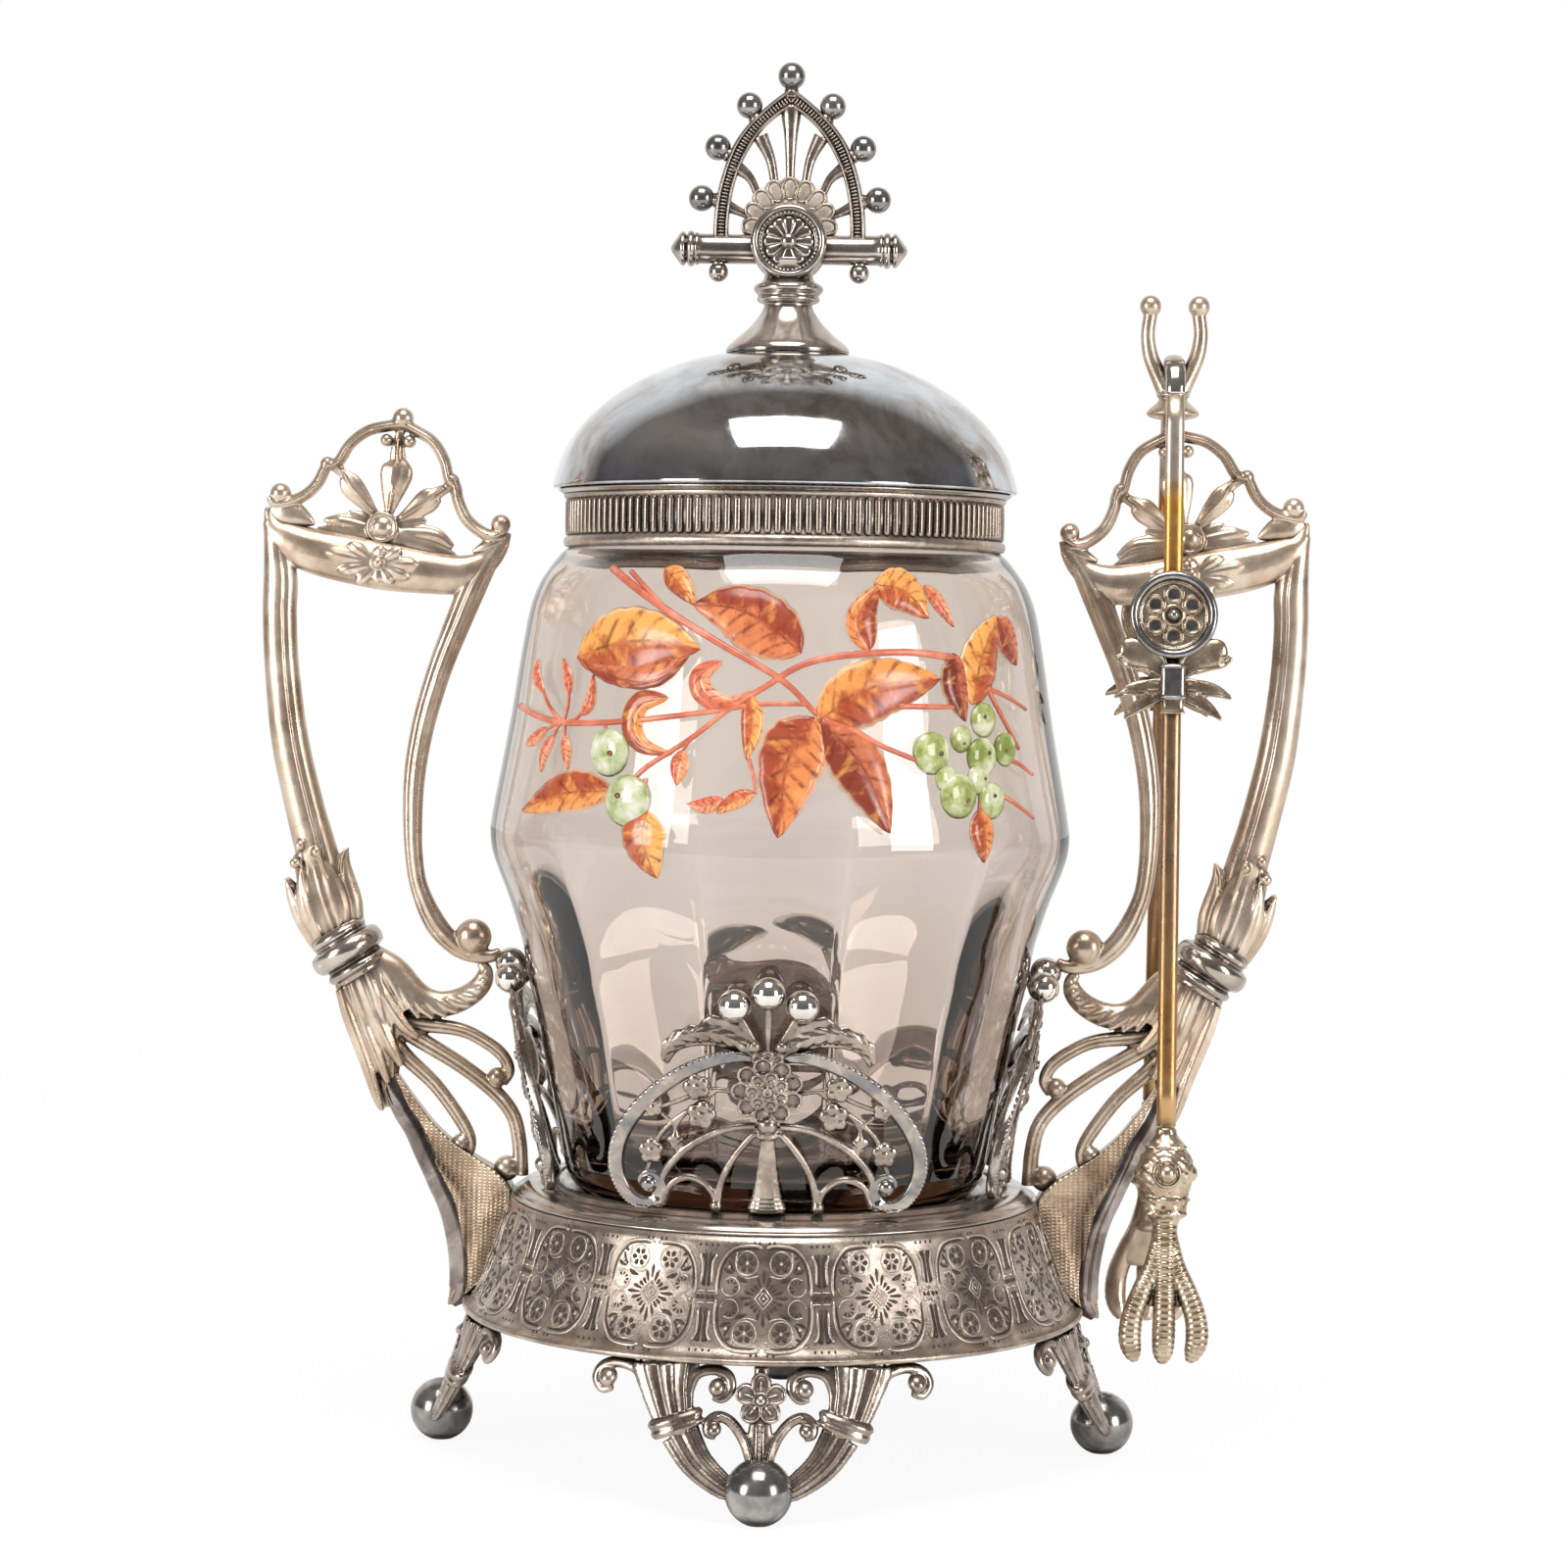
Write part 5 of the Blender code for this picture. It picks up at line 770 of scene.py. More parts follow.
def make_galleries(finish):
    """Four galleries: flat C scrolls, leaves, a flowering vine, arches and a bell under three balls."""
    band = [(2.4, 26.9, 0.7), (5.0, 27.3, 1.0), (8.9, 26.6, 1.2), (14.5, 23.9, 1.3), (20.2, 19.3, 1.35),
            (24.5, 13.4, 1.35), (25.9, 8.4, 1.3), (25.1, 4.3, 1.25), (22.9, 1.7, 1.2), (20.2, 1.2, 1.1),
            (18.2, 3.0, 1.0), (18.5, 5.3, 0.95), (20.2, 6.3, 0.85), (21.6, 5.2, 0.7), (21.2, 3.7, 0.55)]
    hoop = [sweep(flat(band), 20, 0.8, 7, relief=boxy), ball((20.2, -0.4, 4.4), 1.5),
            ball((18.9, -0.1, 1.3), 1.2)]
    # Hammered ticks along the outer edge of the C scroll
    line = smooth_line([row[:2] for row in band[1:10]], 12)
    for (x0, z0), (x1, z1) in zip(line[1:-1:2], line[2::2]):
        length = math.hypot(x1 - x0, z1 - z0) + 1e-9
        out = (-(z1 - z0) / length, (x1 - x0) / length)
        hoop.append(sweep([(x0 + out[0] * s, -1.0, z0 + out[1] * s, 0.16) for s in (1.25, 0.75)], 5, 1.0, 1))
    half = [
        sweep(flat([(2.0, 15.2, 0.7), (5.0, 15.0, 0.7), (8.7, 13.9, 0.72), (14.1, 10.6, 0.75),
                    (17.6, 6.2, 0.75), (18.6, 1.4, 0.8)]), 12, 1.0),
        sweep(flat([(1.2, 14.0, 0.6), (2.8, 13.2, 0.65), (6.0, 9.0, 0.7), (7.9, 4.8, 0.7),
                    (8.7, 0.2, 0.85)]), 12, 1.0),
        sweep(flat([(8.4, 0.8, 0.7), (9.8, 4.0, 0.65), (12.9, 5.9, 0.7), (16.2, 4.8, 0.65),
                    (18.2, 1.0, 0.8)]), 12, 1.0),
        ball((8.7, -0.1, 0.9), 1.15),
        sweep(flat([(4.6, 20.9, 0.5), (8.4, 21.5, 0.5), (11.6, 20.7, 0.5), (15.0, 19.2, 0.45),
                    (18.6, 17.9, 0.4)]), 8),
        sweep(flat([(8.4, 21.4, 0.5), (12.2, 18.3, 0.5), (16.0, 15.4, 0.5), (18.4, 12.6, 0.5),
                    (19.6, 9.2, 0.45), (20.6, 6.4, 0.5)]), 8),
        sweep(flat([(13.6, 17.3, 0.4), (15.3, 14.8, 0.4), (15.5, 12.6, 0.4), (14.2, 10.8, 0.4)]), 8),
        sweep(flat([(15.8, 15.6, 0.4), (18.6, 17.6, 0.35)]), 8),
        sweep(flat([(0.9, 27.0, 0.6), (2.4, 30.2, 0.55), (4.6, 34.2, 0.6)]), 8),
        ball((2.2, -0.6, 29.0), 1.1, (1, 0.8, 1), 10),
    ]
    half += blossom(11.6, 21.9, 2.4) + blossom(10.9, 17.0, 2.6, 0.5) + blossom(19.0, 18.0, 1.7) \
        + blossom(19.6, 10.4, 2.3, 0.3)
    half += leaf([(15.3, 14.2, 0.3), (15.5, 12.4, 1.4), (15.0, 10.2, 0.3)], 0.6)
    half += leaf([(2.0, 27.6, 0.7), (4.8, 29.8, 1.2), (9.0, 31.4, 1.5), (13.2, 30.9, 1.4), (16.2, 28.8, 1.1),
                  (17.2, 26.2, 0.3)], 0.5, -0.2, 26, 2.3)
    half += [sweep(flat([(2.4, 28.6, 0.7), (4.9, 31.8, 1.2), (7.4, 33.2, 1.4), (9.8, 33.2, 1.0),
                         (11.0, 31.8, 0.4)]), 20,
                   0.6, 6, relief=lobed(1.9, 0.3)),
             sweep(flat([(2.2, 27.4, 0.4), (8.6, 29.4, 0.45), (14.2, 28.7, 0.45), (16.8, 25.8, 0.4)], 0.3),
                   8)]
    shapes = mirrored(half)
    shapes.append(sweep(flat([(0.0, 24.0, 0.6), (0.0, 30.0, 0.55), (0.0, 36.6, 0.6)]), 8))
    # Bell with fine turned rings and soft flutes, bulging to its foot
    shapes.append(sweep(flat([(0.0, 13.6, 1.2), (0.0, 12.6, 1.3), (0.0, 8.0, 1.75), (0.0, 4.0, 2.35),
                              (0.0, 1.9, 3.0), (0.0, 1.0, 3.4), (0.0, 0.3, 3.3), (0.0, 0.0, 3.0)]), 44, 0.6,
                        8, relief=belled))
    shapes += [ball((0.0, -0.4, 15.2), 1.7), ball((0.0, -0.2, 13.4), 1.5, (1.2, 0.8, 0.5), 12)]
    # Double flower: nine cupped petals, seven smaller ones on top, a ringed heart
    shapes.append(ball((0.0, 0.3, 21.4), 5.2, (1, 0.28, 1), 20))
    for count, reach, size, y in ((9, 4.35, 1.62, -0.2), (7, 2.45, 1.1, -0.9)):
        for step in range(count):
            a = TURN * (step + 0.5) / count
            x, z = reach * math.cos(a), 21.4 + reach * math.sin(a)
            shapes += [ball((x, y, z), size, (1, 0.5, 1), 12),
                       loop_of(x, z, size * 0.86, size * 0.86, 0.28, y - 0.62 * size)]
    shapes += [ball((0.0, -1.5, 21.4), 1.2, (1, 0.7, 1), 12), loop_of(0.0, 21.4, 0.6, 0.6, 0.26, -2.3)]
    for x, z in ((0.0, 27.5), (-1.6, 26.9), (1.6, 26.9)):
        shapes += [ball((x, -0.2, z), 1.1, (1, 0.6, 1), 10), loop_of(x, z, 0.8, 0.8, 0.26, -0.8)]
    spots = gallery_bend(np.array([(0.0, 0.0, 38.3), (5.4, 0.0, 36.1), (-5.4, 0.0, 36.1)]))
    four_times([
        (cast("gallery_front_cast", shapes, finish["cast"], gallery_bend, 0.19, 1, 0.42), "gallery_"),
        (cast("gallery_front_hoop", mirrored(hoop), finish["blued"], gallery_bend, 0.2, 3, 0.4), ""),
        (solid("gallery_front_balls", [ball(spot, 2.85, sides=32) for spot in spots], finish["bead"]), "")])


# Jar

JAR_OUTER = (
    (35.9, 171.4), (36.6, 171.1), (36.9, 170.4), (36.9, 163.4), (37.6, 163.1), (39.5, 162.7), (41.2, 160.9),
    (42.6, 159.0), (43.9, 157.0), (45.1, 154.2), (46.0, 151.0), (47.4, 143.0), (48.9, 133.0), (50.6, 123.5),
    (52.0, 115.8), (52.4, 112.3), (52.1, 108.8), (51.0, 105.3), (49.2, 100.8), (47.6, 96.0), (46.3, 91.5),
    (45.3, 85.7), (44.0, 80.3), (42.5, 73.0), (41.0, 66.0), (39.7, 59.5), (38.8, 54.7), (38.1, 51.4),
    (37.2, 49.1), (36.1, 48.0), (35.1, 47.5), (33.0, 47.5), (30.0, 48.2), (0.0, 49.2),
)
# Optic panels: their number, where they fade out, and the belly's height, below which they deepen
PANELS, PANELS_LOW, PANELS_HIGH, BELLY_Z = 12, 54.0, 162.0, 112.0


def jar_surface(z):
    """Outer radius of the jar at a height."""
    rows = np.array(JAR_OUTER[4:31])[::-1]
    return np.interp(z, rows[:, 1], rows[:, 0])


def optic(radius, height, angle):
    """Soft optic panels on the inner wall, pressed before the jar was blown out."""
    share = np.clip((height - PANELS_LOW) / 14.0, 0.0, 1.0) * np.clip((PANELS_HIGH - height) / 16.0, 0.0, 1.0)
    inside = radius < jar_surface(np.clip(height, 52.0, PANELS_HIGH)) - 1.0
    wave = np.abs(np.cos(PANELS * angle / 2)) - 0.55
    depth = 0.6 + 1.1 * np.clip((BELLY_Z - height) / 24.0, 0.0, 1.0)
    return radius - np.where(inside, depth * share * wave, 0.0)


def make_jar(finish):
    """The blown jar, its thick foot and its optic panels, as one closed wall."""
    outer = smooth_line(JAR_OUTER, 3)
    inner = [(0.0, 52.6), (18.0, 52.4), (27.5, 52.9), (32.0, 55.0), (34.6, 59.4), (36.0, 64.0)]
    # The wall is 2.5 mm thick and thickens below the belly
    for z in np.linspace(68.0, 158.0, 46):
        inner.append((float(jar_surface(z)) - 2.5 - 2.3 * min(1.0, max(0.0, (BELLY_Z - z) / 34.0)), z))
    inner += [(38.4, 160.6), (35.9, 162.4), (34.9, 163.6), (34.7, 166.0), (34.8, 170.6), (35.2, 171.2)]
    jar = solid("jar_blown", [lathe(np.vstack([inner, outer]), 216, optic)], finish["glass"])
    fitted(jar, "jar", "smoked_glass", "jar_glass")


# Lid and finial

def make_lid(finish):
    """The polished dome, its mouldings and the band with its stamped ribs."""
    outline = [(10.9, 198.3), (11.4, 198.3), (14.2, 197.75), (17.0, 197.1), (20.0, 196.2), (22.9, 195.0),
               (26.0, 193.55), (28.8, 191.9), (31.8, 189.9), (34.6, 187.5), (36.9, 185.1), (38.8, 182.5),
               (40.3, 179.8), (41.25, 177.0), (41.85, 174.7), (41.95, 174.0), (41.6, 173.65), (40.6, 173.6)]
    outer = smooth_line(outline, 4)
    inner = [(r - 0.9, z - 0.7) for r, z in outline[::-1][3:]]
    wall = np.vstack([(2.3, 198.3), outer, (38.3, 173.6), (38.3, 174.4), inner, (2.3, 197.4)])
    dome = solid("dome_spun", [lathe(wall, 256, loop=True)], finish["dome"])
    fitted(dome, "lid", "dark_silver", "lid_dome")
    moulding = smooth_line([(38.4, 173.55), (40.3, 173.55), (40.9, 173.3), (40.4, 172.9), (39.9, 172.6),
                            (38.4, 172.6), (38.4, 173.55)], 3)[:-1]
    lip = solid("dome_lip", [lathe(moulding, 200, loop=True)], finish["spun"])
    fitted(lip, "lid", "silver_plate")
    wall = [(38.6, 172.7), (39.7, 172.7), (40.0, 172.3), (39.6, 171.8), (39.0, 171.5), (38.9, 165.4),
            (39.3, 165.1), (39.85, 164.6), (39.95, 163.9), (39.7, 163.3), (39.0, 163.05), (38.3, 163.05),
            (38.3, 172.7)]
    band = solid("band_sheet", [lathe(wall, 200, loop=True)], finish["stamped"])
    fitted(band, "lid", "silver_plate", "lid_band")
    rib = [sweep([(0.0, -39.0, 165.5, 0.50), (0.0, -39.15, 165.9, 0.60), (0.0, -39.15, 171.0, 0.60),
                  (0.0, -39.0, 171.4, 0.50)], 8, 0.8, 2)]
    ribs = ring_of(solid("band_ribs", rib, finish["rib"]), 140, finish["rib"])
    fitted(ribs, "lid", "silver_plate")
    stem = smooth_line([(2.0, 198.5), (10.3, 198.5), (11.05, 198.7), (11.1, 199.2), (10.5, 200.1),
                        (8.4, 201.9), (6.6, 203.6), (5.2, 205.4), (4.4, 206.9), (4.5, 207.5), (5.3, 207.75),
                        (5.7, 208.3), (5.5, 208.9), (5.7, 209.3), (6.1, 209.7), (6.3, 210.3), (5.9, 210.9),
                        (5.0, 211.4), (4.4, 212.3), (4.5, 214.0), (5.0, 215.5)], 3)
    foot = solid("finial_stem", [lathe(np.vstack([(0.0, 198.5), stem, (0.0, 215.6)]), 96)], finish["spun"])
    fitted(foot, "lid", "dark_silver", "finial_foot")
    pin = [(0.0, 198.4), (2.0, 198.4), (2.0, 191.5), (1.7, 191.3), (0.0, 191.3)]
    stud = solid("finial_stud", [lathe(pin, 32)], finish["gilt"])
    fitted(stud, "lid", "gilt_silver")
    make_finial(finish)


def on_axis(shapes, axis, centre):
    """Turned shapes laid along X or Y and moved to their centre."""
    turn = Matrix.Rotation(math.pi / 2, 4, "Y") if axis == "X" else Matrix.Rotation(math.pi / 2, 4, "X")
    return [moved(shape, Matrix.Translation(centre) @ turn) for shape in shapes]


def make_finial(finish):
    """The cross bar, the boss with its rosettes and the pierced arch with its balls."""
    half = [(0.0, 21.4), (0.7, 21.15), (2.9, 19.55), (3.15, 19.1), (2.9, 18.75), (2.5, 18.6), (2.5, 18.35),
            (3.1, 18.15), (3.25, 17.7), (3.1, 17.25), (2.55, 17.05), (2.9, 16.85), (2.95, 16.5), (2.7, 16.2),
            (2.65, 14.0), (2.65, 5.0)]
    bar = lathe(half + [(r, -z) for r, z in reversed(half)], 48)
    shapes = on_axis([bar], "X", (0.0, 0.0, BAR_Z))
    for x in (12.7, -12.7):
        shapes += [ball((x, 0.0, 213.15), 1.8, sides=24), ball((x, 0.0, 214.7), 1.2, (1, 1, 0.6), 16)]
    fitted(solid("finial_cross_bar", shapes, finish["spun"]), "lid", "silver_plate", "finial_bar")
    # Boss: a drum with a broad smooth rim; on both faces a milled ring and a rosette of twelve petals
    face = [(0.0, 4.0), (4.3, 4.0), (4.7, 4.15), (5.3, 4.35), (5.75, 5.0), (6.4, 4.85), (6.8, 4.2),
            (6.9, 3.0), (6.6, 2.2)]
    outline = smooth_line(face, 3)
    drum = lathe(np.vstack([outline, outline[::-1] * (1, -1)]), 72)
    boss = solid("finial_boss", on_axis([drum], "Y", (0.0, 0.0, HUB_Z)), finish["spun"])
    fitted(boss, "lid", "silver_plate", "finial_hub")
    rosette = []
    petal = ((1.1, 0.45), (2.4, 0.78), (3.5, 1.12), (4.2, 0.95), (4.6, 0.35))
    for side in (1.0, -1.0):
        rosette.append(ball((0.0, 0.0, side * 4.75), 1.45, (1, 1, 0.75), 24))
        for a in np.arange(12) * TURN / 12:
            rosette.append(sweep([(r * math.cos(a), r * math.sin(a), side * 4.05, w) for r, w in petal],
                                 14, 0.5, 4, (0, 0, 1)))
        for a in np.arange(44) * TURN / 44:
            rosette.append(ball((5.15 * math.cos(a), 5.15 * math.sin(a), side * 4.4), 0.28, sides=6))
    rosettes = solid("finial_rosettes", on_axis(rosette, "Y", (0.0, 0.0, HUB_Z)), finish["spun"])
    fitted(rosettes, "lid", "silver_plate")
    # Arch: a flat band between two raised edges, pointed at the top
    edge_out = [(13.7, 219.0), (13.7, 221.5), (13.45, 225.0), (12.7, 229.2), (11.5, 233.2), (9.9, 236.8),
                (7.5, 240.0), (3.7, 243.6), (0.0, 246.1)]
    edge_in = [(11.0, 219.0), (11.0, 221.5), (10.75, 224.6), (10.1, 228.4), (8.9, 232.2), (7.1, 235.8),
               (4.9, 238.9), (2.4, 241.2), (0.0, 242.9)]
    middle = [((a + c) / 2, (b + d) / 2) for (a, b), (c, d) in zip(edge_out, edge_in)]
    edges = [sweep([(x - 0.40 * (x > 0.1), 0.0, z - 0.25, 0.45) for x, z in edge_out], 14, 3.0),
             sweep([(x + 0.30 * (x > 0.1), 0.0, z + 0.2, 0.38) for x, z in edge_in], 14, 3.3)]
    fitted(solid("finial_arch_edges", mirrored(edges), finish["cast"]), "lid", "silver_plate")
    half = [sweep([(x, 0.0, z, 1.2) for x, z in middle], 16, 0.58, 8, relief=boxy)]
    # Spokes, slender at the shell and flared where they meet the arch
    for rows in (
        ((2.7, 228.6, 0.75), (3.6, 233.4, 0.95), (5.5, 237.6, 1.45)),
        ((5.7, 226.8, 0.7), (7.2, 230.0, 0.85), (9.6, 232.0, 1.3)),
        ((7.4, 223.3, 0.7), (9.0, 224.0, 0.8), (11.2, 225.0, 1.15)),
    ):
        half.append(sweep(flat(rows), 14, 0.85, 6))
    # Waisted stalks from the arch to its balls
    for x, z, low_x, low_z in ((7.5, 243.05, 6.3, 240.6), (13.1, 235.5, 11.0, 234.1),
                               (15.9, 226.35, 13.0, 226.0)):
        half.append(sweep(flat([(low_x, low_z, 1.5), ((x + low_x) / 2, (z + low_z) / 2, 1.1), (x, z, 1.3)]),
                          12))
    shapes = mirrored(half)
    shapes.append(sweep(flat([(0.0, 228.0, 0.75), (0.0, 233.0, 0.9), (0.0, 238.0, 1.3), (0.0, 241.0, 1.75),
                              (0.0, 243.0, 1.6)]), 14, 0.8))
    shapes.append(sweep(flat([(0.0, 244.5, 1.5), (0.0, 247.0, 1.1)]), 12))
    arch = cast("finial_arch_cast", shapes, finish["cast"], voxel=0.16, soften=2, keep=0.5)
    fitted(arch, "lid", "silver_plate", "finial_arch")
    # Scalloped shell behind the boss: nine broad lobes side by side, each rimmed and stippled
    lobes, rims = [], []
    shell_z = HUB_Z + 3.3
    lobe = ((1.5, 1.0), (4.4, 1.5), (6.4, 1.85), (7.6, 1.75), (8.4, 1.15), (8.7, 0.3))
    for step in range(9):
        a = math.radians(-14 + 208 * (step + 0.5) / 9)
        out = (math.cos(a), math.sin(a))
        lobes.append(sweep([(out[0] * s, 0.0, shell_z + out[1] * s, w) for s, w in lobe], 20, 0.46, 5))
        rims += both_faces([loop_of(out[0] * 6.5, shell_z + out[1] * 6.5, 1.95, 1.38, 0.20, -0.74, a)])
    fitted(solid("finial_shell", lobes, finish["stipple"]), "lid", "silver_plate")
    fitted(solid("finial_shell_rims", rims, finish["rose"]), "lid", "silver_plate")
    # Milled cross ticks between the band's edges
    line = smooth_line(middle, 24)
    run = np.concatenate([[0.0], np.cumsum(np.linalg.norm(np.diff(line, axis=0), axis=1))])
    ticks = []
    for reach in np.arange(0.8, run[-1] - 0.3, 0.62):
        x, z = np.interp(reach, run, line[:, 0]), np.interp(reach, run, line[:, 1])
        dx, dz = np.interp(reach + 0.2, run, line[:, 0]) - x, np.interp(reach + 0.2, run, line[:, 1]) - z
        length = math.hypot(dx, dz) + 1e-9
        across = (-dz / length, dx / length)
        tick = [(x + across[0] * s, -0.70, z + across[1] * s, 0.17) for s in (-0.72, 0.72)]
        ticks += both_faces([sweep(tick, 6, 1.6, 1)])
    fitted(solid("finial_ticks", mirrored(ticks), finish["rib"]), "lid", "silver_plate")
    balls = [ball((x, 0.0, z), r, sides=32) for x, z, r in (
        (0.0, 248.4, 2.45), (7.5, 243.05, 2.35), (-7.5, 243.05, 2.35), (13.1, 235.5, 2.35),
        (-13.1, 235.5, 2.35), (15.9, 226.35, 2.35), (-15.9, 226.35, 2.35))]
    fitted(solid("finial_balls", balls, finish["ball"]), "lid", "silver_plate")


# Handles: rows (x, z, half width) of the right handle, which the left repeats half a turn round

def make_handles(finish):
    """Each handle: crest with palmette, hollow-backed loop, ringed collar, plumed bracket and blade."""
    pieces = []
    for name, shapes, coat in (
        ("crest", crest_shapes(), "rose"), ("grip", grip_shapes(), "rose"),
        ("collar", collar_shapes(), "spun"), ("bracket", bracket_shapes(), "rose"),
    ):
        pieces.append((cast(f"right_{name}_cast", shapes, finish[coat], voxel=0.2, soften=5, keep=0.4), name))
    pieces += [(solid("right_blade_cheeks", [blade_shape()], finish["woven"]), ""),
               (solid("right_blade_spine", [spine_shape()], finish["spine"]), "")]
    for item, node in pieces:
        for side in ("right", "left"):
            piece = item if side == "right" else turned_copy(item, item.name.replace("right", "left"), 2)
            fitted(piece, "frame", "warm_silver", *([f"{side}_{node}"] if node else []))


def grooved(run, angle):
    """A long groove inside each edge of both faces, as on a palmette's leaf."""
    return 1.0 - 0.20 * np.exp(-((np.abs(np.cos(angle)) - 0.58) / 0.11) ** 2) + 0.0 * run


def channelled(run, angle):
    """A groove down the middle of both faces, as on the bracket's ribs."""
    return 1.0 - 0.24 * np.exp(-(np.cos(angle) / 0.20) ** 2) + 0.0 * run


def moulded(run, angle):
    """A round face, then a narrow groove and a bead along the inner edge of a post."""
    side = np.cos(angle)
    return 1.0 - 0.17 * np.exp(-((side - 0.34) / 0.09) ** 2) - 0.05 * (side > 0.34) + 0.0 * run


def hollowed(run, angle):
    """A groove beside the middle of both faces, as down the slender inner post."""
    return 1.0 - 0.20 * np.exp(-((np.cos(angle) + 0.25) / 0.16) ** 2) + 0.0 * run


def crest_shapes():
    """Two pairs of scrolls ending in volutes, with a rayed palmette under a ball."""
    shapes = []
    for rows in (
        [(93.6, 171.6, 0.8), (92.6, 170.3, 1.05), (90.0, 170.6, 1.1), (87.2, 171.9, 1.1), (85.0, 174.0, 1.1),
         (83.7, 176.6, 1.05), (83.0, 178.2, 0.8)],
        [(82.6, 177.2, 0.8), (81.0, 178.2, 1.05), (79.1, 181.2, 1.05), (76.0, 183.6, 1.05),
         (72.8, 184.5, 1.05), (69.5, 184.8, 1.05), (67.1, 183.8, 1.05), (63.9, 181.8, 1.05),
         (61.9, 178.5, 1.05), (61.1, 175.2, 0.95), (60.6, 174.0, 0.7)],
        [(60.7, 175.6, 0.8), (59.8, 173.8, 1.05), (59.3, 171.2, 1.1), (57.7, 167.9, 1.15),
         (54.9, 165.6, 1.15), (52.6, 165.0, 1.1), (50.4, 165.9, 1.0)],
    ):
        shapes.append(sweep(flat(rows), 14, 1.25, 6))
        shapes += both_faces([sweep(flat([(x, z, w * 0.42) for x, z, w in rows], -1.15), 8, 1.0, 5)])
    # Fillets where the scrolls run into the bar
    shapes += [sweep(flat([(93.6, 169.4, 0.9), (91.4, 168.6, 2.1), (89.0, 168.2, 2.3), (87.0, 167.4, 1.5),
                           (85.4, 166.6, 0.4)]), 18, 0.55),
               sweep(flat([(50.6, 165.2, 0.9), (52.6, 163.6, 1.3), (54.6, 162.8, 1.1), (56.6, 162.0, 0.4)]),
                     14, 0.8)]
    shapes += [ball((91.7, 0.0, 172.1), 1.95, sides=22), ball((51.5, 0.0, 167.1), 1.8, sides=22),
               ball((69.5, 0.0, 186.0), 1.95, sides=22), ball((83.2, 0.0, 177.6), 1.35, (1, 1.2, 1)),
               ball((60.4, 0.0, 174.8), 1.35, (1, 1.2, 1)), ball((72.4, -0.6, 182.0), 1.15),
               ball((68.3, -0.6, 181.8), 1.15), ball((72.4, 0.6, 182.0), 1.15),
               ball((68.3, 0.6, 181.8), 1.15)]
    # Leaves of the palmette: slender root, full blade, stepped shoulders and a small cap
    for rows in (
        [(72.2, 167.6, 0.9), (71.8, 169.2, 0.95), (71.2, 172.8, 2.2), (70.7, 175.4, 2.95),
         (70.5, 177.0, 2.85), (70.4, 177.9, 2.2), (70.4, 178.5, 1.55), (70.4, 180.2, 1.35),
         (70.2, 182.4, 0.9), (69.8, 184.4, 0.9)],
        [(73.4, 167.4, 0.7), (74.8, 169.0, 0.95), (76.9, 171.5, 1.75), (78.6, 173.5, 2.15),
         (79.5, 174.9, 1.75), (80.0, 175.7, 1.1), (81.2, 176.6, 0.95), (83.0, 177.6, 0.7)],
        [(71.4, 167.0, 0.7), (69.6, 167.9, 0.95), (67.2, 169.4, 1.75), (65.1, 171.0, 2.25),
         (63.8, 172.0, 1.9), (63.1, 172.6, 1.2), (61.7, 173.4, 0.95), (60.4, 174.6, 0.7)],
    ):
        shapes.append(sweep(flat(rows), 24, 0.46, 6, relief=grooved))
        shapes += both_faces([sweep(flat([(x, z, 0.26) for x, z, w in rows[1:-1]], -1.02), 6, 1.0, 4)])
    for rows in (
        [(73.6, 165.6, 0.9), (77.2, 166.5, 1.45), (80.4, 167.2, 1.45), (82.2, 167.3, 1.0),
         (83.8, 167.5, 0.4)],
        [(74.8, 167.0, 0.6), (77.2, 168.2, 0.9), (79.4, 169.0, 0.4)],
        [(71.4, 165.5, 0.9), (67.6, 165.3, 1.5), (64.4, 165.1, 1.6), (62.3, 164.4, 1.2), (60.2, 162.8, 0.6)],
        [(70.2, 166.4, 0.6), (67.4, 167.2, 0.9), (65.0, 167.6, 0.4)],
    ):
        shapes.append(sweep(flat(rows), 20, 0.6, 6, relief=grooved))
    # Web that ties the leaves to the bar
    shapes.append(sweep(flat([(85.0, 165.6, 0.6), (79.6, 165.4, 1.5), (73.6, 164.8, 2.0), (67.4, 163.6, 1.9),
                              (61.8, 161.8, 1.2), (59.4, 160.8, 0.6)]), 16, 0.55))
    shapes += both_faces([ball((73.0, -0.5, 166.2), 2.05, (1, 0.75, 1), 22),
                          loop_of(73.0, 166.2, 2.5, 2.5, 0.42, -1.15, sides=10)])
    shapes.append(ball((73.0, 0.0, 166.2), 2.9, (1, 0.42, 1), 24))
    return shapes


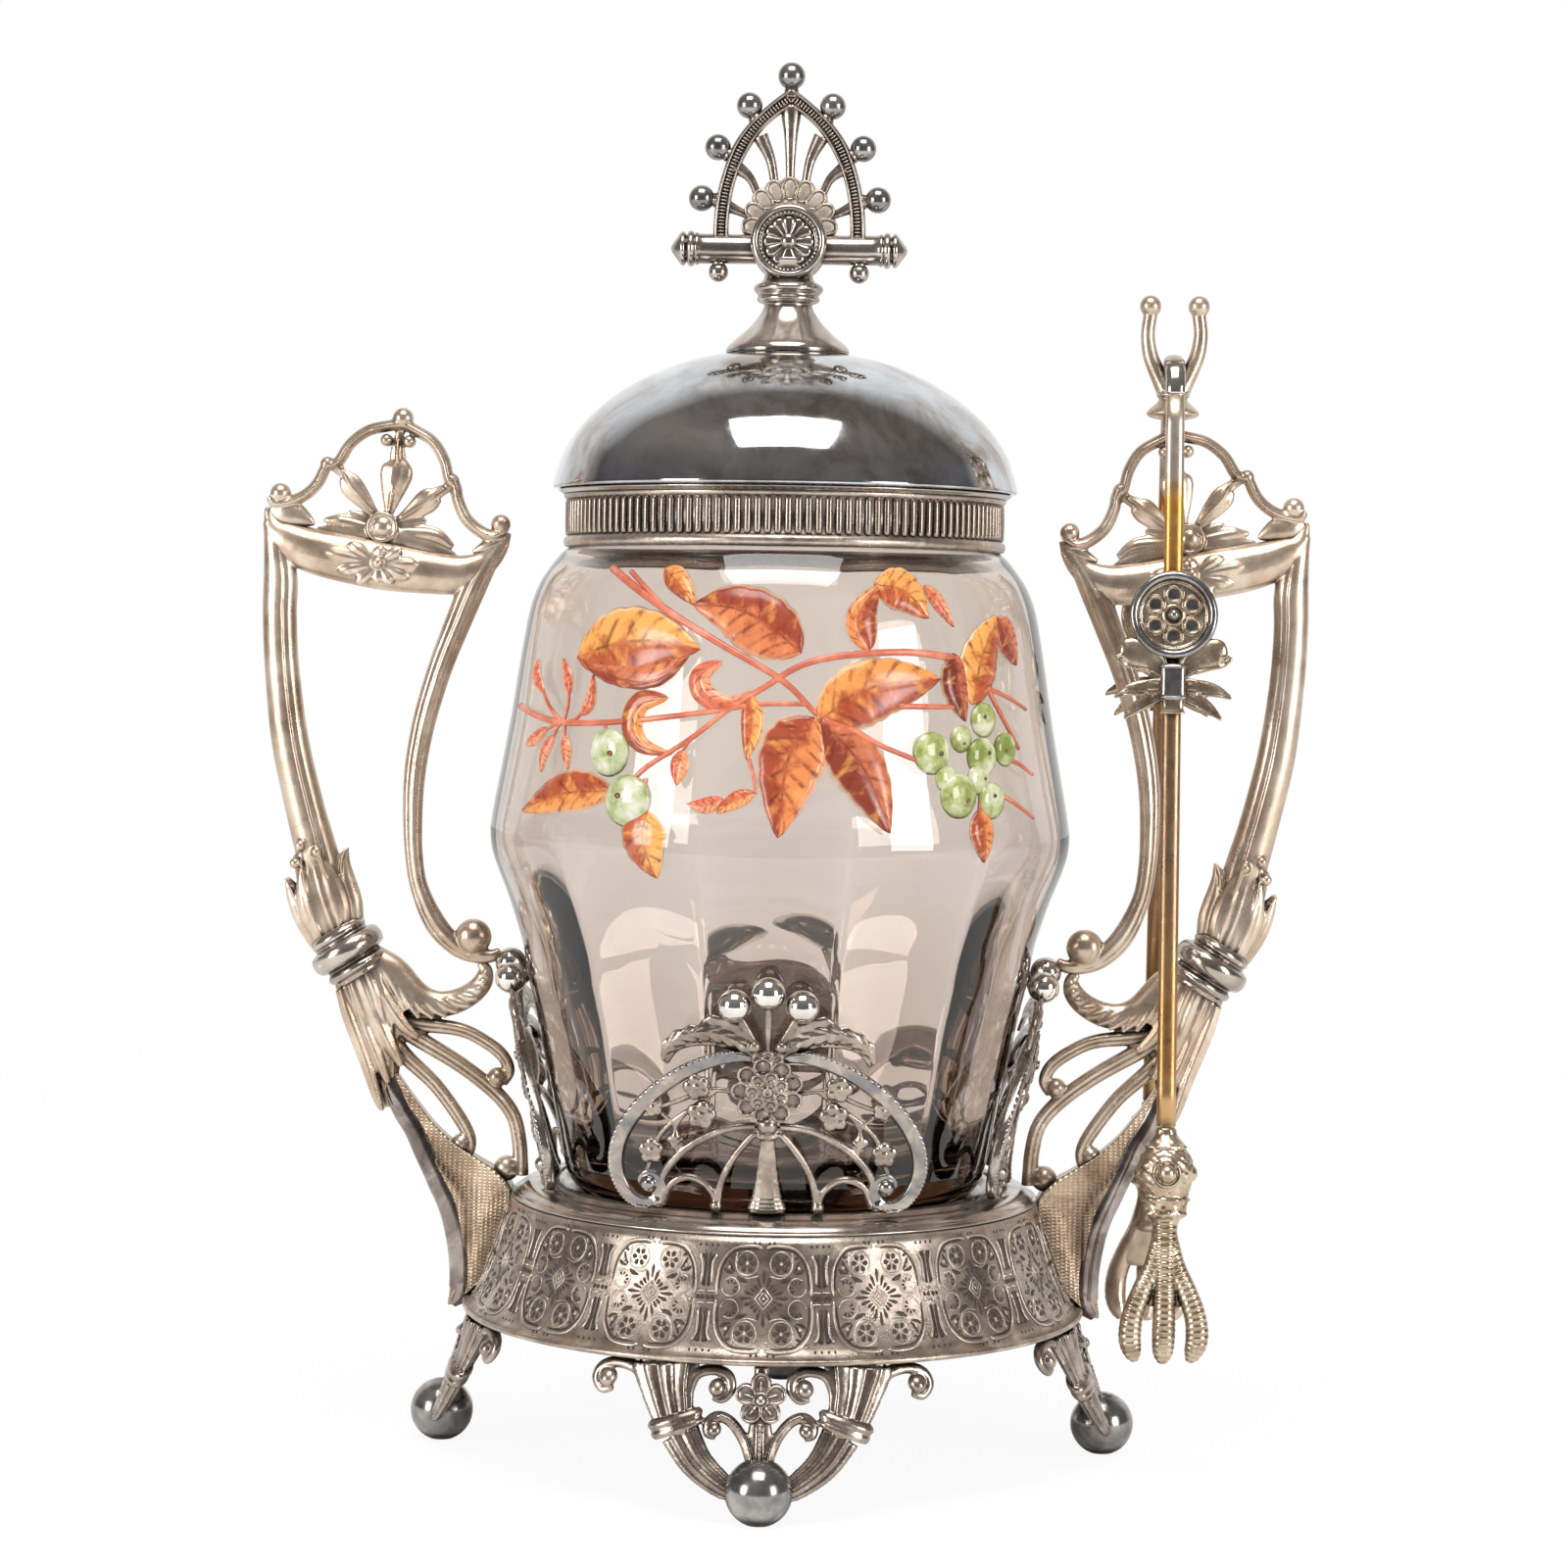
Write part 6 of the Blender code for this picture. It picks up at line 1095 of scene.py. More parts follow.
def grip_shapes():
    """Spindle top bar with a sprig, moulded outer post in a leafy sheath, slender inner post."""
    bar = [(94.2, 169.6, 0.4), (93.6, 167.6, 1.15), (92.0, 164.9, 2.7), (87.6, 162.5, 3.85),
           (83.4, 161.3, 4.3), (78.0, 160.3, 4.5), (72.0, 159.2, 4.45), (64.3, 158.2, 3.9),
           (60.0, 157.9, 3.6), (56.6, 158.8, 2.9), (53.6, 160.6, 2.1), (51.4, 163.0, 1.35),
           (49.9, 165.6, 0.4)]
    shapes = [sweep(flat(bar), 28, 0.72, 8)]
    post = [(93.7, 167.2, 1.2), (92.4, 163.0, 2.3), (91.5, 157.0, 3.2), (91.55, 150.0, 3.2),
            (91.0, 140.0, 3.25), (89.4, 127.3, 3.5), (86.7, 115.6, 3.65), (84.6, 108.0, 3.9),
            (82.4, 100.0, 4.1)]
    shapes.append(sweep(flat(post), 56, 0.80, 6, relief=moulded))
    inner = [(51.6, 163.8, 1.0), (53.8, 160.4, 1.9), (56.3, 156.0, 2.5), (59.05, 149.3, 2.4),
             (62.0, 141.65, 2.25), (64.5, 133.4, 2.15), (65.9, 127.0, 2.05), (66.7, 121.0, 1.95),
             (66.95, 114.6, 1.8), (66.7, 107.4, 1.65), (65.6, 100.9, 1.65), (62.6, 94.4, 2.0),
             (58.8, 90.3, 1.8), (55.2, 88.7, 1.5), (52.2, 88.6, 1.2), (50.6, 89.5, 0.8)]
    shapes.append(sweep(flat(inner), 40, 0.92, 6, relief=hollowed))
    shapes += [ball((55.6, 0.0, 92.0), 3.35, (1, 0.86, 1), 28)]
    # Leaf sheath above the collar: long ribbed leaves that lie on the post, with three small balls
    shapes.append(sweep(flat([(79.2, 90.2, 4.5), (80.9, 94.2, 4.7), (82.6, 98.8, 4.7), (84.0, 103.4, 4.3),
                              (85.2, 107.4, 3.8)]), 48, 0.76, 6, relief=fluted(18, 0.07)))
    for rows, y in (
        ([(77.2, 93.2, 1.6), (78.3, 98.0, 2.3), (79.5, 102.6, 2.0), (79.6, 105.4, 1.3), (78.9, 107.8, 0.3)],
         -0.9),
        ([(79.2, 92.2, 1.5), (80.3, 97.4, 2.5), (82.0, 102.4, 2.1), (83.4, 106.8, 0.3)], -2.3),
        ([(82.6, 91.0, 1.5), (84.6, 96.0, 2.4), (86.0, 101.0, 1.9), (86.8, 105.6, 0.3)], -2.3),
        ([(84.0, 90.2, 1.5), (86.1, 94.8, 2.2), (88.0, 98.8, 1.8), (89.9, 102.3, 0.3)], -0.9),
    ):
        shapes += both_faces([sweep(flat(rows, y), 26, 0.55, 8, relief=fluted(10, 0.10))])
        shapes += both_faces([sweep(flat([(x, z, 0.24) for x, z, w in rows], y - 1.1), 6, 1.0, 4)])
    for x, z in ((87.0, 108.3), (84.0, 107.2), (87.9, 105.1)):
        shapes += both_faces([ball((x, -3.0, z), 1.05, sides=14)])
    # Sprig on the middle of the bar: broad veined leaflets about a bud
    for turn, reach, w in ((0.20, 10.0, 1.35), (0.62, 6.4, 1.1), (-0.18, 7.4, 1.3), (-0.75, 5.4, 1.2),
                           (3.15, 7.2, 1.35), (2.55, 5.2, 1.1), (3.55, 6.2, 1.3), (4.1, 4.6, 1.1),
                           (1.75, 3.4, 1.1), (4.75, 3.6, 1.0)):
        rows = [(73.4 + reach * s * math.cos(turn), 159.6 + reach * s * math.sin(turn), w * k)
                for s, k in ((0.08, 0.35), (0.45, 0.8), (0.7, 1.0), (0.88, 0.7), (1.0, 0.2))]
        shapes += both_faces([sweep(flat(rows, -2.85), 14, 0.55, relief=grooved)])
    shapes += both_faces([ball((73.4, -3.2, 159.8), 1.15, sides=12)])
    return shapes


def collar_shapes():
    """The ringed collar, tilted with the handle."""
    profile = [(0.0, 4.9), (4.4, 4.9), (5.0, 4.6), (5.5, 3.9), (5.4, 3.2), (5.0, 2.8), (5.4, 2.5),
               (6.5, 2.0), (7.0, 0.9), (7.0, -0.1), (6.5, -1.2), (5.3, -1.7), (5.0, -2.0), (5.6, -2.4),
               (5.9, -3.0), (5.6, -3.7), (4.9, -4.1), (4.6, -4.9), (0.0, -4.9)]
    turn = Matrix.Translation((78.35, 0.0, 88.85)) @ Matrix.Rotation(math.radians(32), 4, "Y")
    return [moved(lathe(smooth_line(profile, 3).tolist(), 64), turn)]


def bracket_shapes():
    """Plumed horn and three ribs with balls."""
    horn = [(77.4, 87.0, 5.0), (76.0, 84.6, 5.3), (74.6, 81.2, 5.5), (72.8, 75.6, 4.6), (71.6, 69.5, 3.1),
            (71.1, 64.5, 2.1), (70.9, 60.6, 1.1)]
    shapes = [sweep(flat(horn), 60, 0.70, 7, relief=fluted(18, 0.13))]
    # Feathers of the plume: long curved barbs that fan from the collar and end in soft tips
    for rows in (
        [(79.4, 82.2, 1.1), (77.6, 77.0, 1.45), (74.8, 69.6, 1.3), (72.6, 62.6, 0.9), (71.6, 60.2, 0.5)],
        [(77.4, 82.4, 1.1), (75.4, 77.0, 1.4), (72.8, 70.4, 1.25), (70.6, 65.2, 0.6)],
        [(75.2, 83.4, 1.1), (73.2, 78.4, 1.4), (70.4, 72.4, 1.3), (68.2, 68.4, 0.6)],
        [(73.2, 84.6, 1.1), (71.0, 80.4, 1.3), (67.8, 75.8, 1.2), (65.2, 73.6, 0.6)],
    ):
        shapes += both_faces([sweep(flat(rows, -2.1), 14, 0.85, relief=grooved)])
    plume = [(74.6, 86.8, 3.8), (70.6, 84.9, 3.5), (66.6, 80.9, 3.3), (62.5, 79.6, 2.5), (58.8, 80.1, 2.25),
             (55.6, 81.8, 2.05), (53.7, 84.0, 1.8), (53.4, 86.1, 1.3), (54.4, 87.3, 0.7)]
    shapes.append(sweep(flat(plume), 30, 0.72, 8))
    line = smooth_line(plume, 8)
    for start in range(4, len(line) - 12, 5):
        (x0, z0, w0), (x1, z1, w1), (x2, z2, w2) = line[start], line[start + 5], line[start + 10]
        rows = [(x0, z0 + 0.45 * w0, 0.35), (x1, z1 - 0.25 * w1, 0.75), (x2, z2 - 0.98 * w2, 0.45)]
        shapes += both_faces([sweep(flat(rows, -0.62 * w1), 10, 0.8, 5)])
    # Ribs, each channelled down its faces
    for rows in (
        [(72.4, 77.0, 1.7), (65.1, 75.9, 1.45), (57.8, 75.0, 1.3), (53.2, 72.9, 1.25), (50.0, 70.4, 1.2),
         (48.8, 67.6, 1.1), (49.9, 65.3, 0.9)],
        [(71.0, 76.6, 1.7), (66.0, 73.5, 1.6), (57.7, 68.6, 1.5), (51.3, 63.7, 1.45), (48.0, 59.6, 1.4),
         (46.8, 55.0, 1.4), (46.5, 51.0, 1.45), (46.6, 48.6, 1.7)],
        [(70.0, 72.4, 1.7), (67.2, 69.4, 1.5), (62.3, 64.9, 1.35), (58.1, 59.4, 1.3), (55.9, 55.4, 1.2),
         (56.0, 52.6, 1.05), (57.4, 52.1, 0.8)],
    ):
        shapes.append(sweep(flat(rows), 20, 0.95, relief=channelled))
    return shapes + [ball((50.9, 0.0, 66.4), 1.85, sides=20), ball((57.4, 0.0, 54.1), 1.85, sides=20),
                     ball((49.0, 0.0, 49.8), 2.35, sides=24)]


# Blade: spine (x, z), lip (x, z) and half thickness, from the plume down to the point
BLADE = (
    (72.3, 66.0, 69.2, 67.0, 1.3), (71.2, 62.6, 67.2, 64.0, 1.9), (69.6, 59.2, 64.8, 60.8, 2.1),
    (67.6, 56.0, 62.2, 57.6, 2.2), (65.9, 52.2, 58.6, 54.4, 2.5), (64.3, 48.9, 54.4, 51.6, 3.0),
    (63.0, 46.0, 50.6, 49.2, 3.8), (61.7, 43.3, 48.0, 46.0, 4.6), (60.6, 40.2, 48.9, 41.8, 5.0),
    (59.8, 36.6, 50.2, 37.6, 4.9), (59.3, 33.4, 51.7, 33.6, 4.4), (59.1, 30.2, 53.3, 29.9, 3.5),
    (59.2, 27.2, 55.6, 27.2, 2.1), (59.5, 24.5, 58.4, 24.7, 0.7), )


def blade_shape():
    """The blade's hollow woven cheeks and the two lips that hug the skirt."""
    rings = []
    section = smooth_line([(0.0, 0.05, 0.0), (0.05, 0.40, 0.0), (0.14, 0.66, 0.0), (0.26, 0.86, 0.0),
                           (0.34, 0.90, 0.02), (0.42, 0.76, 0.03), (0.54, 0.72, 0.10), (0.68, 0.76, 0.26),
                           (0.82, 0.85, 0.54), (0.93, 0.94, 0.82), (1.0, 1.0, 1.0)], 3)
    for sx, sz, ix, iz, wide in smooth_line(BLADE, 8):
        body, flare = min(wide, 2.0), max(wide - 2.0, 0.0)
        # From the spine over a ridge, down into the hollow cheek and out to the lip
        ring = [(sx + (ix - sx) * share, -(body * rise + flare * spread), sz + (iz - sz) * share)
                for share, rise, spread in section]
        rings.append(ring + [(x, -y, z) for x, y, z in reversed(ring)])
    count = len(rings[0])
    points = np.array(rings).reshape(-1, 3)
    faces = grid_faces(len(rings), count) + [list(range(count))[::-1],
                                             list(range(len(points) - count, len(points)))]
    return points, faces


def spine_shape():
    """The blade's rounded back, polished and dark, from the plume's tip to the point."""
    rows = []
    for sx, sz, ix, iz, wide in BLADE:
        half = 1.15 * (0.9 * min(wide, 2.0) + 0.2)
        share = (half - 0.15) / math.hypot(ix - sx, iz - sz)
        rows.append((sx + (ix - sx) * share, 0.0, sz + (iz - sz) * share, half))
    return sweep(rows, 32, 0.87, 8)


# Tongs: heights on an arm, down from its own hinge
DISC_Z, BOW_Z, CLAW_Z = -39.6, -51.6, -130.3
# Outer face of an arm's rod
ARM_FACE = -1.45


def make_fork(finish):
    """The fork on the right crest: flared collar and two tines with ball tips."""
    profile = [(0.0, 6.6), (2.0, 6.2), (2.3, 5.2), (2.9, 4.9), (3.0, 4.4), (2.5, 4.0), (2.9, 3.2), (4.1, 2.2),
               (4.7, 1.5), (4.6, 0.9), (3.8, 0.5), (2.4, 0.2), (1.9, 0.0), (1.9, -1.2), (0.0, -1.2)]
    shapes = [moved(lathe(smooth_line(profile, 3).tolist(), 48), Matrix.Translation((TONG_X, 0.0, 187.5)))]
    tine = ((4.35, 206.6, 1.25), (4.75, 203.0, 1.3), (4.35, 199.8, 1.4), (3.45, 197.2, 1.45),
            (2.3, 194.8, 1.6), (1.0, 192.4, 1.9))
    for side in (1, -1):
        shapes.append(sweep(flat([(TONG_X + side * x, z, w) for x, z, w in tine]), 20, 1.0, 8))
        shapes.append(ball((TONG_X + side * 4.35, 0.0, 208.0), 1.95, sides=28))
    fitted(cast("tong_fork_cast", shapes, finish["rose"], voxel=0.16, soften=6, keep=0.5), "frame",
           "warm_silver", "tong_fork")


def make_tongs(finish):
    """The bend over the fork and two arms with their discs, bows and claws."""
    arc = []
    split = 0.3 / LOOP_RADIUS
    for step in range(25):
        a = -SPLAY + split + (math.pi + 2 * (SPLAY - split)) * step / 24
        arc.append((TONG_X, -LOOP_RADIUS * math.cos(a), LOOP_Z + LOOP_RADIUS * math.sin(a), 1.85
                    if 4 < step < 20 else 1.75))
    bend = solid("tong_bend_rod", [sweep(arc, 24, 0.66, 2, (0.0, 0.3, -1.0), rod_section)], finish["bend"])
    fitted(bend, "tongs", "gilt_silver", "tong_bend")
    hinge = Vector((TONG_X, LOOP_RADIUS * math.cos(SPLAY), LOOP_Z - LOOP_RADIUS * math.sin(SPLAY)))
    castings = {"arm": (arm_shapes(), finish["rod"]), "disc": (disc_shapes(), finish["gilt"]),
                "bow": (bow_shapes(), finish["gilt"]), "claw": (claw_shapes(), finish["gilt"])}
    for name, side, half_turn in (("front", -1.0, 0.0), ("back", 1.0, math.pi)):
        place = Matrix.Translation((hinge.x, side * hinge.y, hinge.z)) @ Matrix.Rotation(half_turn, 4, "Z") \
            @ Matrix.Rotation(-SPLAY, 4, "X")
        for part, (shapes, coat) in castings.items():
            set_up = [moved(shape, place) for shape in shapes]
            if part == "arm":
                item = solid(f"{name}_arm_rod", set_up, coat)
            else:
                item = cast(f"{name}_{part}_cast", set_up, coat, voxel=0.17, soften=1, keep=0.5)
            if part == "claw":
                # The hollow inner side was left smooth and pale
                coated(item, finish["rose"], lambda spot, way: spot.z < 44.0 and way.y * side < -0.45)
            fitted(item, f"tongs_{name}", "gilt_silver", f"{name}_{part}")
        darker = [moved(shape, place) for shape in disc_rim_shapes()]
        fitted(solid(f"{name}_disc_rim", darker, finish["ball"]), f"tongs_{name}", "gilt_silver")


def rod_section(run, angle):
    """A drawn rod: round at the front, a little flattened at the sides."""
    return (np.abs(np.cos(angle)) ** 2.3 + np.abs(np.sin(angle)) ** 2.3) ** (-1 / 2.3) + 0.0 * run


def arm_shapes():
    """The straight rod of an arm, from its own hinge down."""
    return [sweep([(0.0, 0.0, z, 1.7) for z in (0.0, -60.0, -130.0)], 20, 0.68, 12, relief=rod_section)]


def torus(radius, z, wide, high, steps=24, sides=8):
    """A turned ring with an oval section."""
    section = [(radius + wide * math.cos(a), z + high * math.sin(a))
               for a in np.linspace(0, TURN, sides, endpoint=False)]
    return lathe(section, steps, loop=True)


def disc_cups():
    """Centres of the six cups, (x, y) on the disc."""
    return [(3.75 * math.cos(a), 3.75 * math.sin(a)) for a in np.arange(6) * TURN / 6 + TURN / 12]


def disc_shapes():
    """The round boss: a dished plate with six sunk cups about a ball."""
    plate = [(0.0, 0.95), (5.6, 0.95), (5.9, 1.35), (6.2, 1.35), (6.5, 1.0), (7.5, 0.9), (7.6, 0.6),
             (7.2, 0.05), (0.0, 0.05)]
    shapes = [lathe(smooth_line(plate, 2).tolist(), 72)]
    shapes += [moved(torus(1.35, 0.0, 0.26, 0.34), Matrix.Translation((x, y, 1.05))) for x, y in disc_cups()]
    shapes.append(torus(1.6, 1.0, 0.25, 0.22, 28))
    return on_axis(shapes, "Y", (0.0, ARM_FACE, DISC_Z))


def disc_rim_shapes():
    """The boss's rolled rim, its middle ball, the dark floors of its cups and the bow's knot."""
    shapes = [torus(7.05, 1.35, 0.78, 0.72, 72, 14), ball((0.0, 0.0, 1.45), 1.0, sides=20)]
    shapes += [ball((x, y, 0.95), 1.1, (1, 1, 0.12), 18) for x, y in disc_cups()]
    knot = [(0.0, -2.55, BOW_Z + z, w) for z, w in (
        (3.2, 1.9), (2.7, 2.4), (2.1, 2.2), (-2.1, 2.2), (-2.7, 2.4), (-3.2, 1.9))]
    return on_axis(shapes, "Y", (0.0, ARM_FACE, DISC_Z)) + [sweep(knot, 32, 0.62, 6, relief=boxy)]


def bow_shapes():
    """The bow: two cupped loops and two pointed tails a side, on a short collar."""
    front = ARM_FACE - 1.0
    half = []
    for rows, depth, rim in (
        (((1.2, 1.4, 1.2), (3.4, 3.4, 2.0), (5.8, 4.8, 2.75), (7.8, 5.2, 2.7), (9.0, 5.1, 1.8),
          (9.6, 5.0, 0.5)), 0.32, 0.34),
        (((1.4, -0.8, 1.0), (4.6, -0.9, 1.45), (7.6, -1.4, 1.15), (10.2, -2.4, 0.3)), 0.42, 0.22),
        (((1.6, -2.2, 1.0), (4.2, -3.2, 1.35), (6.4, -4.6, 1.1), (8.5, -6.2, 0.3)), 0.42, 0.22),
    ):
        half.append(sweep([(x, front, BOW_Z + z, w) for x, z, w in rows], 24, depth, 6))
        edge = [(x + 0.30 * w * up, front - 0.3, BOW_Z + z - 0.85 * w * up, rim) for up in (1, -1)
                for x, z, w in rows[1::up]]
        half.append(sweep(edge, 8, 1.1, 4))
        half += [sweep([(1.8, front - 0.4, BOW_Z + rows[0][1] + s * 0.7, 0.24),
                        (4.2, front - 0.55, BOW_Z + rows[1][1] + s * 1.0, 0.10)], 6, 1.0, 2)
                 for s in (-1.0, -0.3, 0.4, 1.1)]
    shapes = mirrored(half)
    shapes.append(sweep([(0.0, front - 0.1, BOW_Z + z, w)
                         for z, w in ((-2.8, 1.9), (-4.6, 1.9), (-5.6, 2.3))], 24, 0.60, 6, relief=boxy))
    return shapes


def claw_shapes():
    """The bird's claw: banded bulb with bosses, ringed neck, webbed and scaled toes with blunt nails."""
    bulb = [(0.0, 0.0), (1.7, -0.05), (2.0, -1.2), (3.4, -2.9), (3.8, -3.3), (3.5, -3.8), (4.3, -4.6),
            (4.9, -6.4), (5.0, -8.0), (4.6, -9.8), (4.1, -11.6), (4.0, -12.1), (4.3, -12.6), (4.0, -13.1),
            (3.8, -13.6), (3.7, -14.6), (3.9, -15.1), (3.4, -15.6), (2.6, -16.2), (2.2, -17.6), (2.1, -20.0),
            (2.3, -22.4), (2.6, -24.0), (0.0, -25.5)]
    body = lathe(smooth_line([(r, CLAW_Z + z) for r, z in bulb], 3).tolist(), 56,
                 lambda r, z,
                 a: r * (1 + 0.035 * np.cos(11 * a) * np.cos(TURN * z / 1.7) * (z > CLAW_Z - 16)))
    shapes = [(body[0] * np.array((1.0, 0.78, 1.0)), body[1])]
    for x, y in ((0.0, -3.7), (0.0, 3.7), (3.9, 0.0), (-3.9, 0.0)):
        shapes += [ball((x, y, CLAW_Z - 7.9), 1.75, sides=20)]
        if x == 0.0:
            shapes.append(loop_of(0.0, CLAW_Z - 7.9, 2.25, 2.25, 0.3, y * 0.98, sides=8))

    def scaled(run, angle):
        return 1.0 + 0.09 * np.cos(TURN * run / 1.05) * np.clip(-1.5 * np.sin(angle) + 0.2, 0.0, 1.0)

    toes = [[(0.0, 0.0, -15.6, 2.2), (0.0, -0.3, -21.0, 2.15), (0.0, -0.9, -26.0, 1.9),
             (0.0, -0.9, -31.0, 1.95), (0.0, -0.2, -36.0, 2.05), (0.0, 1.2, -39.4, 1.8),
             (0.0, 2.4, -41.2, 0.9)]]
    for side in (1.0, -1.0):
        toes.append([(side * 0.8, 0.0, -19.6, 1.6), (side * 2.0, -0.4, -24.4, 1.75),
                     (side * 3.9, -0.6, -28.6, 1.85), (side * 5.5, -0.4, -33.0, 1.95),
                     (side * 5.9, 0.4, -36.8, 2.0), (side * 5.4, 1.6, -39.4, 1.65),
                     (side * 4.8, 2.6, -41.0, 0.8)])
    for rows in toes:
        shapes.append(sweep([(x, y, CLAW_Z + z, w) for x, y, z, w in rows], 20, 0.86, 14, (0.0, 1.0, 0.2),
                            scaled))
    web = [(0.0, 0.5, -16.0, 2.0), (0.0, 0.5, -21.0, 2.7), (0.0, 0.4, -25.0, 3.9), (0.0, 0.3, -28.6, 5.2),
           (0.0, 0.3, -30.6, 5.2), (0.0, 0.3, -31.4, 3.4)]
    shapes.append(sweep([(x, y, CLAW_Z + z, w) for x, y, z, w in web], 24, 0.2, 6))
    return shapes


# Enamel: a common spray of leaves, stems and berries, raised on the front of the jar.
# Places are (x, z) as seen from the front.

def on_jar(x, z):
    """Distance round the jar of a place seen from the front."""
    reach = float(jar_surface(z))
    return reach * math.asin(max(-0.999, min(0.999, x / reach)))


def wrapped(flat_points):
    """Flat enamel (distance round, lift, height) laid on the jar's wall."""
    reach = jar_surface(flat_points[:, 2])
    angle = flat_points[:, 0] / reach
    out = reach + flat_points[:, 1]
    return np.stack([out * np.sin(angle), -out * np.cos(angle), flat_points[:, 2]], 1)


def enamel_leaf(spine, wide, bow=0.35, thick=0.75):
    """A leaf's flat points, faces, (along, across) places: pointed, its widest part near the root."""
    along, across = 30, 11
    rows = smooth_line([(on_jar(x, z), z) for x, z in spine], max(3, along // (len(spine) - 1)))
    ahead = np.gradient(rows, axis=0)
    ahead /= np.linalg.norm(ahead, axis=1)[:, None]
    side = np.stack([-ahead[:, 1], ahead[:, 0]], 1)
    s = np.linspace(0.0, 1.0, len(rows))
    teeth = 1 + 0.07 * np.abs(np.sin(s * 21)) * (wide > 2.5)
    half = wide * (np.sin(math.pi * s ** 0.80) ** 0.8) * teeth + 0.04
    t = np.linspace(-1.0, 1.0, across)
    offset = half[:, None] * (t + bow * (1 - t ** 2) * np.sin(math.pi * s)[:, None])
    spots = rows[:, None] + side[:, None] * offset[..., None]
    lift = thick * (1 - t ** 4)[None] * (0.35 + 0.65 * np.sin(math.pi * s) ** 0.5)[:, None] \
        - 0.22 * thick * np.exp(-(t / 0.12) ** 2)[None]
    top = np.stack([spots[..., 0], lift, spots[..., 1]], -1).reshape(-1, 3)
    low = top.copy()
    low[:, 1] = -0.15
    count = len(rows)
    faces = []
    for i in range(count - 1):
        for j in range(across - 1):
            a = i * across + j
            faces.append([a, a + 1, a + across + 1, a + across])
            faces.append([len(top) + a + across, len(top) + a + across + 1, len(top) + a + 1, len(top) + a])
    rim = [i * across for i in range(count)] + [(count - 1) * across + j for j in range(1, across)] \
        + [i * across + across - 1 for i in range(count - 2, -1, -1)] + [j for j in range(across - 2, 0, -1)]
    for a, b in zip(rim, rim[1:] + rim[:1]):
        faces.append([a, b, len(top) + b, len(top) + a])
    places = np.stack([np.repeat(s, across), np.tile(t * 0.5 + 0.5, count)], 1)
    return np.vstack([top, low]), faces, np.vstack([places, places])


def enamel_piece(name, leaves, material):
    """One object of wrapped enamel forms, with the leaf map and a tone for each form."""
    points, faces = together([(wrapped(p), f) for p, f, uv, tone in leaves])
    item = solid(name, [(points, faces)], material, tidy=False)
    work = bmesh.new()
    work.from_mesh(item.data)
    bmesh.ops.recalc_face_normals(work, faces=work.faces)
    work.to_mesh(item.data)
    work.free()
    places = np.vstack([uv for p, f, uv, tone in leaves])
    tones = np.concatenate([np.full(len(p), tone) for p, f, uv, tone in leaves])
    corner = np.zeros(len(item.data.loops), np.int32)
    item.data.loops.foreach_get("vertex_index", corner)
    leaf_map = item.data.uv_layers.new(name="leaf")
    leaf_map.data.foreach_set("uv", places[corner].astype(np.float32).ravel())
    item.data.attributes.new("tone", "FLOAT", "POINT").data.foreach_set("value", tones.astype(np.float32))
    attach(item, "jar")
    return item


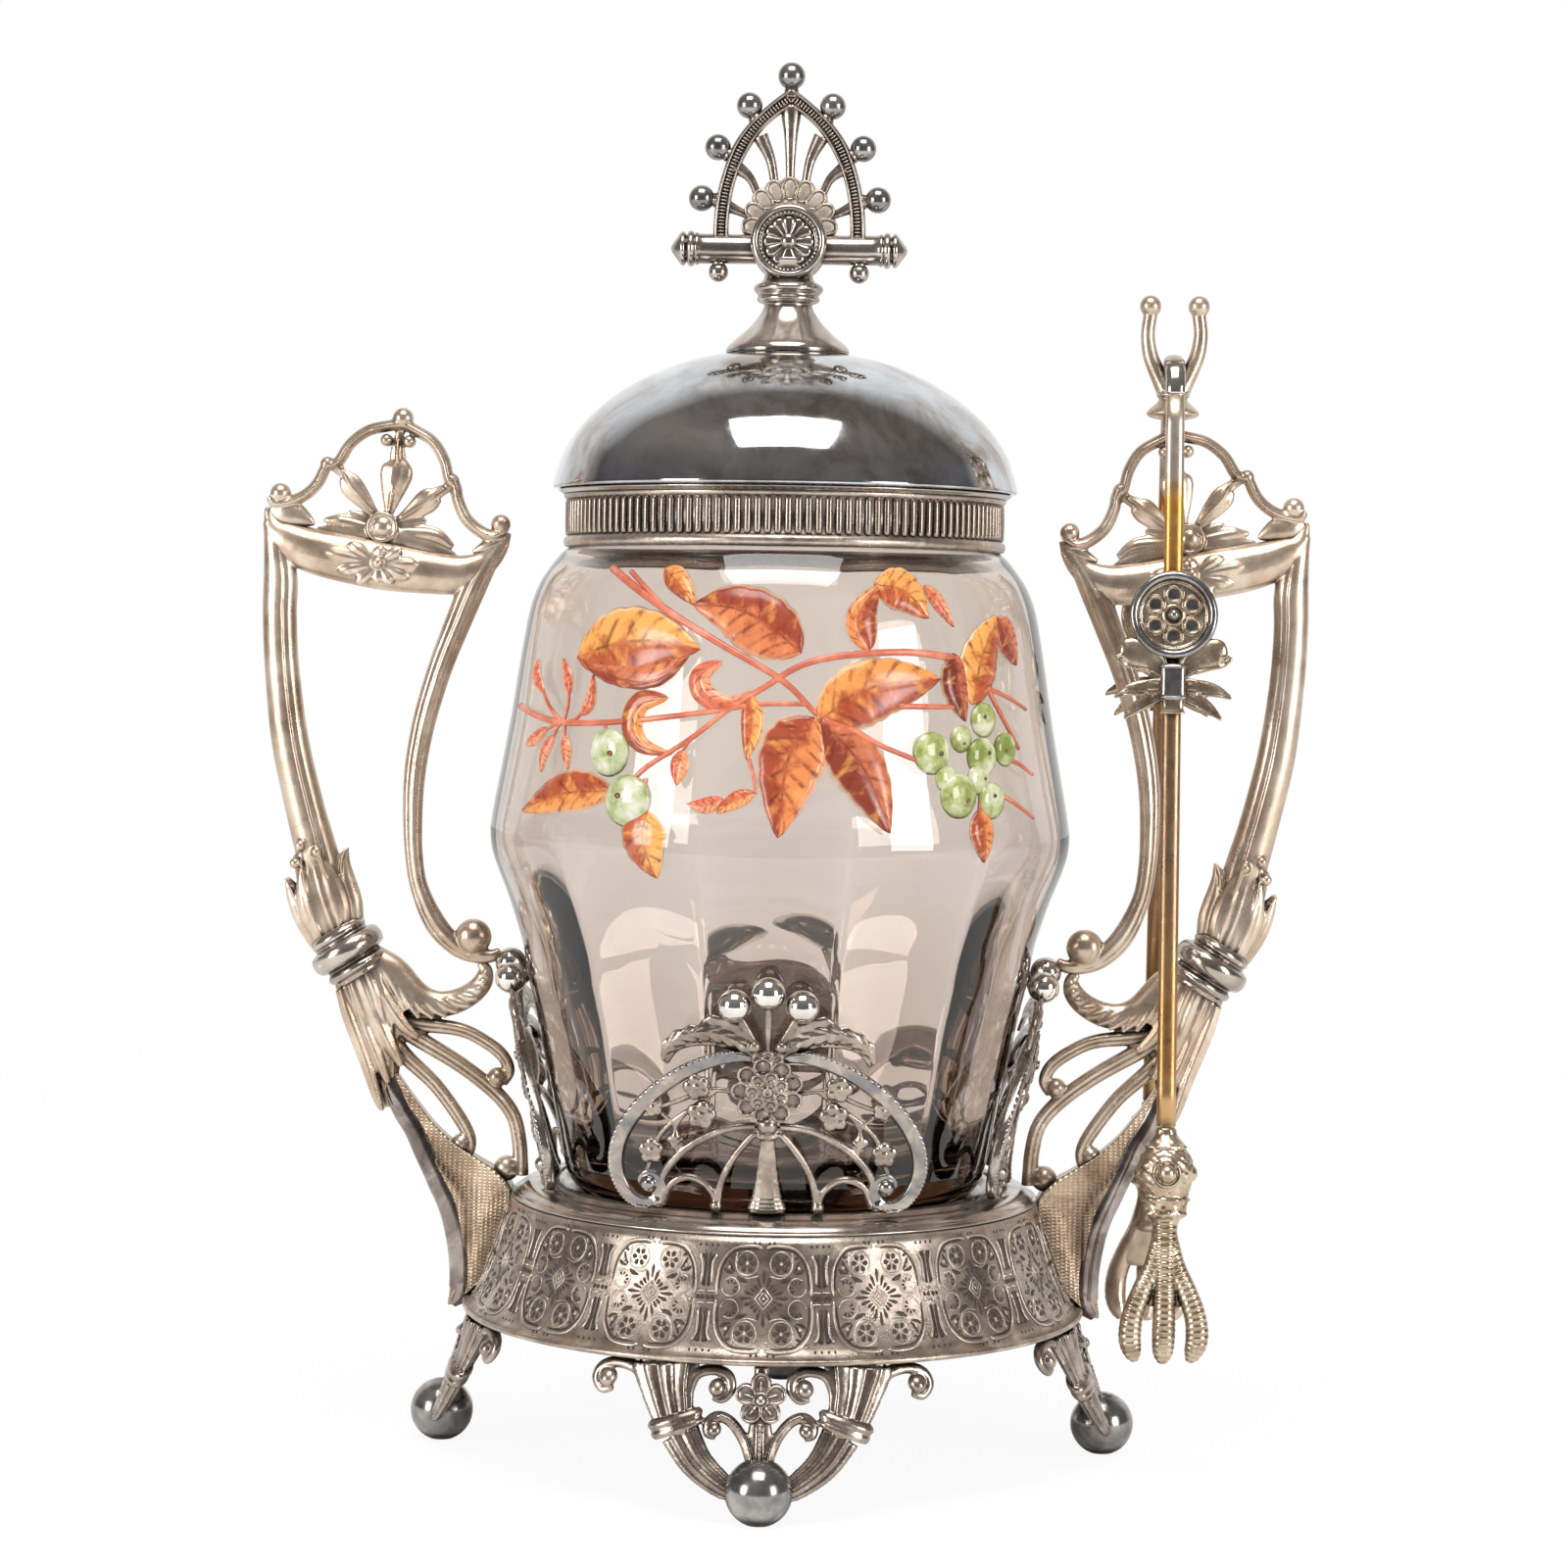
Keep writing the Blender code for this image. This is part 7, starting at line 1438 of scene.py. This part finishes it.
def make_enamel(finish):
    """Stems, two-toned leaves and translucent berries."""
    leaves = []

    def grow(tone, wide, bow, *spine):
        leaves.append((*enamel_leaf(spine, wide, bow), tone))

    # Left group
    grow(0.15, 5.8, 0.0, (-34.4, 143.4), (-27.6, 145.8), (-20.0, 146.6), (-12.5, 145.3))
    grow(0.62, 2.6, -0.5, (-32.9, 142.5), (-26.6, 141.3), (-20.0, 141.1), (-14.5, 144.0))
    grow(0.30, 2.2, 0.0, (-19.1, 159.0), (-16.6, 156.6), (-13.4, 152.6))
    grow(0.55, 5.3, -0.1, (4.6, 144.9), (-0.9, 148.9), (-7.2, 152.0), (-14.0, 152.8))
    grow(0.02, 2.0, 0.1, (-8.8, 143.4), (-12.4, 140.9), (-11.6, 137.7), (-7.6, 136.2), (-3.4, 138.5))
    grow(0.34, 2.2, 0.1, (-17.9, 137.1), (-22.7, 136.1), (-24.2, 132.3), (-22.2, 128.9), (-17.0, 127.5))
    grow(0.10, 2.0, 0.0, (-3.8, 137.9), (-3.5, 132.5), (-4.3, 126.8))
    grow(0.04, 1.7, 0.0, (-15.1, 128.3), (-15.7, 125.3), (-16.1, 122.3))
    grow(0.30, 3.4, 0.1, (-27.2, 121.0), (-36.1, 120.4), (-44.1, 116.5))
    grow(0.12, 4.1, 0.0, (-20.9, 117.8), (-21.5, 113.1), (-19.2, 106.5))
    grow(0.02, 1.4, 0.0, (-8.1, 120.3), (-11.1, 119.1), (-14.1, 119.3))
    grow(0.06, 1.5, 0.0, (-2.8, 121.4), (-6.0, 120.1), (-9.2, 117.8))
    # Middle group
    grow(0.30, 5.3, 0.1, (7.4, 133.6), (16.8, 138.9), (28.1, 140.9))
    grow(0.46, 5.6, -0.1, (7.0, 134.2), (3.2, 126.7), (1.2, 113.9))
    grow(0.74, 4.5, 0.1, (8.3, 133.4), (15.0, 125.2), (20.0, 114.8))
    # Right group
    grow(0.42, 2.7, 0.3, (15.9, 145.5), (14.6, 151.0), (17.4, 156.9))
    grow(0.20, 3.5, 0.0, (16.5, 156.8), (21.6, 155.6), (25.9, 151.1))
    grow(0.02, 1.4, 0.0, (25.1, 156.8), (27.7, 153.7), (30.2, 149.7))
    grow(0.16, 4.6, 0.1, (33.7, 136.4), (35.1, 144.3), (37.8, 151.9))
    grow(0.88, 3.0, 0.0, (30.3, 145.3), (30.8, 139.6), (32.5, 133.6))
    grow(0.66, 3.4, -0.1, (38.0, 151.3), (39.9, 147.5), (41.4, 143.2))
    grow(0.38, 2.7, 0.0, (35.0, 118.6), (35.8, 114.2), (36.1, 109.5))
    # Left buds: long coral drops on thin stems
    for spine in (((-40.8, 137.2), (-42.3, 140.0), (-42.1, 143.0)),
                  ((-35.7, 137.0), (-36.1, 140.2), (-37.0, 143.2)),
                  ((-33.4, 133.6), (-31.7, 136.2), (-31.3, 140.6)),
                  ((-39.8, 131.0), (-42.3, 129.1), (-43.8, 127.8)),
                  ((-38.3, 130.0), (-40.0, 127.0), (-40.6, 123.5)),
                  ((-36.4, 130.0), (-35.9, 127.4), (-35.5, 124.2))):
        grow(0.02, 1.25, 0.0, *spine)
    enamel_piece("enamel_leaves", leaves, finish["leaf"])

    # Stems
    stems = []
    for rows, wide in (
        (((-28.5, 159.0), (-17.7, 151.3), (-8.3, 145.8), (1.4, 140.3), (7.4, 134.6)), 0.72),
        (((-25.1, 158.4), (-21.9, 155.2), (-18.5, 152.0)), 0.5),
        (((30.1, 144.5), (22.5, 145.3), (12.5, 144.7), (4.9, 143.0), (-1.5, 139.1), (-7.2, 135.5),
          (-13.6, 130.4), (-21.3, 125.3)), 0.66),
        (((-45.7, 134.6), (-38.1, 132.3), (-26.6, 132.7), (-11.5, 134.7), (-2.5, 136.2), (5.7, 136.4)), 0.6),
        (((21.0, 136.2), (27.2, 136.1), (32.2, 136.1)), 0.55),
        (((8.3, 133.8), (14.0, 131.7), (18.7, 129.3), (24.4, 127.0)), 0.6),
        (((36.3, 139.1), (39.2, 133.8), (42.0, 128.7)), 0.5),
        (((35.9, 139.4), (40.1, 137.6), (43.3, 135.5)), 0.45),
        (((39.2, 127.0), (41.8, 126.3), (44.6, 124.2)), 0.45),
        (((36.6, 122.1), (41.0, 119.7), (44.8, 116.7)), 0.45),
        (((15.9, 145.5), (14.4, 145.1), (11.7, 144.5)), 0.5),
        (((-21.3, 125.3), (-23.8, 123.1), (-27.6, 121.0)), 0.5),
        (((-21.5, 123.3), (-21.3, 120.3), (-21.1, 117.2)), 0.45),
        (((-13.4, 130.6), (-14.3, 129.5), (-15.1, 128.2)), 0.45),
        (((-3.9, 127.0), (-3.0, 124.0), (-2.6, 121.2)), 0.4),
        (((-37.0, 132.4), (-39.5, 134.9), (-41.0, 137.8)), 0.42),
        (((-36.6, 132.4), (-35.9, 134.9), (-35.7, 137.8)), 0.42),
        (((-35.5, 132.4), (-34.2, 133.0), (-33.2, 134.0)), 0.42),
        (((-37.4, 132.3), (-38.5, 131.7), (-40.2, 130.6)), 0.42),
        (((-37.0, 132.3), (-37.8, 131.2), (-38.5, 129.5)), 0.42),
        (((-36.4, 132.3), (-36.3, 131.2), (-36.4, 129.5)), 0.42),
        (((-28.0, 130.0), (-28.7, 131.5), (-29.1, 132.9)), 0.42),
        (((35.0, 124.2), (35.2, 121.4), (35.0, 118.2)), 0.42),
        (((30.6, 144.7), (32.3, 140.6), (33.5, 137.0)), 0.5), ):
        line = smooth_line([(on_jar(x, z), 0.1, z) for x, z in rows], 6)
        stems.append((wrapped(np.array(line)), wide))
    rods = [sweep([(*p, wide * (1.0 - 0.35 * n / len(line))) for n, p in enumerate(line)], 8, 0.9, 1,
                  (-0.3, 1.0, 0.1)) for line, wide in stems]
    stem = solid("enamel_stems", rods, finish["stem"])
    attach(stem, "jar")

    # Berries: squashed beads, each with a small dark calyx
    for name, spots, coat in (
        ("enamel_berries_green", ((26.8, 128.2, 3.7), (35.6, 133.8, 3.1), (31.8, 130.6, 2.4),
                                  (35.4, 127.4, 3.5), (39.5, 128.7, 3.0), (31.5, 120.9, 3.9),
                                  (37.2, 120.0, 3.2), (29.4, 123.8, 2.3), (34.9, 123.6, 2.7)), "berry"),
        ("enamel_berries_pale", ((-28.0, 127.4, 4.2), (-24.5, 119.4, 4.5)), "pale berry"),
    ):
        beads, dots = [], []
        for number, (x, z, radius) in enumerate(spots):
            reach = float(jar_surface(z))
            angle = math.asin(x / reach)
            turn = Matrix.Rotation(angle, 4, "Z")
            out = Vector((math.sin(angle), -math.cos(angle), 0.0))
            place = Matrix.Translation(out * reach + Vector((0, 0, z))) @ turn
            beads.append(moved(ball((0, 0, 0), radius, (1.0, 0.40, 1.0), 24), place))
            eye = (0.30 * radius * math.cos(2.4 * number), 0.30 * radius * math.sin(2.4 * number))
            dots.append(moved(ball((eye[0], -0.37 * radius, eye[1]), 0.15 * radius, (1, 0.35, 0.8), 10),
                              place))
        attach(solid(name, beads, finish[coat]), "jar")
        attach(solid(name + "_dots", dots, finish["dot"]), "jar")


# Surroundings

def make_floor():
    """A plain pale floor that runs to white in the picture and keeps a soft shadow."""
    material = bpy.data.materials.new("matt white sweep")
    material.use_nodes = True
    tree = material.node_tree
    matt = add(tree, "ShaderNodeBsdfDiffuse", {"Color": hex_colour("F8F7F6")})
    white = add(tree, "ShaderNodeEmission", {"Color": hex_colour("FFFFFF"), "Strength": 1.0})
    path = add(tree, "ShaderNodeLightPath").outputs
    through = add(tree, "ShaderNodeMath", {0: path["Is Camera Ray"], 1: path["Is Transmission Ray"]},
                  operation="MAXIMUM")
    spot = add(tree, "ShaderNodeSeparateXYZ", {0: add(tree, "ShaderNodeTexCoord").outputs["Object"]})
    fade = add(tree, "ShaderNodeMapRange", {
        "Value": spot.outputs["Y"], "From Min": 0.05, "From Max": 0.70, "To Min": 0.92, "To Max": 1.0})
    share = add(tree, "ShaderNodeMath", {0: through.outputs[0], 1: fade.outputs[0]}, operation="MULTIPLY")
    mixed = add(tree, "ShaderNodeMixShader", {0: share.outputs[0], 1: matt.outputs[0], 2: white.outputs[0]})
    fed(tree, tree.nodes["Material Output"], {"Surface": mixed.outputs[0]})
    left, right, front, back = -1600.0, 1600.0, -520.0, 2400.0
    sheet = np.array([(left, front, 0.0), (right, front, 0.0), (right, back, 0.0), (left, back, 0.0)])
    solid("floor", [(sheet, [[0, 1, 2, 3]])], material, tidy=False)


def make_world():
    """White all round for the picture; in metal and glass a dim room in front of a white backdrop."""
    world = bpy.data.worlds.new("white backdrop in a dim room")
    bpy.context.scene.world = world
    world.use_nodes = True
    tree = world.node_tree
    tree.nodes.clear()
    path = add(tree, "ShaderNodeLightPath").outputs
    way = add(tree, "ShaderNodeSeparateXYZ",
              {0: add(tree, "ShaderNodeTexCoord").outputs["Generated"]}).outputs
    # Glass shows the backdrop on both sides of the object, metal only the one behind it
    either = add(tree, "ShaderNodeMath", {0: way["Y"]}, operation="ABSOLUTE")
    through = add(tree, "ShaderNodeMath", {0: either.outputs[0], 1: path["Is Transmission Ray"]},
                  operation="MULTIPLY")
    toward = add(tree, "ShaderNodeMath", {0: way["Y"], 1: through.outputs[0]}, operation="MAXIMUM")
    backdrop = add(tree, "ShaderNodeMapRange",
                   {"Value": toward.outputs[0], "From Min": 0.30, "From Max": 0.58})
    ceiling = add(tree, "ShaderNodeMapRange", {"Value": way["Z"], "From Min": 0.15, "From Max": 0.75})
    dim = add(tree, "ShaderNodeMix", {0: ceiling.outputs[0], 6: hex_colour("56575C"),
                                      7: hex_colour("857D76")}, data_type="RGBA")
    room = add(tree, "ShaderNodeMix", {0: backdrop.outputs[0], 6: dim.outputs[2], 7: hex_colour("FFFEFC")},
               data_type="RGBA")
    bent = add(tree, "ShaderNodeMath", {0: path["Is Glossy Ray"], 1: path["Is Transmission Ray"]},
               operation="MAXIMUM").outputs[0]
    seen = add(tree, "ShaderNodeMix", {0: bent, 6: hex_colour("FFFFFF"), 7: room.outputs[2]},
               data_type="RGBA")
    shown = add(tree, "ShaderNodeBackground", {"Color": seen.outputs[2], "Strength": 1.0})
    soft = add(tree, "ShaderNodeBackground", {"Color": hex_colour("FBFAF8"), "Strength": 0.62})
    direct = add(tree, "ShaderNodeMath", {0: path["Is Camera Ray"], 1: bent}, operation="MAXIMUM")
    mixed = add(tree, "ShaderNodeMixShader", {0: direct.outputs[0], 1: soft.outputs[0], 2: shown.outputs[0]})
    add(tree, "ShaderNodeOutputWorld", {"Surface": mixed.outputs[0]}).is_active_output = True


def softbox(name, place, aim, wide, high, watts):
    """A rectangular soft lamp that faces a point."""
    lamp = bpy.data.lights.new(name, "AREA")
    lamp.shape, lamp.size, lamp.size_y, lamp.energy = "RECTANGLE", wide * MM, high * MM, watts
    item = bpy.data.objects.new(name, lamp)
    item.location = Vector(place) * MM
    item.rotation_euler = (Vector(aim) - Vector(place)).to_track_quat("-Z", "Y").to_euler()
    bpy.context.scene.collection.objects.link(item)


def make_lights():
    """A large softbox overhead and a window-like softbox at each side of the camera."""
    aim = (0.0, 0.0, 120.0)
    softbox("softbox overhead", (0.0, -430.0, 1150.0), aim, 720.0, 600.0, 9.5)
    softbox("softbox left", (-720.0, -600.0, 250.0), aim, 300.0, 420.0, 4.2)
    softbox("softbox right", (760.0, -570.0, 250.0), aim, 300.0, 420.0, 3.9)


def make_camera():
    """The photograph's view: long lens, slightly above the middle, a little roll."""
    distance, height = 667.81, 148.8
    azimuth, yaw, pitch, roll = (math.radians(a) for a in (1.747, -0.051, 2.397, 0.901))
    facing = azimuth + yaw
    ahead = Vector((-math.sin(facing) * math.cos(pitch), math.cos(facing) * math.cos(pitch),
                    -math.sin(pitch)))
    across = ahead.cross(Vector((0, 0, 1))).normalized()
    upwards = across.cross(ahead)
    right = across * math.cos(roll) + upwards * math.sin(roll)
    top = upwards * math.cos(roll) - across * math.sin(roll)
    data = bpy.data.cameras.new("camera")
    data.sensor_width, data.lens = 36.0, 84.56
    item = bpy.data.objects.new("camera", data)
    item.matrix_world = Matrix.Translation(Vector((distance * math.sin(azimuth),
                                                   -distance * math.cos(azimuth), height)) * MM) \
        @ Matrix((right, top, -ahead)).transposed().to_4x4()
    bpy.context.scene.collection.objects.link(item)
    bpy.context.scene.camera = item


def main():
    """Make every piece, the studio and the camera."""
    bpy.context.scene.view_settings.view_transform = "Standard"
    make_camera()
    make_world()
    make_lights()
    make_floor()
    finish = make_materials()
    make_base(finish)
    make_feet(finish)
    make_galleries(finish)
    make_jar(finish)
    make_lid(finish)
    make_handles(finish)
    make_fork(finish)
    make_tongs(finish)
    make_enamel(finish)
    NODES["finial_nut"].material_slots[0].material = finish["spun"]


main()
